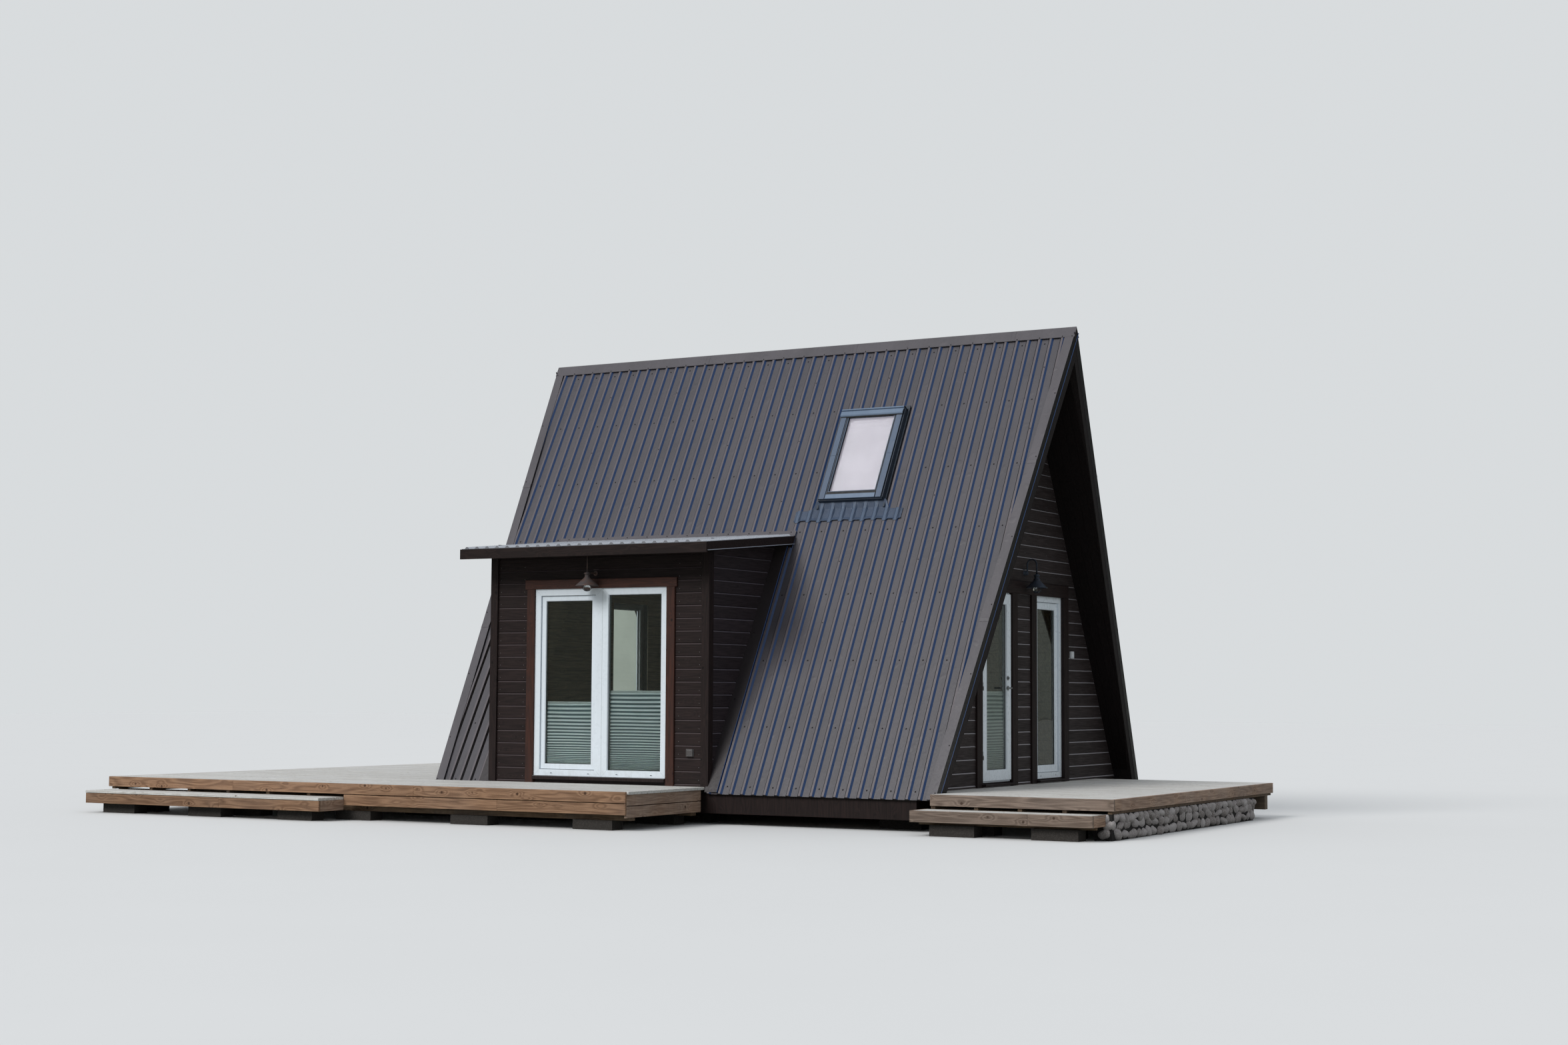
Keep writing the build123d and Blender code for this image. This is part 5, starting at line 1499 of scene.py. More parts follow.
@dataclass
class Walls:
    """Cladding of the gables, the bay and its cheeks, the soffits and the nail heads."""

    gable_pitch: float = 0.1415
    gable_joint: float = 2.839
    gable_top: float = 5.18
    bay_pitch: float = 0.1388
    bay_joint: float = 0.429
    casing: float = 0.148
    bay_casing: float = 0.108
    head_ear: float = 0.025
    corner_board: float = 0.055
    on_board: float = 0.0178

    def __post_init__(self) -> None:
        """Reads the doorways from the frames."""
        entrance_low, entrance_high = node_box("entrance_frame")
        side_low, side_high = node_box("side_door_frame")
        bay_low, bay_high = node_box("bay_door_frame")
        self.entrance = (entrance_low[1] - self.casing, entrance_high[1] + self.casing)
        self.side = (side_low[1] - self.casing, side_high[1] + self.casing)
        self.door_head = entrance_high[2]
        self.casing_top = self.door_head + 0.145
        self.bay_door = (bay_low[0] - self.bay_casing, bay_high[0] + self.bay_casing)
        self.bay_head = bay_high[2]
        self.bay_head_top = bay_high[2] + 0.105

    def build(self) -> None:
        """Builds every wall's boards."""
        self.gable_boards()
        self.rear_boards()
        self.bay_boards()
        self.cheek_boards()
        self.casings()
        self.soffits()
        self.nails()

    def casings(self) -> None:
        """Boards round the doors: dark on the gable, red-brown round the bay's door."""
        depth, cut = 0.04, 0.004
        near, far = GABLE_FACE, GABLE_FACE + depth
        posts = (self.entrance[0], self.entrance[1] - self.casing, self.side[0], self.side[1] - self.casing)
        lows = [(near, post, DECK_TOP) for post in posts]
        highs = [(far, post + self.casing, self.door_head) for post in posts]
        gable = make_piece("gable_door_casings", bars(lows, highs, 2, cut, 41), DARK_TRIM_Z)
        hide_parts("door_casings")
        low, high = (near, self.entrance[0], self.door_head), (far, self.side[1], self.casing_top)
        make_piece("gable_door_head", bars(low, high, 1, cut, 43), DARK_TRIM_Y)
        near, far = -BAY_FACE - depth, -BAY_FACE
        left, right = self.bay_door
        posts = (left, right - self.bay_casing)
        lows = [(post, near, DECK_TOP) for post in posts]
        highs = [(post + self.bay_casing, far, self.bay_head) for post in posts]
        make_piece("bay_door_casings", bars(lows, highs, 2, cut, 45), TRIM_Z)
        low = (left - self.head_ear, near, self.bay_head)
        high = (right + self.head_ear, far, self.bay_head_top)
        make_piece("bay_door_head", bars(low, high, 0, cut, 47), TRIM_X)

    def gable_boards(self) -> None:
        """Boards of the entrance gable, beside, between and over its doors."""
        left, right = sloped(FRONT, ROOF.slab), sloped(BACK, ROOF.slab)
        regions = [
            Region(DECK_TOP, self.casing_top, left, fixed(self.entrance[0])),
            Region(DECK_TOP, self.door_head, fixed(self.entrance[1]), fixed(self.side[0])),
            Region(DECK_TOP, self.casing_top, fixed(self.side[1]), right),
            Region(self.casing_top, self.gable_top, left, right),
        ]
        Cladding(GABLE_WALL, WALL_Y, self.gable_joint, self.gable_pitch).build("gable_cladding", regions)

    def rear_boards(self) -> None:
        """Boards of the rear gable, round its window, and the window's casing."""
        wide, over, under = 0.09, 0.09, 0.07
        frame_low, frame_high = node_box("rear_window_frame")
        low = (frame_low[1] - wide, frame_low[2] - under)
        high = (frame_high[1] + wide, frame_high[2] + over)
        left, right = sloped(FRONT, ROOF.slab), sloped(BACK, ROOF.slab)
        regions = [
            Region(DECK_TOP, low[1], left, right),
            Region(low[1], high[1], left, fixed(low[0])),
            Region(low[1], high[1], fixed(high[0]), right),
            Region(high[1], self.gable_top, left, right),
        ]
        Cladding(REAR_WALL, WALL_Y, self.gable_joint, self.gable_pitch).build("rear_cladding", regions)
        section = [(0, 0), (0, 0.028), (0.005, 0.032), (wide - 0.005, 0.032), (wide, 0.028), (wide, 0)]
        make_piece(
            "rear_window_casing", mitred_ring(REAR_WALL.place, low, high, section), TRIM_Z
        )

    def bay_boards(self) -> None:
        """Boards of the bay's front, beside and over its door."""
        left, right = fixed(BAY_LEFT + self.corner_board), fixed(BAY_RIGHT - self.corner_board)
        top = float(node_box("bay_wall_left")[1][2]) - 0.01
        door_left, door_right = self.bay_door
        regions = [
            Region(DECK_TOP, self.bay_head, left, fixed(door_left)),
            Region(DECK_TOP, self.bay_head, fixed(door_right), right),
            Region(self.bay_head, self.bay_head_top, left, fixed(door_left - self.head_ear)),
            Region(self.bay_head, self.bay_head_top, fixed(door_right + self.head_ear), right),
            Region(self.bay_head_top, top, left, right),
        ]
        Cladding(BAY_WALL, WALL_X, self.bay_joint, self.bay_pitch).build("bay_cladding", regions)

    def cheek_boards(self) -> None:
        """Boards of the bay's two ends, cut to the slope behind and the roof above."""
        foot, top = 0.5, float(node_box("bay_cheeks")[1][2]) - 0.02
        region = Region(foot, top, fixed(-BAY_FACE + self.corner_board), sloped(FRONT, 0.002))
        for name, place, outward in (("left", BAY_LEFT, -1.0), ("right", BAY_RIGHT, 1.0)):
            wall = WallPlane((place, 0.0, 0.0), (0.0, 1.0, 0.0), (outward, 0.0, 0.0))
            cladding = Cladding(wall, CHEEK_Y, self.bay_joint, self.bay_pitch, 0.016)
            cladding.build("bay_cheek_cladding_" + name, [region])

    def soffits(self) -> None:
        """Boards under the roof's gable overhangs, running down the slope to its raked edge."""
        width, gap, count, depth, cut = 0.098, 0.004, 6, 0.010, 0.003
        under_ridge, over_foot, least_reach = 0.42, 0.30, 0.6
        across = np.array([0.0, 0.0, cut, width - cut, width, width])
        out = -ROOF.slab - np.array([0.0, depth - cut, depth, depth, depth - cut, 0.0])
        forms = []
        for side in SIDES:
            for end in ENDS:
                starts, ends = [], []
                for board in range(count):
                    along = GABLE_FACE + board * (width + gap) + across
                    reach = (ROOF.half_length - 0.006 - along) / ROOF.rake * ROOF.length
                    low = np.minimum(reach, ROOF.length - over_foot)
                    if low.min() >= least_reach:
                        starts.append(ROOF.points(end * along, under_ridge, out, side))
                        ends.append(ROOF.points(end * along, low, out, side))
                forms.append(prisms(np.array(starts), np.array(ends), 31 + side + 2 * end))
        make_piece("soffit_boards", Form.join(forms), SOFFIT)

    def nails(self) -> None:
        """Nail heads at the boards' ends and over the studs of the gable, and on the bay's front."""
        spots = self.gable_nails()
        front = GABLE_WALL.place(spots[:, 0], spots[:, 1], self.on_board)
        rear = REAR_WALL.place(spots[:, 0], spots[:, 1], self.on_board)
        rear = rear[rear[:, 2] > self.casing_top]
        rows = self.bay_joint + np.arange(0, 19) * self.bay_pitch + 0.04
        from_corner, from_door = 0.09, 0.05
        columns = (
            BAY_LEFT + from_corner, self.bay_door[0] - from_door, self.bay_door[1] + from_door,
            BAY_RIGHT - from_corner,
        )
        along, up = [grid.ravel() for grid in np.meshgrid(columns, rows, indexing="ij")]
        forms = [
            studs(front, GABLE_WALL.outward, 0.0042, 0.0012),
            studs(rear, REAR_WALL.outward, 0.0042, 0.0012),
            studs(BAY_WALL.place(along, up, self.on_board), BAY_WALL.outward, 0.0036, 0.001),
        ]
        make_piece("nail_heads", Form.join(forms), NAIL)

    def gable_nails(self) -> np.ndarray:
        """Places of the nails on a gable: near the slopes, and over the studs above the doors.

        Returns:
            Distance along the wall and height of each nail.
        """
        stud_columns = (-0.1, 0.527, 1.15, -0.72)
        from_slope, least_width = 0.05, 0.12
        rows = self.gable_joint + np.arange(-16, 15) * self.gable_pitch + 0.045
        edge = ROOF.half_width(rows, ROOF.slab)
        spots = [
            np.stack([column, rows], -1)[edge > least_width]
            for column in (edge - from_slope, from_slope - edge)
        ]
        for column in stud_columns:
            on_stud = (edge > abs(column) + least_width) & (rows > self.casing_top)
            spots.append(np.stack([np.full_like(rows, column), rows], -1)[on_stud])
        flat = np.concatenate(spots)
        above = flat[:, 1] >= self.casing_top
        clear = (flat[:, 0] < self.entrance[0] - 0.02) | (flat[:, 0] > self.side[1] + 0.02)
        return flat[(above | clear) & (flat[:, 1] > DECK_TOP + 0.03)]


class RoofDetails:
    """Screws, laps, hems and drip edges of the metal roof."""

    def __init__(self) -> None:
        """Finds where the bay's roof meets the slope."""
        self.bay_low, self.bay_high = node_box("bay_roof")
        self.bay_meet = (ROOF.ridge - float(self.bay_high[2])) / math.sin(ROOF.pitch)
        self.bay_end = self.bay_meet - 0.07

    def build(self) -> None:
        """Builds the roof's details."""
        self.screws()
        self.cap_details()
        self.barge_details()
        self.cheek_flashings()
        self.bay_apron()
        self.drip_edges()

    def covered(self, along: np.ndarray, down: np.ndarray, clearance: float) -> np.ndarray:
        """Tells which places of the front slope the bay's roof or the roof window covers.

        Args:
            along: X of each place.
            down: Distance of each place from the ridge line.
            clearance: Distance kept above the bay's roof.

        Returns:
            Whether each place is covered.
        """
        beside_left, beside_right = 0.2, 0.25
        window_left, window_right, window_top, window_foot = 0.72, 1.84, 0.9, 2.6
        in_bay = (along > BAY_LEFT - beside_left) & (along < BAY_RIGHT + beside_right)
        in_bay &= down > self.bay_end - clearance
        in_window = (
            (along > window_left) & (along < window_right) & (down > window_top) & (down < window_foot)
        )
        return in_bay | in_window

    def screws(self) -> None:
        """Screws in every second valley of both slopes, and on some ribs of the front one.

        They stand in rows down the slope, clear of what cuts the sheet. Each valley screw is a washer
        and a hexagonal head.
        """
        valley, crown = 0.0048 - ROOF.sheet, 0.0248 - ROOF.sheet
        rows = (0.2, 0.98, 1.85, 2.675, 3.52, 4.37, 5.2, 5.93)
        columns = 0.42 + 2 * RIB_PITCH * np.arange(-14, 12)
        down, along = [grid.ravel() for grid in np.meshgrid(rows, columns, indexing="ij")]
        forms = []
        for side in SIDES:
            keep = np.abs(along) < ROOF.edge(down) - 0.14
            if side == FRONT:
                keep &= ~self.covered(along, down, 0.03)
            places = ROOF.points(along[keep], down[keep], valley, side)
            forms.append(studs(places, ROOF.outward(side), 0.0105, 0.0016, 12))
            forms.append(studs(places, ROOF.outward(side), 0.0068, 0.0062, HEXAGON))
        rows = (0.55, 1.4, 2.25, 3.1, 3.9)
        columns = 0.35 + 7 * RIB_PITCH * np.arange(-4, 4)
        down, along = [grid.ravel() for grid in np.meshgrid(rows, columns, indexing="ij")]
        keep = (np.abs(along) < ROOF.edge(down) - 0.2) & ~self.covered(along, down, 0.1)
        forms.append(slope_screws(along[keep], down[keep], crown))
        make_piece("roof_screws", Form.join(forms), SCREW_DARK)

    def cap_details(self) -> None:
        """Laps and screws of the ridge cap, and its folded lower hem."""
        laps, cap_width, proud, inset = (-1.34, 0.72, 2.78), 0.138, 0.0015, 0.001
        hem = [(0.134, -0.004), (0.1385, 0.0008), (0.1405, -0.0008), (0.1405, -0.0055)]
        columns = 0.35 + 2 * RIB_PITCH * np.arange(-13, 12)
        forms, heads = [], []
        for side in SIDES:
            for lap in laps:
                section = [(lap, 0.0), (lap + 0.02, proud), (lap + 0.06, proud), (lap + 0.06, 0.0)]
                forms.append(down_slope(section, 0.003, cap_width, side))
            forms.append(across_slope(hem, -ROOF.half_length + inset, ROOF.half_length - inset, side))
            heads.append(slope_screws(columns, 0.125, 0.0, side))
        make_piece("ridge_cap_laps", Form.join(forms), CAP_COAT)
        make_piece("ridge_cap_screws", Form.join(heads), SCREW_DARK)

    def barge_details(self) -> None:
        """Laps, screws and hems of the barge flashings: blue-grey at the front, a painted sky reflection, and
        with the drops' painted shade at the back.
        """
        lap_rows = (1.83, 3.86)
        screw_rows = np.array([0.13, 0.93, 1.79, 2.84, 3.7, 4.55, 5.4, 5.95])
        hem = [(0.0006, -0.093), (0.0006, -0.081), (-0.004, -0.081), (-0.010, -0.086), (-0.010, -0.0945)]
        shift, out = np.array(hem).T
        laps, heads, hems = [], [], {FRONT: [], BACK: []}
        for side in SIDES:
            for end in ENDS:
                for down in lap_rows:
                    edge = float(ROOF.edge(down)) * end
                    section = [(down, 0.0), (down + 0.004, 0.0035), (down + 0.05, 0.0025), (down + 0.05, 0.0)]
                    laps.append(across_slope(section, edge - end * 0.002, edge - end * 0.108, side))
                along = end * (ROOF.edge(screw_rows) - 0.022)
                heads.append(slope_screws(along, screw_rows, 0.0, side, 0.008))
                rings = [
                    ROOF.points(end * (ROOF.edge(down) + shift), down + start, out, side)
                    for down, start in ((0.0, 0.03), (ROOF.length, 0.0))
                ]
                hems[side].append(prisms(rings[0][None], rings[1][None]))
        make_piece("barge_laps", Form.join(laps), CAP_COAT)
        make_piece("barge_screws", Form.join(heads), SCREW_DARK)
        make_piece("front_barge_hems", Form.join(hems[FRONT]), HEM_SKY_REFLECTION)
        make_piece("back_barge_hems", Form.join(hems[BACK]), DROP_COAT)

    def cheek_flashings(self) -> None:
        """Flat flashings on the slope beside the bay's two cheeks, with their outer edges folded down."""
        width, fold, sheet, gap = 0.158, 0.017, 0.0025, 0.012
        crown = ROOF.sheet - 0.025
        across = np.array([0.0, 0.0, width - 0.002, width, width, width - sheet, width - sheet])
        out = np.array([0.0, sheet, sheet, sheet - 0.002, -fold, -fold, 0.0]) - crown
        start, end = self.bay_end + 0.20, ROOF.length - 0.012
        rows = np.arange(start + 0.3, end, 0.85)
        forms, heads = [], []
        for cheek, outward in ((BAY_RIGHT, 1), (BAY_LEFT, -1)):
            section = np.stack([cheek + outward * (gap + across), out], -1)
            forms.append(down_slope(section, start, end))
            heads.append(slope_screws(cheek + outward * 0.06, rows, sheet - crown))
        make_piece("cheek_flashings", Form.join(forms), FLASHING_COAT)
        make_piece("cheek_flashing_screws", Form.join(heads), SCREW_DARK)

    def bay_apron(self) -> None:
        """Apron where the bay's roof meets the slope, and its screws."""
        left, right, meet = float(self.bay_low[0]), float(self.bay_high[0]), self.bay_meet
        section = [
            (meet - 0.075, -0.0035), (meet - 0.075, -0.001), (meet - 0.004, 0.001), (meet - 0.004, -0.0035)
        ]
        apron = across_slope(section, left - 0.012, right + 0.012)
        make_piece("bay_back_apron", apron, CAP_COAT)
        columns = np.arange(left + 0.1, right, 2 * RIB_PITCH)
        heads = slope_screws(columns, meet - 0.055, -0.0002)
        make_piece("bay_apron_screws", heads, SCREW_DARK)

    def drip_edges(self) -> None:
        """Drip edges along the two ends of the bay's roof, at its slope of 5.3 degrees."""
        low, high = node_box("bay_fascias")
        rise, width, height = math.tan(math.radians(5.3)), 0.016, 0.006
        front, back = float(low[1]) + 0.024, float(self.bay_low[1]) + 1.93
        foot = float(low[2]) + 0.112 - 0.088 - 0.003
        corners = np.array([(0.0, 0.0), (width, 0.0), (width, height), (0.0, height)])
        forms = []
        for left in (float(low[0]) - 0.003, float(high[0]) - 0.013):
            rings = [
                np.stack([left + corners[:, 0], np.full(4, y), foot + (y - front) * rise + corners[:, 1]], -1)
                for y in (front, back)
            ]
            forms.append(prisms(rings[0][None], rings[1][None]))
        make_piece("bay_drip_edges", Form.join(forms), DRIP_COAT)


@dataclass(frozen=True)
class RoofWindow:
    """Covers, gaskets, pleated apron and blind of the roof window."""

    centre_x: float = 1.28
    half_width: float = 0.4
    top: float = 1.03
    bottom: float = 2.29
    bar: float = 0.095
    proud: float = 0.07

    @property
    def left(self) -> float:
        """X of the frame's left side."""
        return self.centre_x - self.half_width

    @property
    def right(self) -> float:
        """X of the frame's right side."""
        return self.centre_x + self.half_width

    def build(self) -> None:
        """Builds the window's details."""
        self.covers()
        self.hood()
        self.sides()
        self.gaskets()
        self.apron()
        self.flashing()
        self.blind()

    def strip(self, across: Spot, down: Spot, heights: Spot, chamfer: float = 0.004) -> Form:
        """Cover strip with chamfered upper edges.

        Args:
            across: X of its two sides.
            down: Distance of its two ends from the ridge line.
            heights: Height of its foot and its top off the slope.
            chamfer: Width of the cut at its upper edges.

        Returns:
            The strip's form.
        """
        (left, right), (low, high) = across, heights
        shoulder = high - chamfer
        section = [
            (left, low), (left, shoulder), (left + chamfer, high), (right - chamfer, high), (right, shoulder),
            (right, low),
        ]
        return down_slope(section, *down)

    def covers(self) -> None:
        """Side covers in two lengths."""
        width, joint = self.bar - 0.02, 1.69
        heights = (self.proud, self.proud + 0.007)
        forms = [
            self.strip(sides, ends, heights)
            for sides in ((self.left, self.left + width), (self.right - width, self.right))
            for ends in ((self.top + 0.11, joint), (joint + 0.0025, self.bottom + 0.004))
        ]
        make_piece("roof_window_covers", Form.join(forms), CLADDING_COAT)

    def hood(self) -> None:
        """Foot cover and the head's stepped hood."""
        inset, ear = self.bar - 0.02 + 0.004, 0.004
        foot = self.strip(
            (self.left + inset, self.right - inset), (self.bottom - 0.054, self.bottom + 0.004),
            (self.proud, self.proud + 0.010),
        )
        steps = np.array([
            (0.0, 0.0), (-0.004, 0.052), (0.010, 0.088), (0.030, 0.094), (0.034, 0.078), (0.046, 0.078),
            (0.050, 0.092), (0.100, 0.096), (0.114, 0.088), (0.116, 0.03),
        ])
        head = across_slope(steps + (self.top, 0.0), self.left - ear, self.right + ear)
        make_piece("roof_window_hood", Form.join([foot, head]), HOOD_COAT)

    def sides(self) -> None:
        """Dark sheets up the outer sides of the frame."""
        gap, width, ends = 0.002, 0.016, (self.top + 0.03, self.bottom)
        forms = [
            self.strip((self.right + gap, self.right + width), ends, (0.0, 0.062)),
            self.strip((self.left - width, self.left - gap), ends, (0.0, 0.062)),
            self.strip(
                (self.left - 0.01, self.right + 0.01),
                (self.bottom + 0.001, self.bottom + 0.015),
                (0.0, 0.055),
            ),
        ]
        make_piece("roof_window_sides", Form.join(forms), DARK_COVER)

    def gaskets(self) -> None:
        """Dark seals beside the covers, strips that are partly seal and partly painted shadow in the gaps
        under the hood and over the foot cover, and the bright bead round the pane.
        """
        low = (self.left + self.bar, self.top + self.bar)
        high = (self.right - self.bar, self.bottom - self.bar)
        grow = 0.012
        seal = [(0, 0.066), (0, 0.0735), (0.009, 0.0735), (0.009, 0.066)]
        seals = [
            mitred_ring(ROOF.points, (low[0] - grow, low[1] - grow), (high[0] + grow, high[1] + grow), seal),
            # Dark strips under the hood and over the foot cover: partly seal, partly painted shadow of the
            # gaps.
            self.strip(
                (self.left + 0.004, self.right - 0.004),
                (self.top + 0.114, self.top + 0.124),
                (0.06, 0.081),
                0.001,
            ),
            self.strip(
                (self.left + 0.079, self.right - 0.079),
                (self.bottom - 0.080, self.bottom - 0.056),
                (0.06, 0.0735),
                0.001,
            ),
        ]
        make_piece("roof_window_seal", Form.join(seals), GASKET_AND_SHADE)
        bead = [(0, 0.0525), (0, 0.069), (0.008, 0.069), (0.017, 0.0535)]
        make_piece(
            "roof_window_bead", mitred_ring(ROOF.points, low, high, bead), CLADDING_COAT
        )

    def apron(self) -> None:
        """Soft metal apron and side flashings, which follow the ribs and end in a wavy edge.

        The sheet stands 16 mm under the ribs' level over the pans and on top of each rib's crown, with a
        smooth step between, plus a fine pleat of 1 mm every 13 mm. It rises to the frame at its head, and
        over the pans its foot curls up into a 9 mm lip.
        """
        across = np.linspace(-0.70, 0.67, 700)
        steps = np.linspace(0.0, 1.0, 40)[:, None]
        x = self.centre_x + across
        off_rib = np.abs((x / RIB_PITCH) % 1.0 - 0.5) * RIB_PITCH
        step_up = np.clip((0.036 - off_rib) / 0.020, 0.0, 1.0)
        rib = step_up**2 * (3 - 2 * step_up)
        pleats = np.sin(2 * math.pi * x / 0.013 + 14 * steps)
        shoulder = 1.0 / (1.0 + np.exp(-(np.abs(across) - 0.47) / 0.012))
        top = self.bottom - 0.01 + 0.115 * shoulder
        end = self.bottom + 0.244 + 0.030 * rib + 0.006 * np.sin(2 * math.pi * x / 0.43)
        down = top + (end - top) * steps
        settle = np.clip((down - self.bottom) / 0.09, 0.0, 1.0)
        lip = 0.009 * np.clip((steps - 0.86) / 0.14, 0.0, 1.0) * (1.0 - rib)
        out = 0.018 * (1 - settle) + 0.0005 + settle * (0.016 * rib - 0.0165) + 0.0011 * pleats + lip
        form = surface(ROOF.points(x, down, out))
        piece = make_piece("roof_window_apron", form, APRON_LEAD, smooth=True)
        thicken(piece, 0.0025)
        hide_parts("skylight_flashing")

    def flashing(self) -> None:
        """Flat dark flashings beside and above the frame."""
        near, far = 0.016, 0.036
        head, foot = self.top - 0.05, self.bottom + 0.09
        forms = [
            self.strip((self.left - far, self.left - near), (head, foot), (-0.008, 0.004), 0.001),
            self.strip((self.right + near, self.right + far), (head, foot), (-0.008, 0.004), 0.001),
            self.strip((self.left - far, self.right + far), (head, self.top - 0.002), (-0.006, 0.006), 0.001),
        ]
        make_piece("roof_window_flashing", Form.join(forms), DARK_COVER)

    def blind(self) -> None:
        """Blind under the pane: a flat cloth with two soft folds near its head."""
        gap = 0.002
        half = self.half_width - self.bar - gap
        x = self.centre_x + np.linspace(-half, half, 24)
        down = np.linspace(self.top + self.bar + gap, self.bottom - self.bar - gap, 120)[:, None]
        from_top = down - self.top
        folds = 0.005 * np.exp(-(((from_top - 0.17) / 0.012) ** 2))
        folds += 0.004 * np.exp(-(((from_top - 0.235) / 0.009) ** 2))
        out = 0.0185 + folds + 0.0012 * np.sin(2 * math.pi * x / 0.21)
        form = surface(ROOF.points(x, down, out))
        piece = make_piece("roof_window_blind", form, ROOF_BLIND, smooth=True)
        thicken(piece, 0.0015)


@dataclass(frozen=True)
class Blind:
    """A pleated blind behind a pane: its top, its distance out of the wall and its folds' depth."""

    top: float
    out: float
    pleat: float


@dataclass(frozen=True)
class DoorLight:
    """One glazed light of a door or window, by its opening in its frame or leaf."""

    name: str
    holder: str
    body: str
    wall: WallPlane
    low: Spot
    high: Spot
    glass_out: float
    face_out: float
    blind: Blind | None = None

    def build(self) -> None:
        """Builds the bead, the gasket and the blind."""
        glass, face = self.glass_out, self.face_out
        bead = [
            (-0.002, glass + 0.001), (-0.002, face - 0.003), (0.001, face - 0.004), (0.005, glass + 0.007),
            (0.006, glass + 0.003), (0.006, glass + 0.001),
        ]
        gasket = [
            (0.006, glass + 0.0005), (0.006, glass + 0.004), (0.008, glass + 0.005), (0.011, glass + 0.0005)
        ]
        for label, section, finish in (("_bead", bead, PVC), ("_gasket", gasket, GASKET_AND_SHADE)):
            ring = mitred_ring(self.wall.place, self.low, self.high, section)
            make_piece(self.name + label, ring, finish, self.body)
        if self.blind is not None:
            self.hang(self.blind)

    def hang(self, blind: Blind) -> None:
        """Pleated blind: a zigzag of folds, tight at the foot, under a slim rail.

        The fold count runs from 0 to n up the blind, the height follows it with closer folds at the
        foot, and the depth is the pleat times the triangle wave of the fold count.

        Args:
            blind: The blind's measures.
        """
        side_gap, columns, fold_height = 0.008, 8, 0.029
        half = (self.high[0] - self.low[0]) / 2 - side_gap
        height = blind.top - self.low[1] - 0.004
        step = np.linspace(0.0, 1.0, 2 * int(height / fold_height) + 1)
        up = self.low[1] + 0.002 + height * (0.36 * step + 0.64 * step**2)
        depth = np.where(np.arange(len(step)) % 2 == 0, -0.5, 0.5) * blind.pleat
        along = (self.low[0] + self.high[0]) / 2 + np.linspace(-half, half, columns)
        sway = 0.0012 * np.sin(7.0 * along + 9.0 * step[:, None])
        form = surface(self.wall.place(along, up[:, None] + sway, (blind.out + depth)[:, None]))
        piece = make_piece(self.name + "_blind", form, BLIND, self.body)
        thicken(piece, 0.0008)
        rail_up = blind.top + np.array([0.0, 0.0, 0.016, 0.016])
        rail_out = blind.out + np.array([-0.005, 0.005, 0.005, -0.005])
        starts, ends = [self.wall.place(end, rail_up, rail_out)[None] for end in (along[0], along[-1])]
        bar = make_piece(self.name + "_blind_rail", prisms(starts, ends), BLIND_BAR, self.body)


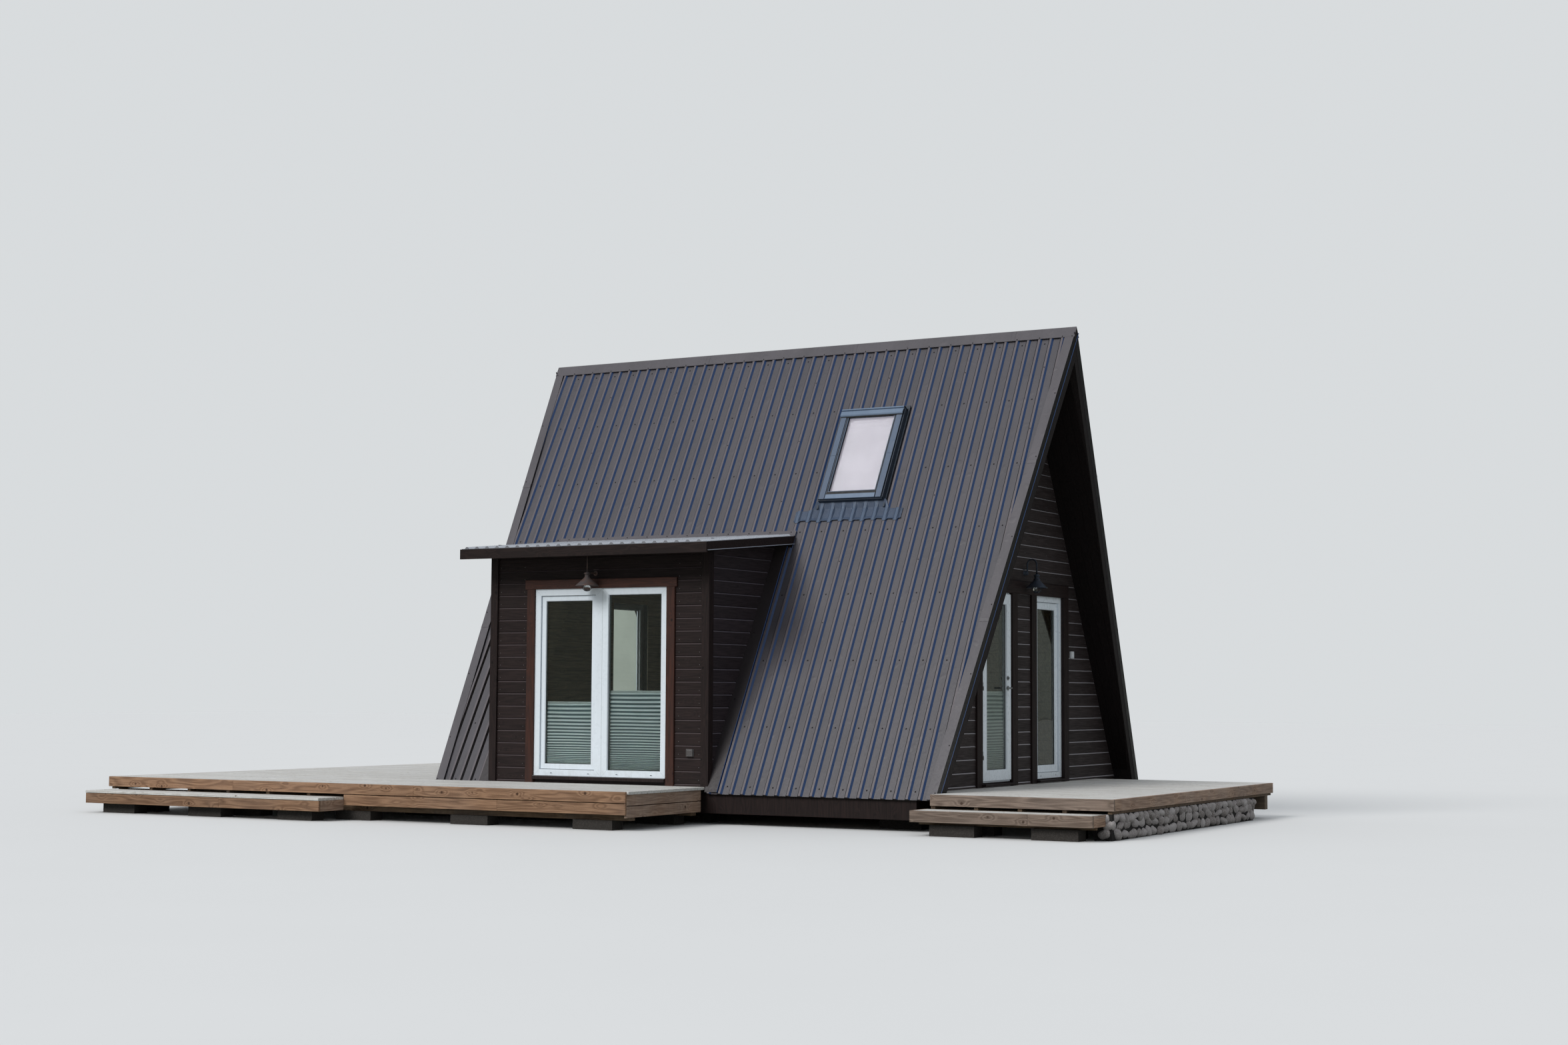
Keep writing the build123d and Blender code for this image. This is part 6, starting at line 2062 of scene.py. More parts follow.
@dataclass
class Doors:
    """Glazed lights, seams, slots, thresholds and fittings of the doors."""

    mullion_seam: float = -0.93
    leaf_proud: float = 0.025

    def __post_init__(self) -> None:
        """Reads the bay's door frame."""
        self.bay_low, self.bay_high = node_box("bay_door_frame")
        self.bay_face = -self.bay_low[1] - BAY_FACE

    def build(self) -> None:
        """Builds every door's details."""
        for light in self.lights():
            light.build()
        self.seams()
        self.leaf_seams()
        self.slots()
        self.thresholds()
        self.key_slot()

    def lights(self) -> Sequence[DoorLight]:
        """Gives the glazed lights, by the panes that fill them.

        Returns:
            The lights.
        """
        leaf_face = -node_box("bay_leaf")[0][1] - BAY_FACE
        rows = (
            ("bay_leaf", "bay_leaf", "bay_leaf_body", BAY_WALL, leaf_face, Blind(1.293, -0.0435, 0.010)),
            ("bay_fixed", "bay_door_frame", BUILDING, BAY_WALL, self.bay_face, Blind(1.419, -0.0385, 0.018)),
            ("entrance", "entrance_leaf", "entrance_leaf_body", GABLE_WALL, self.leaf_proud,
             Blind(1.43, -0.032, 0.014)),
            ("side_door", "side_door_leaf", "side_leaf_body", GABLE_WALL, -0.020, None),
            ("rear_window", "rear_window_frame", BUILDING, REAR_WALL, 0.0, None),
        )
        lights = []
        for name, holder, body, wall, face, blind in rows:
            low, high = node_box(name + "_glass")
            axis = 0 if wall is BAY_WALL else 1
            outer = max(float(np.dot(corner - wall.origin, wall.outward)) for corner in (low, high))
            opening = (low[axis], low[2]), (high[axis], high[2])
            lights.append(DoorLight(name + "_light", holder, body, wall, *opening, outer, face, blind))
        return lights

    def line(self, start: Spot, end: Spot, wall: WallPlane, out: float, width: float = 0.0011) -> Form:
        """Fine line on a wall, between two points on it.

        Args:
            start: Distance along the wall and height of one end.
            end: The same of the other end.
            wall: The wall.
            out: Distance of the face that it lies on out of the wall.
            width: The line's width.

        Returns:
            The line's form.
        """
        first, last = np.array(start), np.array(end)
        direction = (last - first) / np.linalg.norm(last - first)
        side = np.array([-direction[1], direction[0]]) * width / 2
        outline = np.array([first + side, first - side, last - side, last + side])
        return raised(wall, outline, out - 0.001, out + 0.0003)

    def mitres(self, low: Spot, high: Spot, wall: WallPlane, out: float, ends: Spot) -> list[Form]:
        """Diagonal joint lines at the four corners of a frame.

        Args:
            low: Distance along the wall and height of the frame's lower left corner.
            high: The same of its upper right corner.
            wall: The wall.
            out: Distance of the frame's face out of the wall.
            ends: Where each line starts and ends, inwards from its corner.

        Returns:
            The lines' forms.
        """
        near, far = ends
        return [
            self.line((u + right * near, v + up * near), (u + right * far, v + up * far), wall, out)
            for u, right in ((low[0], 1), (high[0], -1))
            for v, up in ((low[1], 1), (high[1], -1))
        ]

    def seams(self) -> None:
        """Fine joint lines of the frames: the mullion's seam and the mitres at the corners."""
        inset, wide = 0.003, 0.0026
        left, foot, right, head = self.bay_low[0], self.bay_low[2], self.bay_high[0], self.bay_high[2]
        seam = self.mullion_seam
        forms = [self.line((seam, foot + 0.002), (seam, head - 0.002), BAY_WALL, self.bay_face, wide)]
        for near, far in ((left, seam), (seam, right)):
            forms += self.mitres((near, foot), (far, head), BAY_WALL, self.bay_face, (inset, 0.07))
        for name in ("side_door_frame", "entrance_frame"):
            low, high = node_box(name)
            forms += self.mitres(low[1:], high[1:], GABLE_WALL, 0.0, (inset, 0.062))
        make_piece("frame_seams", Form.join(forms), SEAM)

    def leaf_seams(self) -> None:
        """Mitres at the corners of the entrance leaf's lip."""
        forms = self.mitres((-1.293, 0.472), (-0.527, 2.528), GABLE_WALL, self.leaf_proud, (0.0, 0.1))
        make_piece("entrance_leaf_seams", Form.join(forms), SEAM, "entrance_leaf_body")

    def slots(self) -> None:
        """Drain slots with their small covers in the foot of each frame; each slot is a dark plate, painted
        shade of its opening.
        """
        bay_level, side_level = self.bay_low[2] + 0.034, node_box("side_door_frame")[0][2] + 0.03
        spots = [(BAY_WALL, self.bay_face, (along, bay_level)) for along in (-1.6, -1.1, -0.72, -0.27)]
        spots += [(GABLE_WALL, 0.0, (along, side_level)) for along in (0.38, 0.82)]
        outline = np.array(
            [(-0.019, 0), (-0.016, -0.005), (0.016, -0.005), (0.019, 0), (0.016, 0.005), (-0.016, 0.005)]
        )
        # The dark slots are painted shade: flat plates where the openings' shade shows.
        for name, size, depth, finish in (
            ("drain_covers", 1.0, 0.003, PVC), ("drain_slots", 0.7, 0.0036, GASKET_AND_SHADE)
        ):
            forms = [
                raised(wall, outline * size, out - 0.0005, out + depth, centre, 0.9)
                for wall, out, centre in spots
            ]
            make_piece(name, Form.join(forms), finish)

    def thresholds(self) -> None:
        """Dark sill boards under the frames with a drip edge over the deck, and the bay's steel rail."""
        board_foot, board_top = 0.413, 0.437
        left, right, sill = self.bay_low[0], self.bay_high[0], self.bay_low[2]
        low = (left + 0.002, -BAY_FACE - 0.058, board_top)
        high = (right - 0.002, -BAY_FACE - 0.038, sill - 0.002)
        forms = [bars(low, high, 0, 0.004, 61)]
        for name in ("entrance_frame", "side_door_frame"):
            low, high = node_box(name)
            low = (GABLE_FACE + 0.036, low[1] - 0.02, board_foot)
            high = (GABLE_FACE + 0.085, high[1] + 0.02, board_top)
            forms.append(bars(low, high, 1, 0.004, 62))
        make_piece("door_thresholds", Form.join(forms), DARK_TRIM_Z)
        low = (left + 0.004, -BAY_FACE - 0.045, sill - 0.006)
        high = (right - 0.004, -BAY_FACE - 0.012, sill + 0.006)
        make_piece("bay_sill_rail", bars(low, high, 0, 0.002), STEEL)

    def key_slot(self) -> None:
        """Key slot in the entrance lock, outside: a dark bar, painted shade of the keyhole."""
        lock_foot = 1.56
        points = node_points("entrance_handle")
        lock = points[points[:, 2] > lock_foot]
        x = lock[:, 0].max()
        y, z = [(lock[:, axis].min() + lock[:, axis].max()) / 2 for axis in (1, 2)]
        slot = bars((x - 0.001, y - 0.0015, z - 0.006), (x + 0.0006, y + 0.0015, z + 0.004), 2, 0.0003)
        make_piece("key_slot", slot, GASKET_AND_SHADE, "entrance_leaf_body")


@dataclass(frozen=True)
class DeckArea:
    """A rectangle of deck, by its ends along X and its sides along Y."""

    start: float
    end: float
    front: float
    back: float

    def rows(self) -> tuple[int, float]:
        """How many rows of boards fill the area, and the step from one to the next."""
        count = max(1, round((self.back - self.front) / (PLANK_WIDTH + PLANK_GAP)))
        return count, (self.back - self.front) / count


@dataclass(frozen=True)
class Decks:
    """Boards, grooved fascias, steps and screws of the decks."""

    thickness: float = 0.028
    fascia_height: float = 0.115
    foot_x: float = 3.205

    def build(self) -> None:
        """Builds the decks."""
        self.floors()
        self.fascias()
        for name, lap, finish in (("bay_step", True, FASCIA_X), ("gable_step", False, FASCIA_GREY_X)):
            self.step(name, lap, finish)

    def planks(self, areas: Sequence[DeckArea], top: float, joints: Sequence[float], seed: int) -> Form:
        """Boards along X over several areas, cut at joints that alternate from row to row.

        Args:
            areas: The areas.
            top: Height of the boards' upper faces.
            joints: X of the possible butt joints.
            seed: Start of the boards' tones.

        Returns:
            The boards' form.
        """
        least_board, slit, side_gap = 0.4, 0.001, PLANK_GAP / 2
        lows, highs = [], []
        for area in areas:
            count, step = area.rows()
            inside = [area.start + least_board < joint < area.end - least_board for joint in joints]
            for row in range(count):
                cuts = [x for index, x in enumerate(joints) if (index + row) % 3 == 0 and inside[index]]
                ends = [area.start, *cuts, area.end]
                for left, right in zip(ends, ends[1:]):
                    lows.append((left + slit, area.front + row * step + side_gap, top - self.thickness))
                    highs.append((right - slit, area.front + (row + 1) * step - side_gap, top))
        return bars(lows, highs, 0, 0.003, seed)

    def screws(self, areas: Sequence[DeckArea], top: float, joists: Sequence[float]) -> Form:
        """Pairs of screws where each board crosses a joist.

        Args:
            areas: The areas.
            top: Height of the boards' upper faces.
            joists: X of the joists.

        Returns:
            The heads' form.
        """
        from_edge, from_end, sunk = 0.028, 0.02, 0.0004
        spots = []
        for area in areas:
            count, step = area.rows()
            rows = area.front + np.arange(count) * step
            across = np.concatenate([rows + from_edge, rows + step - from_edge])
            inside = [x for x in joists if area.start + from_end < x < area.end - from_end]
            if inside:
                x, y = np.meshgrid(inside, across)
                spots.append(np.stack([x.ravel(), y.ravel(), np.full(x.size, top - sunk)], -1))
        return studs(np.concatenate(spots), (0, 0, 1), 0.0042, 0.0006, HEXAGON)

    def floors(self) -> None:
        """Boards of the three decks, round the feet of the roof slopes."""
        joist_pitch, from_end, slope_edge = 0.6, 0.05, -2.927
        bay, rear, gable = [node_box(name + "_deck_boards") for name in ("bay", "rear", "gable")]
        roof_foot = float(ROOF.half_width(DECK_TOP, ROOF.slab)) - 0.005
        decks = {
            "bay_deck": (bay, (-4.6, -2.2, -0.4), [
                DeckArea(bay[0][0], bay[1][0], bay[0][1], slope_edge),
                DeckArea(BAY_LEFT, BAY_RIGHT, slope_edge, -BAY_FACE),
            ]),
            "rear_deck": (rear, (-5.6, -5.0, -4.4), [
                DeckArea(rear[0][0], -self.foot_x, rear[0][1], -roof_foot),
                DeckArea(rear[0][0], rear[1][0], -roof_foot, rear[1][1]),
            ]),
            "gable_deck": (gable, (), [
                DeckArea(self.foot_x, gable[1][0], gable[0][1], -roof_foot),
                DeckArea(gable[0][0], gable[1][0], -roof_foot, gable[1][1]),
            ]),
        }
        for index, (name, ((low, high), joints, areas)) in enumerate(decks.items()):
            top = float(high[2])
            planks = self.planks(areas, top, joints, 71 + index)
            piece = make_piece(name + "_planks", planks, DECK_X)
            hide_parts(name + "_boards")
            joists = np.linspace(
                low[0] + from_end, high[0] - from_end, int((high[0] - low[0]) / joist_pitch) + 2
            )
            make_piece(name + "_screws", self.screws(areas, top, joists), DECK_SCREW)

    def grooved(self, start: np.ndarray, end: np.ndarray, outward: np.ndarray, seed: int) -> Form:
        """Grooved board on edge, from one end to the other, its top at the ends' height.

        Down the face, the depth is d = 2.2 mm where the fraction of the groove's pitch is near one half,
        and nothing between, so each groove is a narrow V with flat lands beside it.

        Args:
            start: Start of the board's top edge on its outer face.
            end: End of the board's top edge on its outer face.
            outward: Direction that the grooved face looks.
            seed: Start of its tone.

        Returns:
            The board's form.
        """
        height, flat, grooves, cut = self.fascia_height, 0.012, 7, 0.003
        pitch = (height - 2 * flat) / grooves
        tops = flat + pitch * np.arange(grooves)
        depth = np.array([0.0, 0.0022, 0.0022, 0.0])
        down = (tops[:, None] + np.array([0.42, 0.5, 0.62, 0.7]) * pitch).ravel()
        face = np.column_stack([np.tile(depth, grooves), down])
        above = [(cut, 0.0), (0.0, cut)]
        below = [(0.0, height - cut), (cut, height), (self.thickness, height), (self.thickness, 0.0)]
        outline = np.vstack([above, face, below])
        offsets = -outline[:, :1] * outward[None] - outline[:, 1:] * np.array([[0.0, 0.0, 1.0]])
        return prisms((start[None] + offsets)[None], (end[None] + offsets)[None], seed)

    def runs(self, corners: Sequence[Sequence[float]], outward: Sequence[float], seed: int) -> Form:
        """Grooved boards end to end along a line.

        Args:
            corners: Ends and butt joints of the boards, in order.
            outward: Direction that the grooved faces look.
            seed: Start of their tones.

        Returns:
            The boards' form.
        """
        points = np.array(corners, float)
        slit = 0.0012 * (points[-1] - points[0]) / np.linalg.norm(points[-1] - points[0])
        last = len(points) - 2
        return Form.join([
            self.grooved(points[index] + slit * (index > 0), points[index + 1] - slit * (index < last),
                         np.array(outward, float), seed + index)
            for index in range(last + 1)
        ])

    def along_x(self, stops: Sequence[float], y: float, top: float, seed: int) -> Form:
        """Grooved boards along X that face the front, between the given stops."""
        return self.runs([(x, y, top) for x in stops], (0, -1, 0), seed)

    def along_y(self, x: float, stops: Sequence[float], top: float, outward: int, seed: int) -> Form:
        """Grooved boards along Y that face one end, between the given stops."""
        return self.runs([(x, y, top) for y in stops], (outward, 0, 0), seed)

    def fascias(self) -> None:
        """Grooved boards round the decks, with their butt joints."""
        left, right, front, back, slope_edge = -6.83, 0.41, -4.43, 2.05, -2.945
        gable_end, gable_front = 5.178, -3.078
        corner = front + 0.03
        step_end = float(node_box("bay_step")[1][0])
        lower_row, third_row = DECK_TOP - 0.123, 0.249
        fronts = [
            self.along_x((left, -4.9, -2.315, right), front, DECK_TOP, 81),
            self.along_x((step_end, -1.203, right), front, lower_row, 91),
        ]
        ends = [
            self.along_y(left, (corner, -1.2, back), DECK_TOP, -1, 97),
            self.along_y(right, (corner, slope_edge), 0.372, 1, 99),
            self.along_y(right, (corner, slope_edge), third_row, 1, 103),
            self.along_y(gable_end, (gable_front + 0.03, 0.6, back), DECK_TOP, 1, 105),
        ]
        piece = make_piece("deck_fascia_fronts", Form.join(fronts), FASCIA_X)
        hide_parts("deck_fascias")
        gable = self.along_x((self.foot_x, gable_end), gable_front, DECK_TOP, 95)
        make_piece("gable_deck_fascia_front", gable, FASCIA_GREY_X)
        make_piece("deck_fascia_ends", Form.join(ends), FASCIA_Y)

    def step(self, name: str, lap: bool, finish: Finish) -> None:
        """Treads, front boards, end boards, bearer and screws of a step.

        Args:
            name: The step's solid.
            lap: Whether the treads lap over the front boards.
            finish: Finish of the front boards.
        """
        low, high = node_box(name)
        left, right, front, back, top = low[0], high[0], low[1], high[1], float(high[2])
        middle, lengthwise = (left + right) / 2, (front + back) / 2
        inset = 0.0 if lap else self.thickness
        area = DeckArea(left + inset, right, front + inset, back)
        treads = self.planks([area], top, (middle,) if lap else (), 111)
        piece = make_piece(name + "_treads", treads, DECK_X)
        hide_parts(name)
        fascia_top, recess = (top - 0.030, 0.010) if lap else (top, 0.0)
        fronts = self.along_x((left, middle + 0.3, right), front + recess, fascia_top, 113)
        make_piece(name + "_front", fronts, finish)
        stops = (front + 0.03, back - 0.001)
        end_faces = ((left, -1, 121), (right, 1, 123))
        ends = [self.along_y(x, stops, fascia_top, way, seed) for x, way, seed in end_faces]
        make_piece(name + "_ends", Form.join(ends), FASCIA_Y)
        half, end_gap = 0.0225, 0.03
        bearer_low = (left + end_gap, lengthwise - half, top - 0.143)
        bearer_high = (right - end_gap, lengthwise + half, top - 0.030)
        make_piece(name + "_bearer", bars(bearer_low, bearer_high, 0, 0.002, 117), UNDER_TIMBER)
        joists = np.linspace(left + 0.06, right - 0.06, 7)
        make_piece(name + "_screws", self.screws([area], top, joists), DECK_SCREW)


@dataclass
class StonePlinth:
    """Rounded fieldstones on the faces of the plinth."""

    levels: tuple[float, ...] = (0.052, 0.142, 0.216)
    top: float = 0.2555
    squareness: float = 0.93

    def __post_init__(self) -> None:
        """Makes the ball that each stone starts from, and the series of random numbers."""
        self.rng = np.random.default_rng(7)
        polar = np.linspace(0, math.pi, 13)[:, None]
        turn = np.linspace(0, 2 * math.pi, 20, endpoint=False)[None, :]
        upright = np.cos(polar) * np.ones_like(turn)
        ball = np.stack([np.sin(polar) * np.cos(turn), np.sin(polar) * np.sin(turn), upright], -1)
        self.ball = np.sign(ball) * np.abs(ball) ** self.squareness

    def build(self) -> None:
        """Builds the stones over the plinth's end, its long face and its back, in staggered rows."""
        low, high = node_box("stone_plinth")
        end = WallPlane((high[0], 0.0, 0.0), (0.0, 1.0, 0.0), (1.0, 0.0, 0.0))
        front = WallPlane((0.0, low[1], 0.0), (1.0, 0.0, 0.0), (0.0, -1.0, 0.0))
        back = WallPlane((low[0], 0.0, 0.0), (0.0, 1.0, 0.0), (-1.0, 0.0, 0.0))
        faces = (
            (end, low[1] + 0.04, high[1] - 0.03),
            (front, low[0] + 0.03, high[0] - 0.02),
            (back, low[1] + 0.06, high[1] - 0.04),
        )
        stones = []
        for face, start, stop in faces:
            for row, level in enumerate(self.levels):
                stones += self.course(face, start, stop, row, level)
        for index, stone in enumerate(stones):
            stone.tones = np.full(len(stone.points), (index * 0.618) % 1.0)
        make_piece("plinth_stones", Form.join(stones), STONE, smooth=True)

    def course(self, face: WallPlane, start: float, stop: float, row: int, level: float) -> list[Form]:
        """One course of stones of uneven widths along a face.

        Args:
            face: The face.
            start: Start of the course along the face.
            stop: End of the course.
            row: Number of the course, from the ground up.
            level: Height of the stones' middles.

        Returns:
            The stones' forms.
        """
        stagger, overlap = 0.05, 0.97
        widths = (0.05, 0.09) if row == 2 else (0.062, 0.118)
        along = start + stagger * (row % 2)
        stones = []
        while along < stop:
            half = min(self.rng.uniform(*widths), max(0.03, (stop - along) / 2 + 0.02))
            stones.append(self.stone(face, along + half, level, half))
            along += 2 * half * overlap
        return stones

    def stone(self, face: WallPlane, centre: float, level: float, half: float) -> Form:
        """One stone, swollen and dented by three slow waves and turned a little.

        The ball's points b are taken times the stone's half width, half height and half depth, and
        times 1 + 0.08 sin(4.2 bx + p0) + 0.07 sin(3 bz + p1) + 0.06 sin(4 by + p2), with random phases p.

        Args:
            face: The face that it lies on.
            centre: Its middle along the face.
            level: Height of its course.
            half: Half its width.

        Returns:
            The stone's form.
        """
        half_depth, sunk = 0.062, 0.05
        tall = self.rng.uniform(0.044, 0.060)
        proud = self.rng.uniform(0.012, 0.030)
        phase = self.rng.uniform(0, 6.28, 3)
        across, out, up = np.moveaxis(self.ball, -1, 0)
        waves = 1 + 0.08 * np.sin(4.2 * across + phase[0]) + 0.07 * np.sin(3.0 * up + phase[1])
        waves = waves + 0.06 * np.sin(4.0 * out + phase[2])
        tilt = self.rng.uniform(-0.5, 0.5)
        wide, rise = across * half * waves, up * tall * waves
        turned = wide * math.cos(tilt) - rise * math.sin(tilt)
        risen = wide * math.sin(tilt) + rise * math.cos(tilt)
        depth = out * half_depth * waves - sunk + proud
        height = np.clip(level + self.rng.uniform(-0.012, 0.012) + risen, 0.001, self.top)
        return surface(face.place(centre + turned, height, depth), close_v=True)


class Lamps:
    """The caged copper lamp over the bay's door and the gooseneck lamp between the gable doors."""

    def build(self) -> None:
        """Builds both lamps."""
        self.bay_lamp()
        self.gable_lamp()

    def cage(self, name: str, centre: Sequence[float], rim: float, finish: Finish) -> None:
        """Wire cage under a shade, round its bulb.

        Each of four wires is half an ellipse, 60 mm wide and 62 mm deep, and two rings cross them.

        Args:
            name: The piece's name.
            centre: The lamp's place.
            rim: Height of the shade's rim.
            finish: The cage's finish.
        """
        across, deep, wire, sides = 0.060, 0.062, 0.0018, 6
        x, y, top = *centre, rim + 0.002
        arc = np.linspace(0.0, math.pi, 25)
        reach = across * np.cos(arc)
        forms = []
        for turn in np.linspace(0, math.pi, 4, endpoint=False):
            path = [x + reach * math.cos(turn), y + reach * math.sin(turn), top - deep * np.sin(arc)]
            forms.append(tube(np.stack(path, -1), wire, sides))
        ring = np.linspace(0, 2 * math.pi, 49)
        for share in (0.06, 0.62):
            radius, drop = across * math.cos(share * math.pi / 2), deep * math.sin(share * math.pi / 2)
            path = [x + radius * np.cos(ring), y + radius * np.sin(ring), np.full(ring.size, top - drop)]
            forms.append(tube(np.stack(path, -1), wire, sides))
        make_piece(name, Form.join(forms), finish, smooth=True)

    def plate(self, wall: WallPlane, centre: Spot, profile: Section) -> Form:
        """Round plate on a wall, turned about a line out of it.

        Args:
            wall: The wall.
            centre: The line's place along the wall and its height.
            profile: Distance out of the wall and radius, for each point.

        Returns:
            The plate's form.
        """
        out, radius = np.array(profile).T
        turn = np.linspace(0, 2 * math.pi, 48, endpoint=False)[:, None]
        rings = wall.place(centre[0] + radius * np.cos(turn), centre[1] + radius * np.sin(turn), out)
        return surface(rings, close_u=True)

    def bay_lamp(self) -> None:
        """Conical shade with a rolled rim and a cap, its cage, its rod, its arm and its round plate."""
        low, high = node_box("bay_lamp")
        radius, height, arm_drop = 0.131, 0.158, 0.011
        x, y = centre = ((low[0] + high[0]) / 2, low[1] + radius)
        rim, end = float(low[2]), float(high[2])
        top, arm = rim + height, rim + height - arm_drop
        outer = [
            (0.1300, 0.0), (0.1312, 0.003), (0.1275, 0.0065), (0.104, 0.027), (0.078, 0.050), (0.052, 0.074),
            (0.034, 0.091), (0.030, 0.096), (0.0265, 0.103), (0.0255, 0.118), (0.026, 0.131), (0.036, 0.133),
            (0.038, 0.136), (0.030, 0.146), (0.015, 0.156), (0.0, 0.158),
        ]
        inner = [
            (0.0, 0.150), (0.022, 0.128), (0.0225, 0.100), (0.030, 0.088), (0.050, 0.070), (0.076, 0.046),
            (0.102, 0.023), (0.124, 0.004), (0.127, 0.0), (0.1300, 0.0),
        ]
        shade = lathe(outer + inner, (*centre, rim), 64)
        piece = make_piece("bay_lamp_shade", shade, COPPER, smooth=True)
        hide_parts("bay_lamp")
        rod = [(x, y, top - 0.004), (x, y, (top + end) / 2), (x, y, end)]
        reach = [(x, -BAY_FACE - 0.012, arm), (x, -BAY_FACE - 0.08, arm), (x, y + 0.024, arm)]
        profile = [(0.0, 0.060), (0.008, 0.060), (0.013, 0.054), (0.017, 0.030), (0.024, 0.016), (0.026, 0.0)]
        parts = [tube(rod, 0.0055), tube(reach, 0.0085), self.plate(BAY_WALL, (x, arm), profile)]
        make_piece("bay_lamp_fittings", Form.join(parts), COPPER, smooth=True)
        self.cage("bay_lamp_cage", centre, rim, DULL)

    def gable_lamp(self) -> None:
        """Conical shade with a collar and a cap, hung from a gooseneck that stands on a round plate."""
        low, high = node_box("gable_lamp")
        radius, height, gap, leg, tube_radius = 0.124, 0.170, 0.116, 0.097, 0.0095
        rim = float(low[2])
        x, y = centre = (float(high[0]) - radius, (low[1] + high[1]) / 2)
        top, left = rim + height, x - gap
        outer = [
            (0.1230, 0.0), (0.1242, 0.003), (0.1210, 0.006), (0.100, 0.022), (0.076, 0.047), (0.052, 0.072),
            (0.038, 0.087), (0.036, 0.092), (0.040, 0.095), (0.041, 0.100), (0.034, 0.105), (0.028, 0.108),
            (0.0275, 0.134), (0.037, 0.136), (0.039, 0.140), (0.028, 0.149), (0.014, 0.161), (0.0, 0.170),
        ]
        inner = [
            (0.0, 0.160), (0.024, 0.130), (0.025, 0.106), (0.034, 0.084), (0.050, 0.068), (0.074, 0.043),
            (0.098, 0.018), (0.117, 0.003), (0.120, 0.0), (0.1230, 0.0),
        ]
        shade = lathe(outer + inner, (*centre, rim), 64)
        piece = make_piece("gable_lamp_shade", shade, DULL, smooth=True)
        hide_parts("gable_lamp")
        arc = np.linspace(0, math.pi, 40)
        bend_x, bend_z = left + gap / 2 * (1 - np.cos(arc)), top + leg + gap / 2 * np.sin(arc)
        bend = np.stack([bend_x, np.full(arc.size, y), bend_z], -1)
        rising = [(left, y, top), (left, y, top + leg / 2)]
        falling = [(x, y, top + leg / 2), (x, y, top - 0.006)]
        neck = tube(np.concatenate([rising, bend, falling]), tube_radius)
        boss = left - GABLE_FACE + 0.008
        profile = [
            (0.0, 0.060), (0.009, 0.060), (0.014, 0.055), (0.017, 0.034), (0.022, 0.027), (0.052, 0.024),
            (boss, 0.018), (boss + 0.002, 0.0),
        ]
        parts = [neck, self.plate(GABLE_WALL, (y, top), profile)]
        make_piece("gable_lamp_fittings", Form.join(parts), DULL, smooth=True)
        self.cage("gable_lamp_cage", centre, rim, DULL)


class Sockets:
    """Cover frames and hinged lids of the two wall sockets."""

    def build(self) -> None:
        """Builds the lids on the socket boxes."""
        points = node_points("wall_sockets")
        self.lid("bay_socket_lid", BAY_WALL, points[points[:, 1] < -2.0], DARK_SOCKET)
        self.lid("gable_socket_lid", GABLE_WALL, points[points[:, 0] > 2.0], SOCKET)

    def lid(self, name: str, wall: WallPlane, box: np.ndarray, finish: Finish) -> None:
        """Lid with a stepped rim and a round recess.

        Args:
            name: The piece's name.
            wall: The wall that it is on.
            box: The socket box's points.
            finish: Its finish.
        """
        flat = np.stack([box @ np.array(wall.along), box[:, 2]], -1)
        out = float(((box - np.array(wall.origin)) @ np.array(wall.outward)).max())
        rim = [
            (-0.001, out - 0.012), (-0.001, out + 0.001), (0.003, out + 0.004), (0.009, out + 0.004),
            (0.011, out + 0.0005), (0.011, out - 0.012),
        ]
        inner = [
            (0.013, out - 0.001), (0.013, out + 0.003), (0.016, out + 0.005), (0.038, out + 0.005),
            (0.0385, out - 0.001),
        ]
        rings = [mitred_ring(wall.place, flat.min(0), flat.max(0), section) for section in (rim, inner)]
        make_piece(name, Form.join(rings), finish)


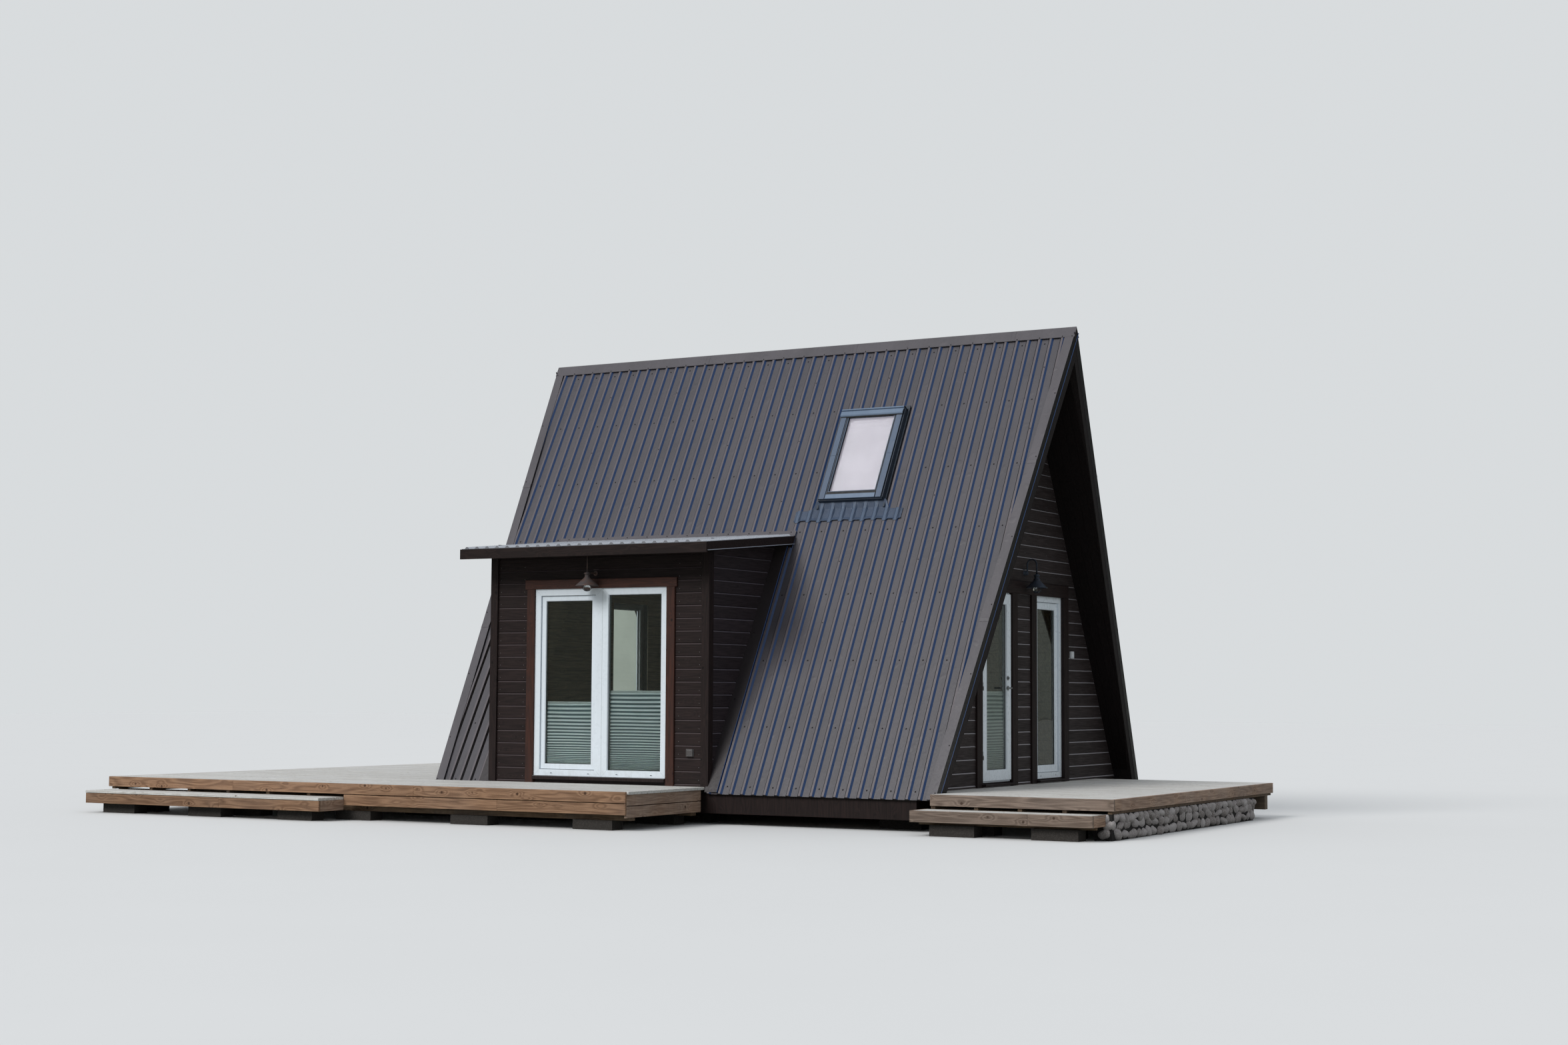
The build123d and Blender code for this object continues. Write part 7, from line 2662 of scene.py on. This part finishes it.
@dataclass(frozen=True)
class Studio:
    """Floor, lights, world and camera."""

    floor_size: float = 90.0
    floor_level: float = -0.001
    sun_strength: float = 1.85
    sun_angle: float = math.radians(26)
    sun_colour: Colour = (1.0, 0.985, 0.96)
    sun_towards: tuple[float, float, float] = (0.26, 0.76, -0.62)
    sky_colour: tuple[float, ...] = (0.93, 0.97, 1.0, 1.0)
    sky_strength: float = 0.62
    mirrored_low: Colour = (0.045, 0.05, 0.05)
    mirrored_high: Colour = (0.36, 0.38, 0.43)
    mirrored_ahead: Colour = (0.60, 0.66, 0.72)
    bright_side: tuple[float, float, float] = (-0.49, 0.87, 0.0)
    through_glass: tuple[float, ...] = (0.40, 0.42, 0.38, 1.0)
    backdrop: tuple[float, ...] = (0.690, 0.714, 0.729, 1.0)
    eye_place: tuple[float, float, float] = (13.194, -23.957, 1.42)
    yaw: float = 0.5107441
    pitch: float = 0.0749660
    roll: float = 0.0050806
    lens: float = 52.06
    sensor: float = 36.0
    clip: Spot = (0.1, 400.0)

    def build(self) -> None:
        """Builds the studio."""
        self.floor()
        self.lights()
        self.world()
        self.camera()
        bpy.context.scene.view_settings.view_transform = "Standard"

    def floor(self) -> None:
        """Plain pale floor under everything."""
        size, level = self.floor_size, self.floor_level
        corners = [(-size, -size, level), (size, -size, level), (size, size, level), (-size, size, level)]
        mesh = bpy.data.meshes.new("studio_floor")
        mesh.from_pydata(corners, [], [(0, 1, 2, 3)])
        ground = bpy.data.objects.new("studio_floor", mesh)
        bpy.context.scene.collection.objects.link(ground)
        mesh.materials.append(FLOOR_FINISH.material())

    def lights(self) -> None:
        """One broad key from the front left, high up."""
        key = bpy.data.lights.new("key", "SUN")
        key.energy, key.angle, key.color = self.sun_strength, self.sun_angle, self.sun_colour
        lamp = bpy.data.objects.new("key", key)
        bpy.context.scene.collection.objects.link(lamp)
        lamp.rotation_mode = "QUATERNION"
        lamp.rotation_quaternion = Vector(self.sun_towards).to_track_quat("-Z", "Y")

    def world(self) -> None:
        """Soft even light all round, pale where the camera sees it, darker in mirrors and through glass."""
        world = bpy.data.worlds.new("studio_world")
        bpy.context.scene.world = world
        world.use_nodes = True
        world.node_tree.nodes.clear()
        graph = NodeGraph(world.node_tree)
        path = graph.add("LightPath").outputs
        direction = graph.add("TexCoord").outputs["Generated"]
        height = graph.parts(direction)[2]
        mirrored = graph.mix(graph.remap(height, 0.05, 0.8), self.mirrored_low, self.mirrored_high)
        sides = {0: direction, 1: self.bright_side}
        ahead = graph.add("VectorMath", sides, operation="DOT_PRODUCT").outputs["Value"]
        mirrored = graph.mix(graph.remap(ahead, 0.8, 0.96), mirrored, self.mirrored_ahead)
        shown = graph.add("Background", {"Color": self.sky_colour, "Strength": self.sky_strength}).outputs[0]
        layers = (
            (path["Is Glossy Ray"], mirrored),
            (path["Is Transmission Ray"], self.through_glass),
            (path["Is Camera Ray"], self.backdrop),
        )
        for mask, colour in layers:
            layer = graph.add("Background", {"Color": colour, "Strength": 1.0}).outputs[0]
            shown = graph.add("MixShader", {0: mask, 1: shown, 2: layer}).outputs[0]
        graph.add("OutputWorld", {0: shown})

    def camera(self) -> None:
        """Camera at the photograph's place, turned by its yaw, pitch and roll."""
        data = bpy.data.cameras.new("camera")
        data.lens, data.sensor_width, data.sensor_fit = self.lens, self.sensor, "HORIZONTAL"
        data.clip_start, data.clip_end = self.clip
        eye = bpy.data.objects.new("camera", data)
        bpy.context.scene.collection.objects.link(eye)
        upright = Matrix.Rotation(math.pi / 2 + self.pitch, 3, "X")
        turn = Matrix.Rotation(self.yaw, 3, "Z") @ upright @ Matrix.Rotation(self.roll, 3, "Z")
        eye.rotation_mode = "QUATERNION"
        eye.rotation_quaternion = turn.to_quaternion()
        eye.location = self.eye_place
        bpy.context.scene.camera = eye


def main() -> None:
    """Builds the finishes, the pieces and the studio."""
    logging.basicConfig(level=logging.INFO, format="%(message)s")
    SharedEffects().build()
    NodeFinishes().build()
    for part in (
        Walls(), RoofDetails(), RoofWindow(), Doors(), Decks(), StonePlinth(), Lamps(), Sockets(), Studio()
    ):
        part.build()


if __name__ == "__main__":
    main()
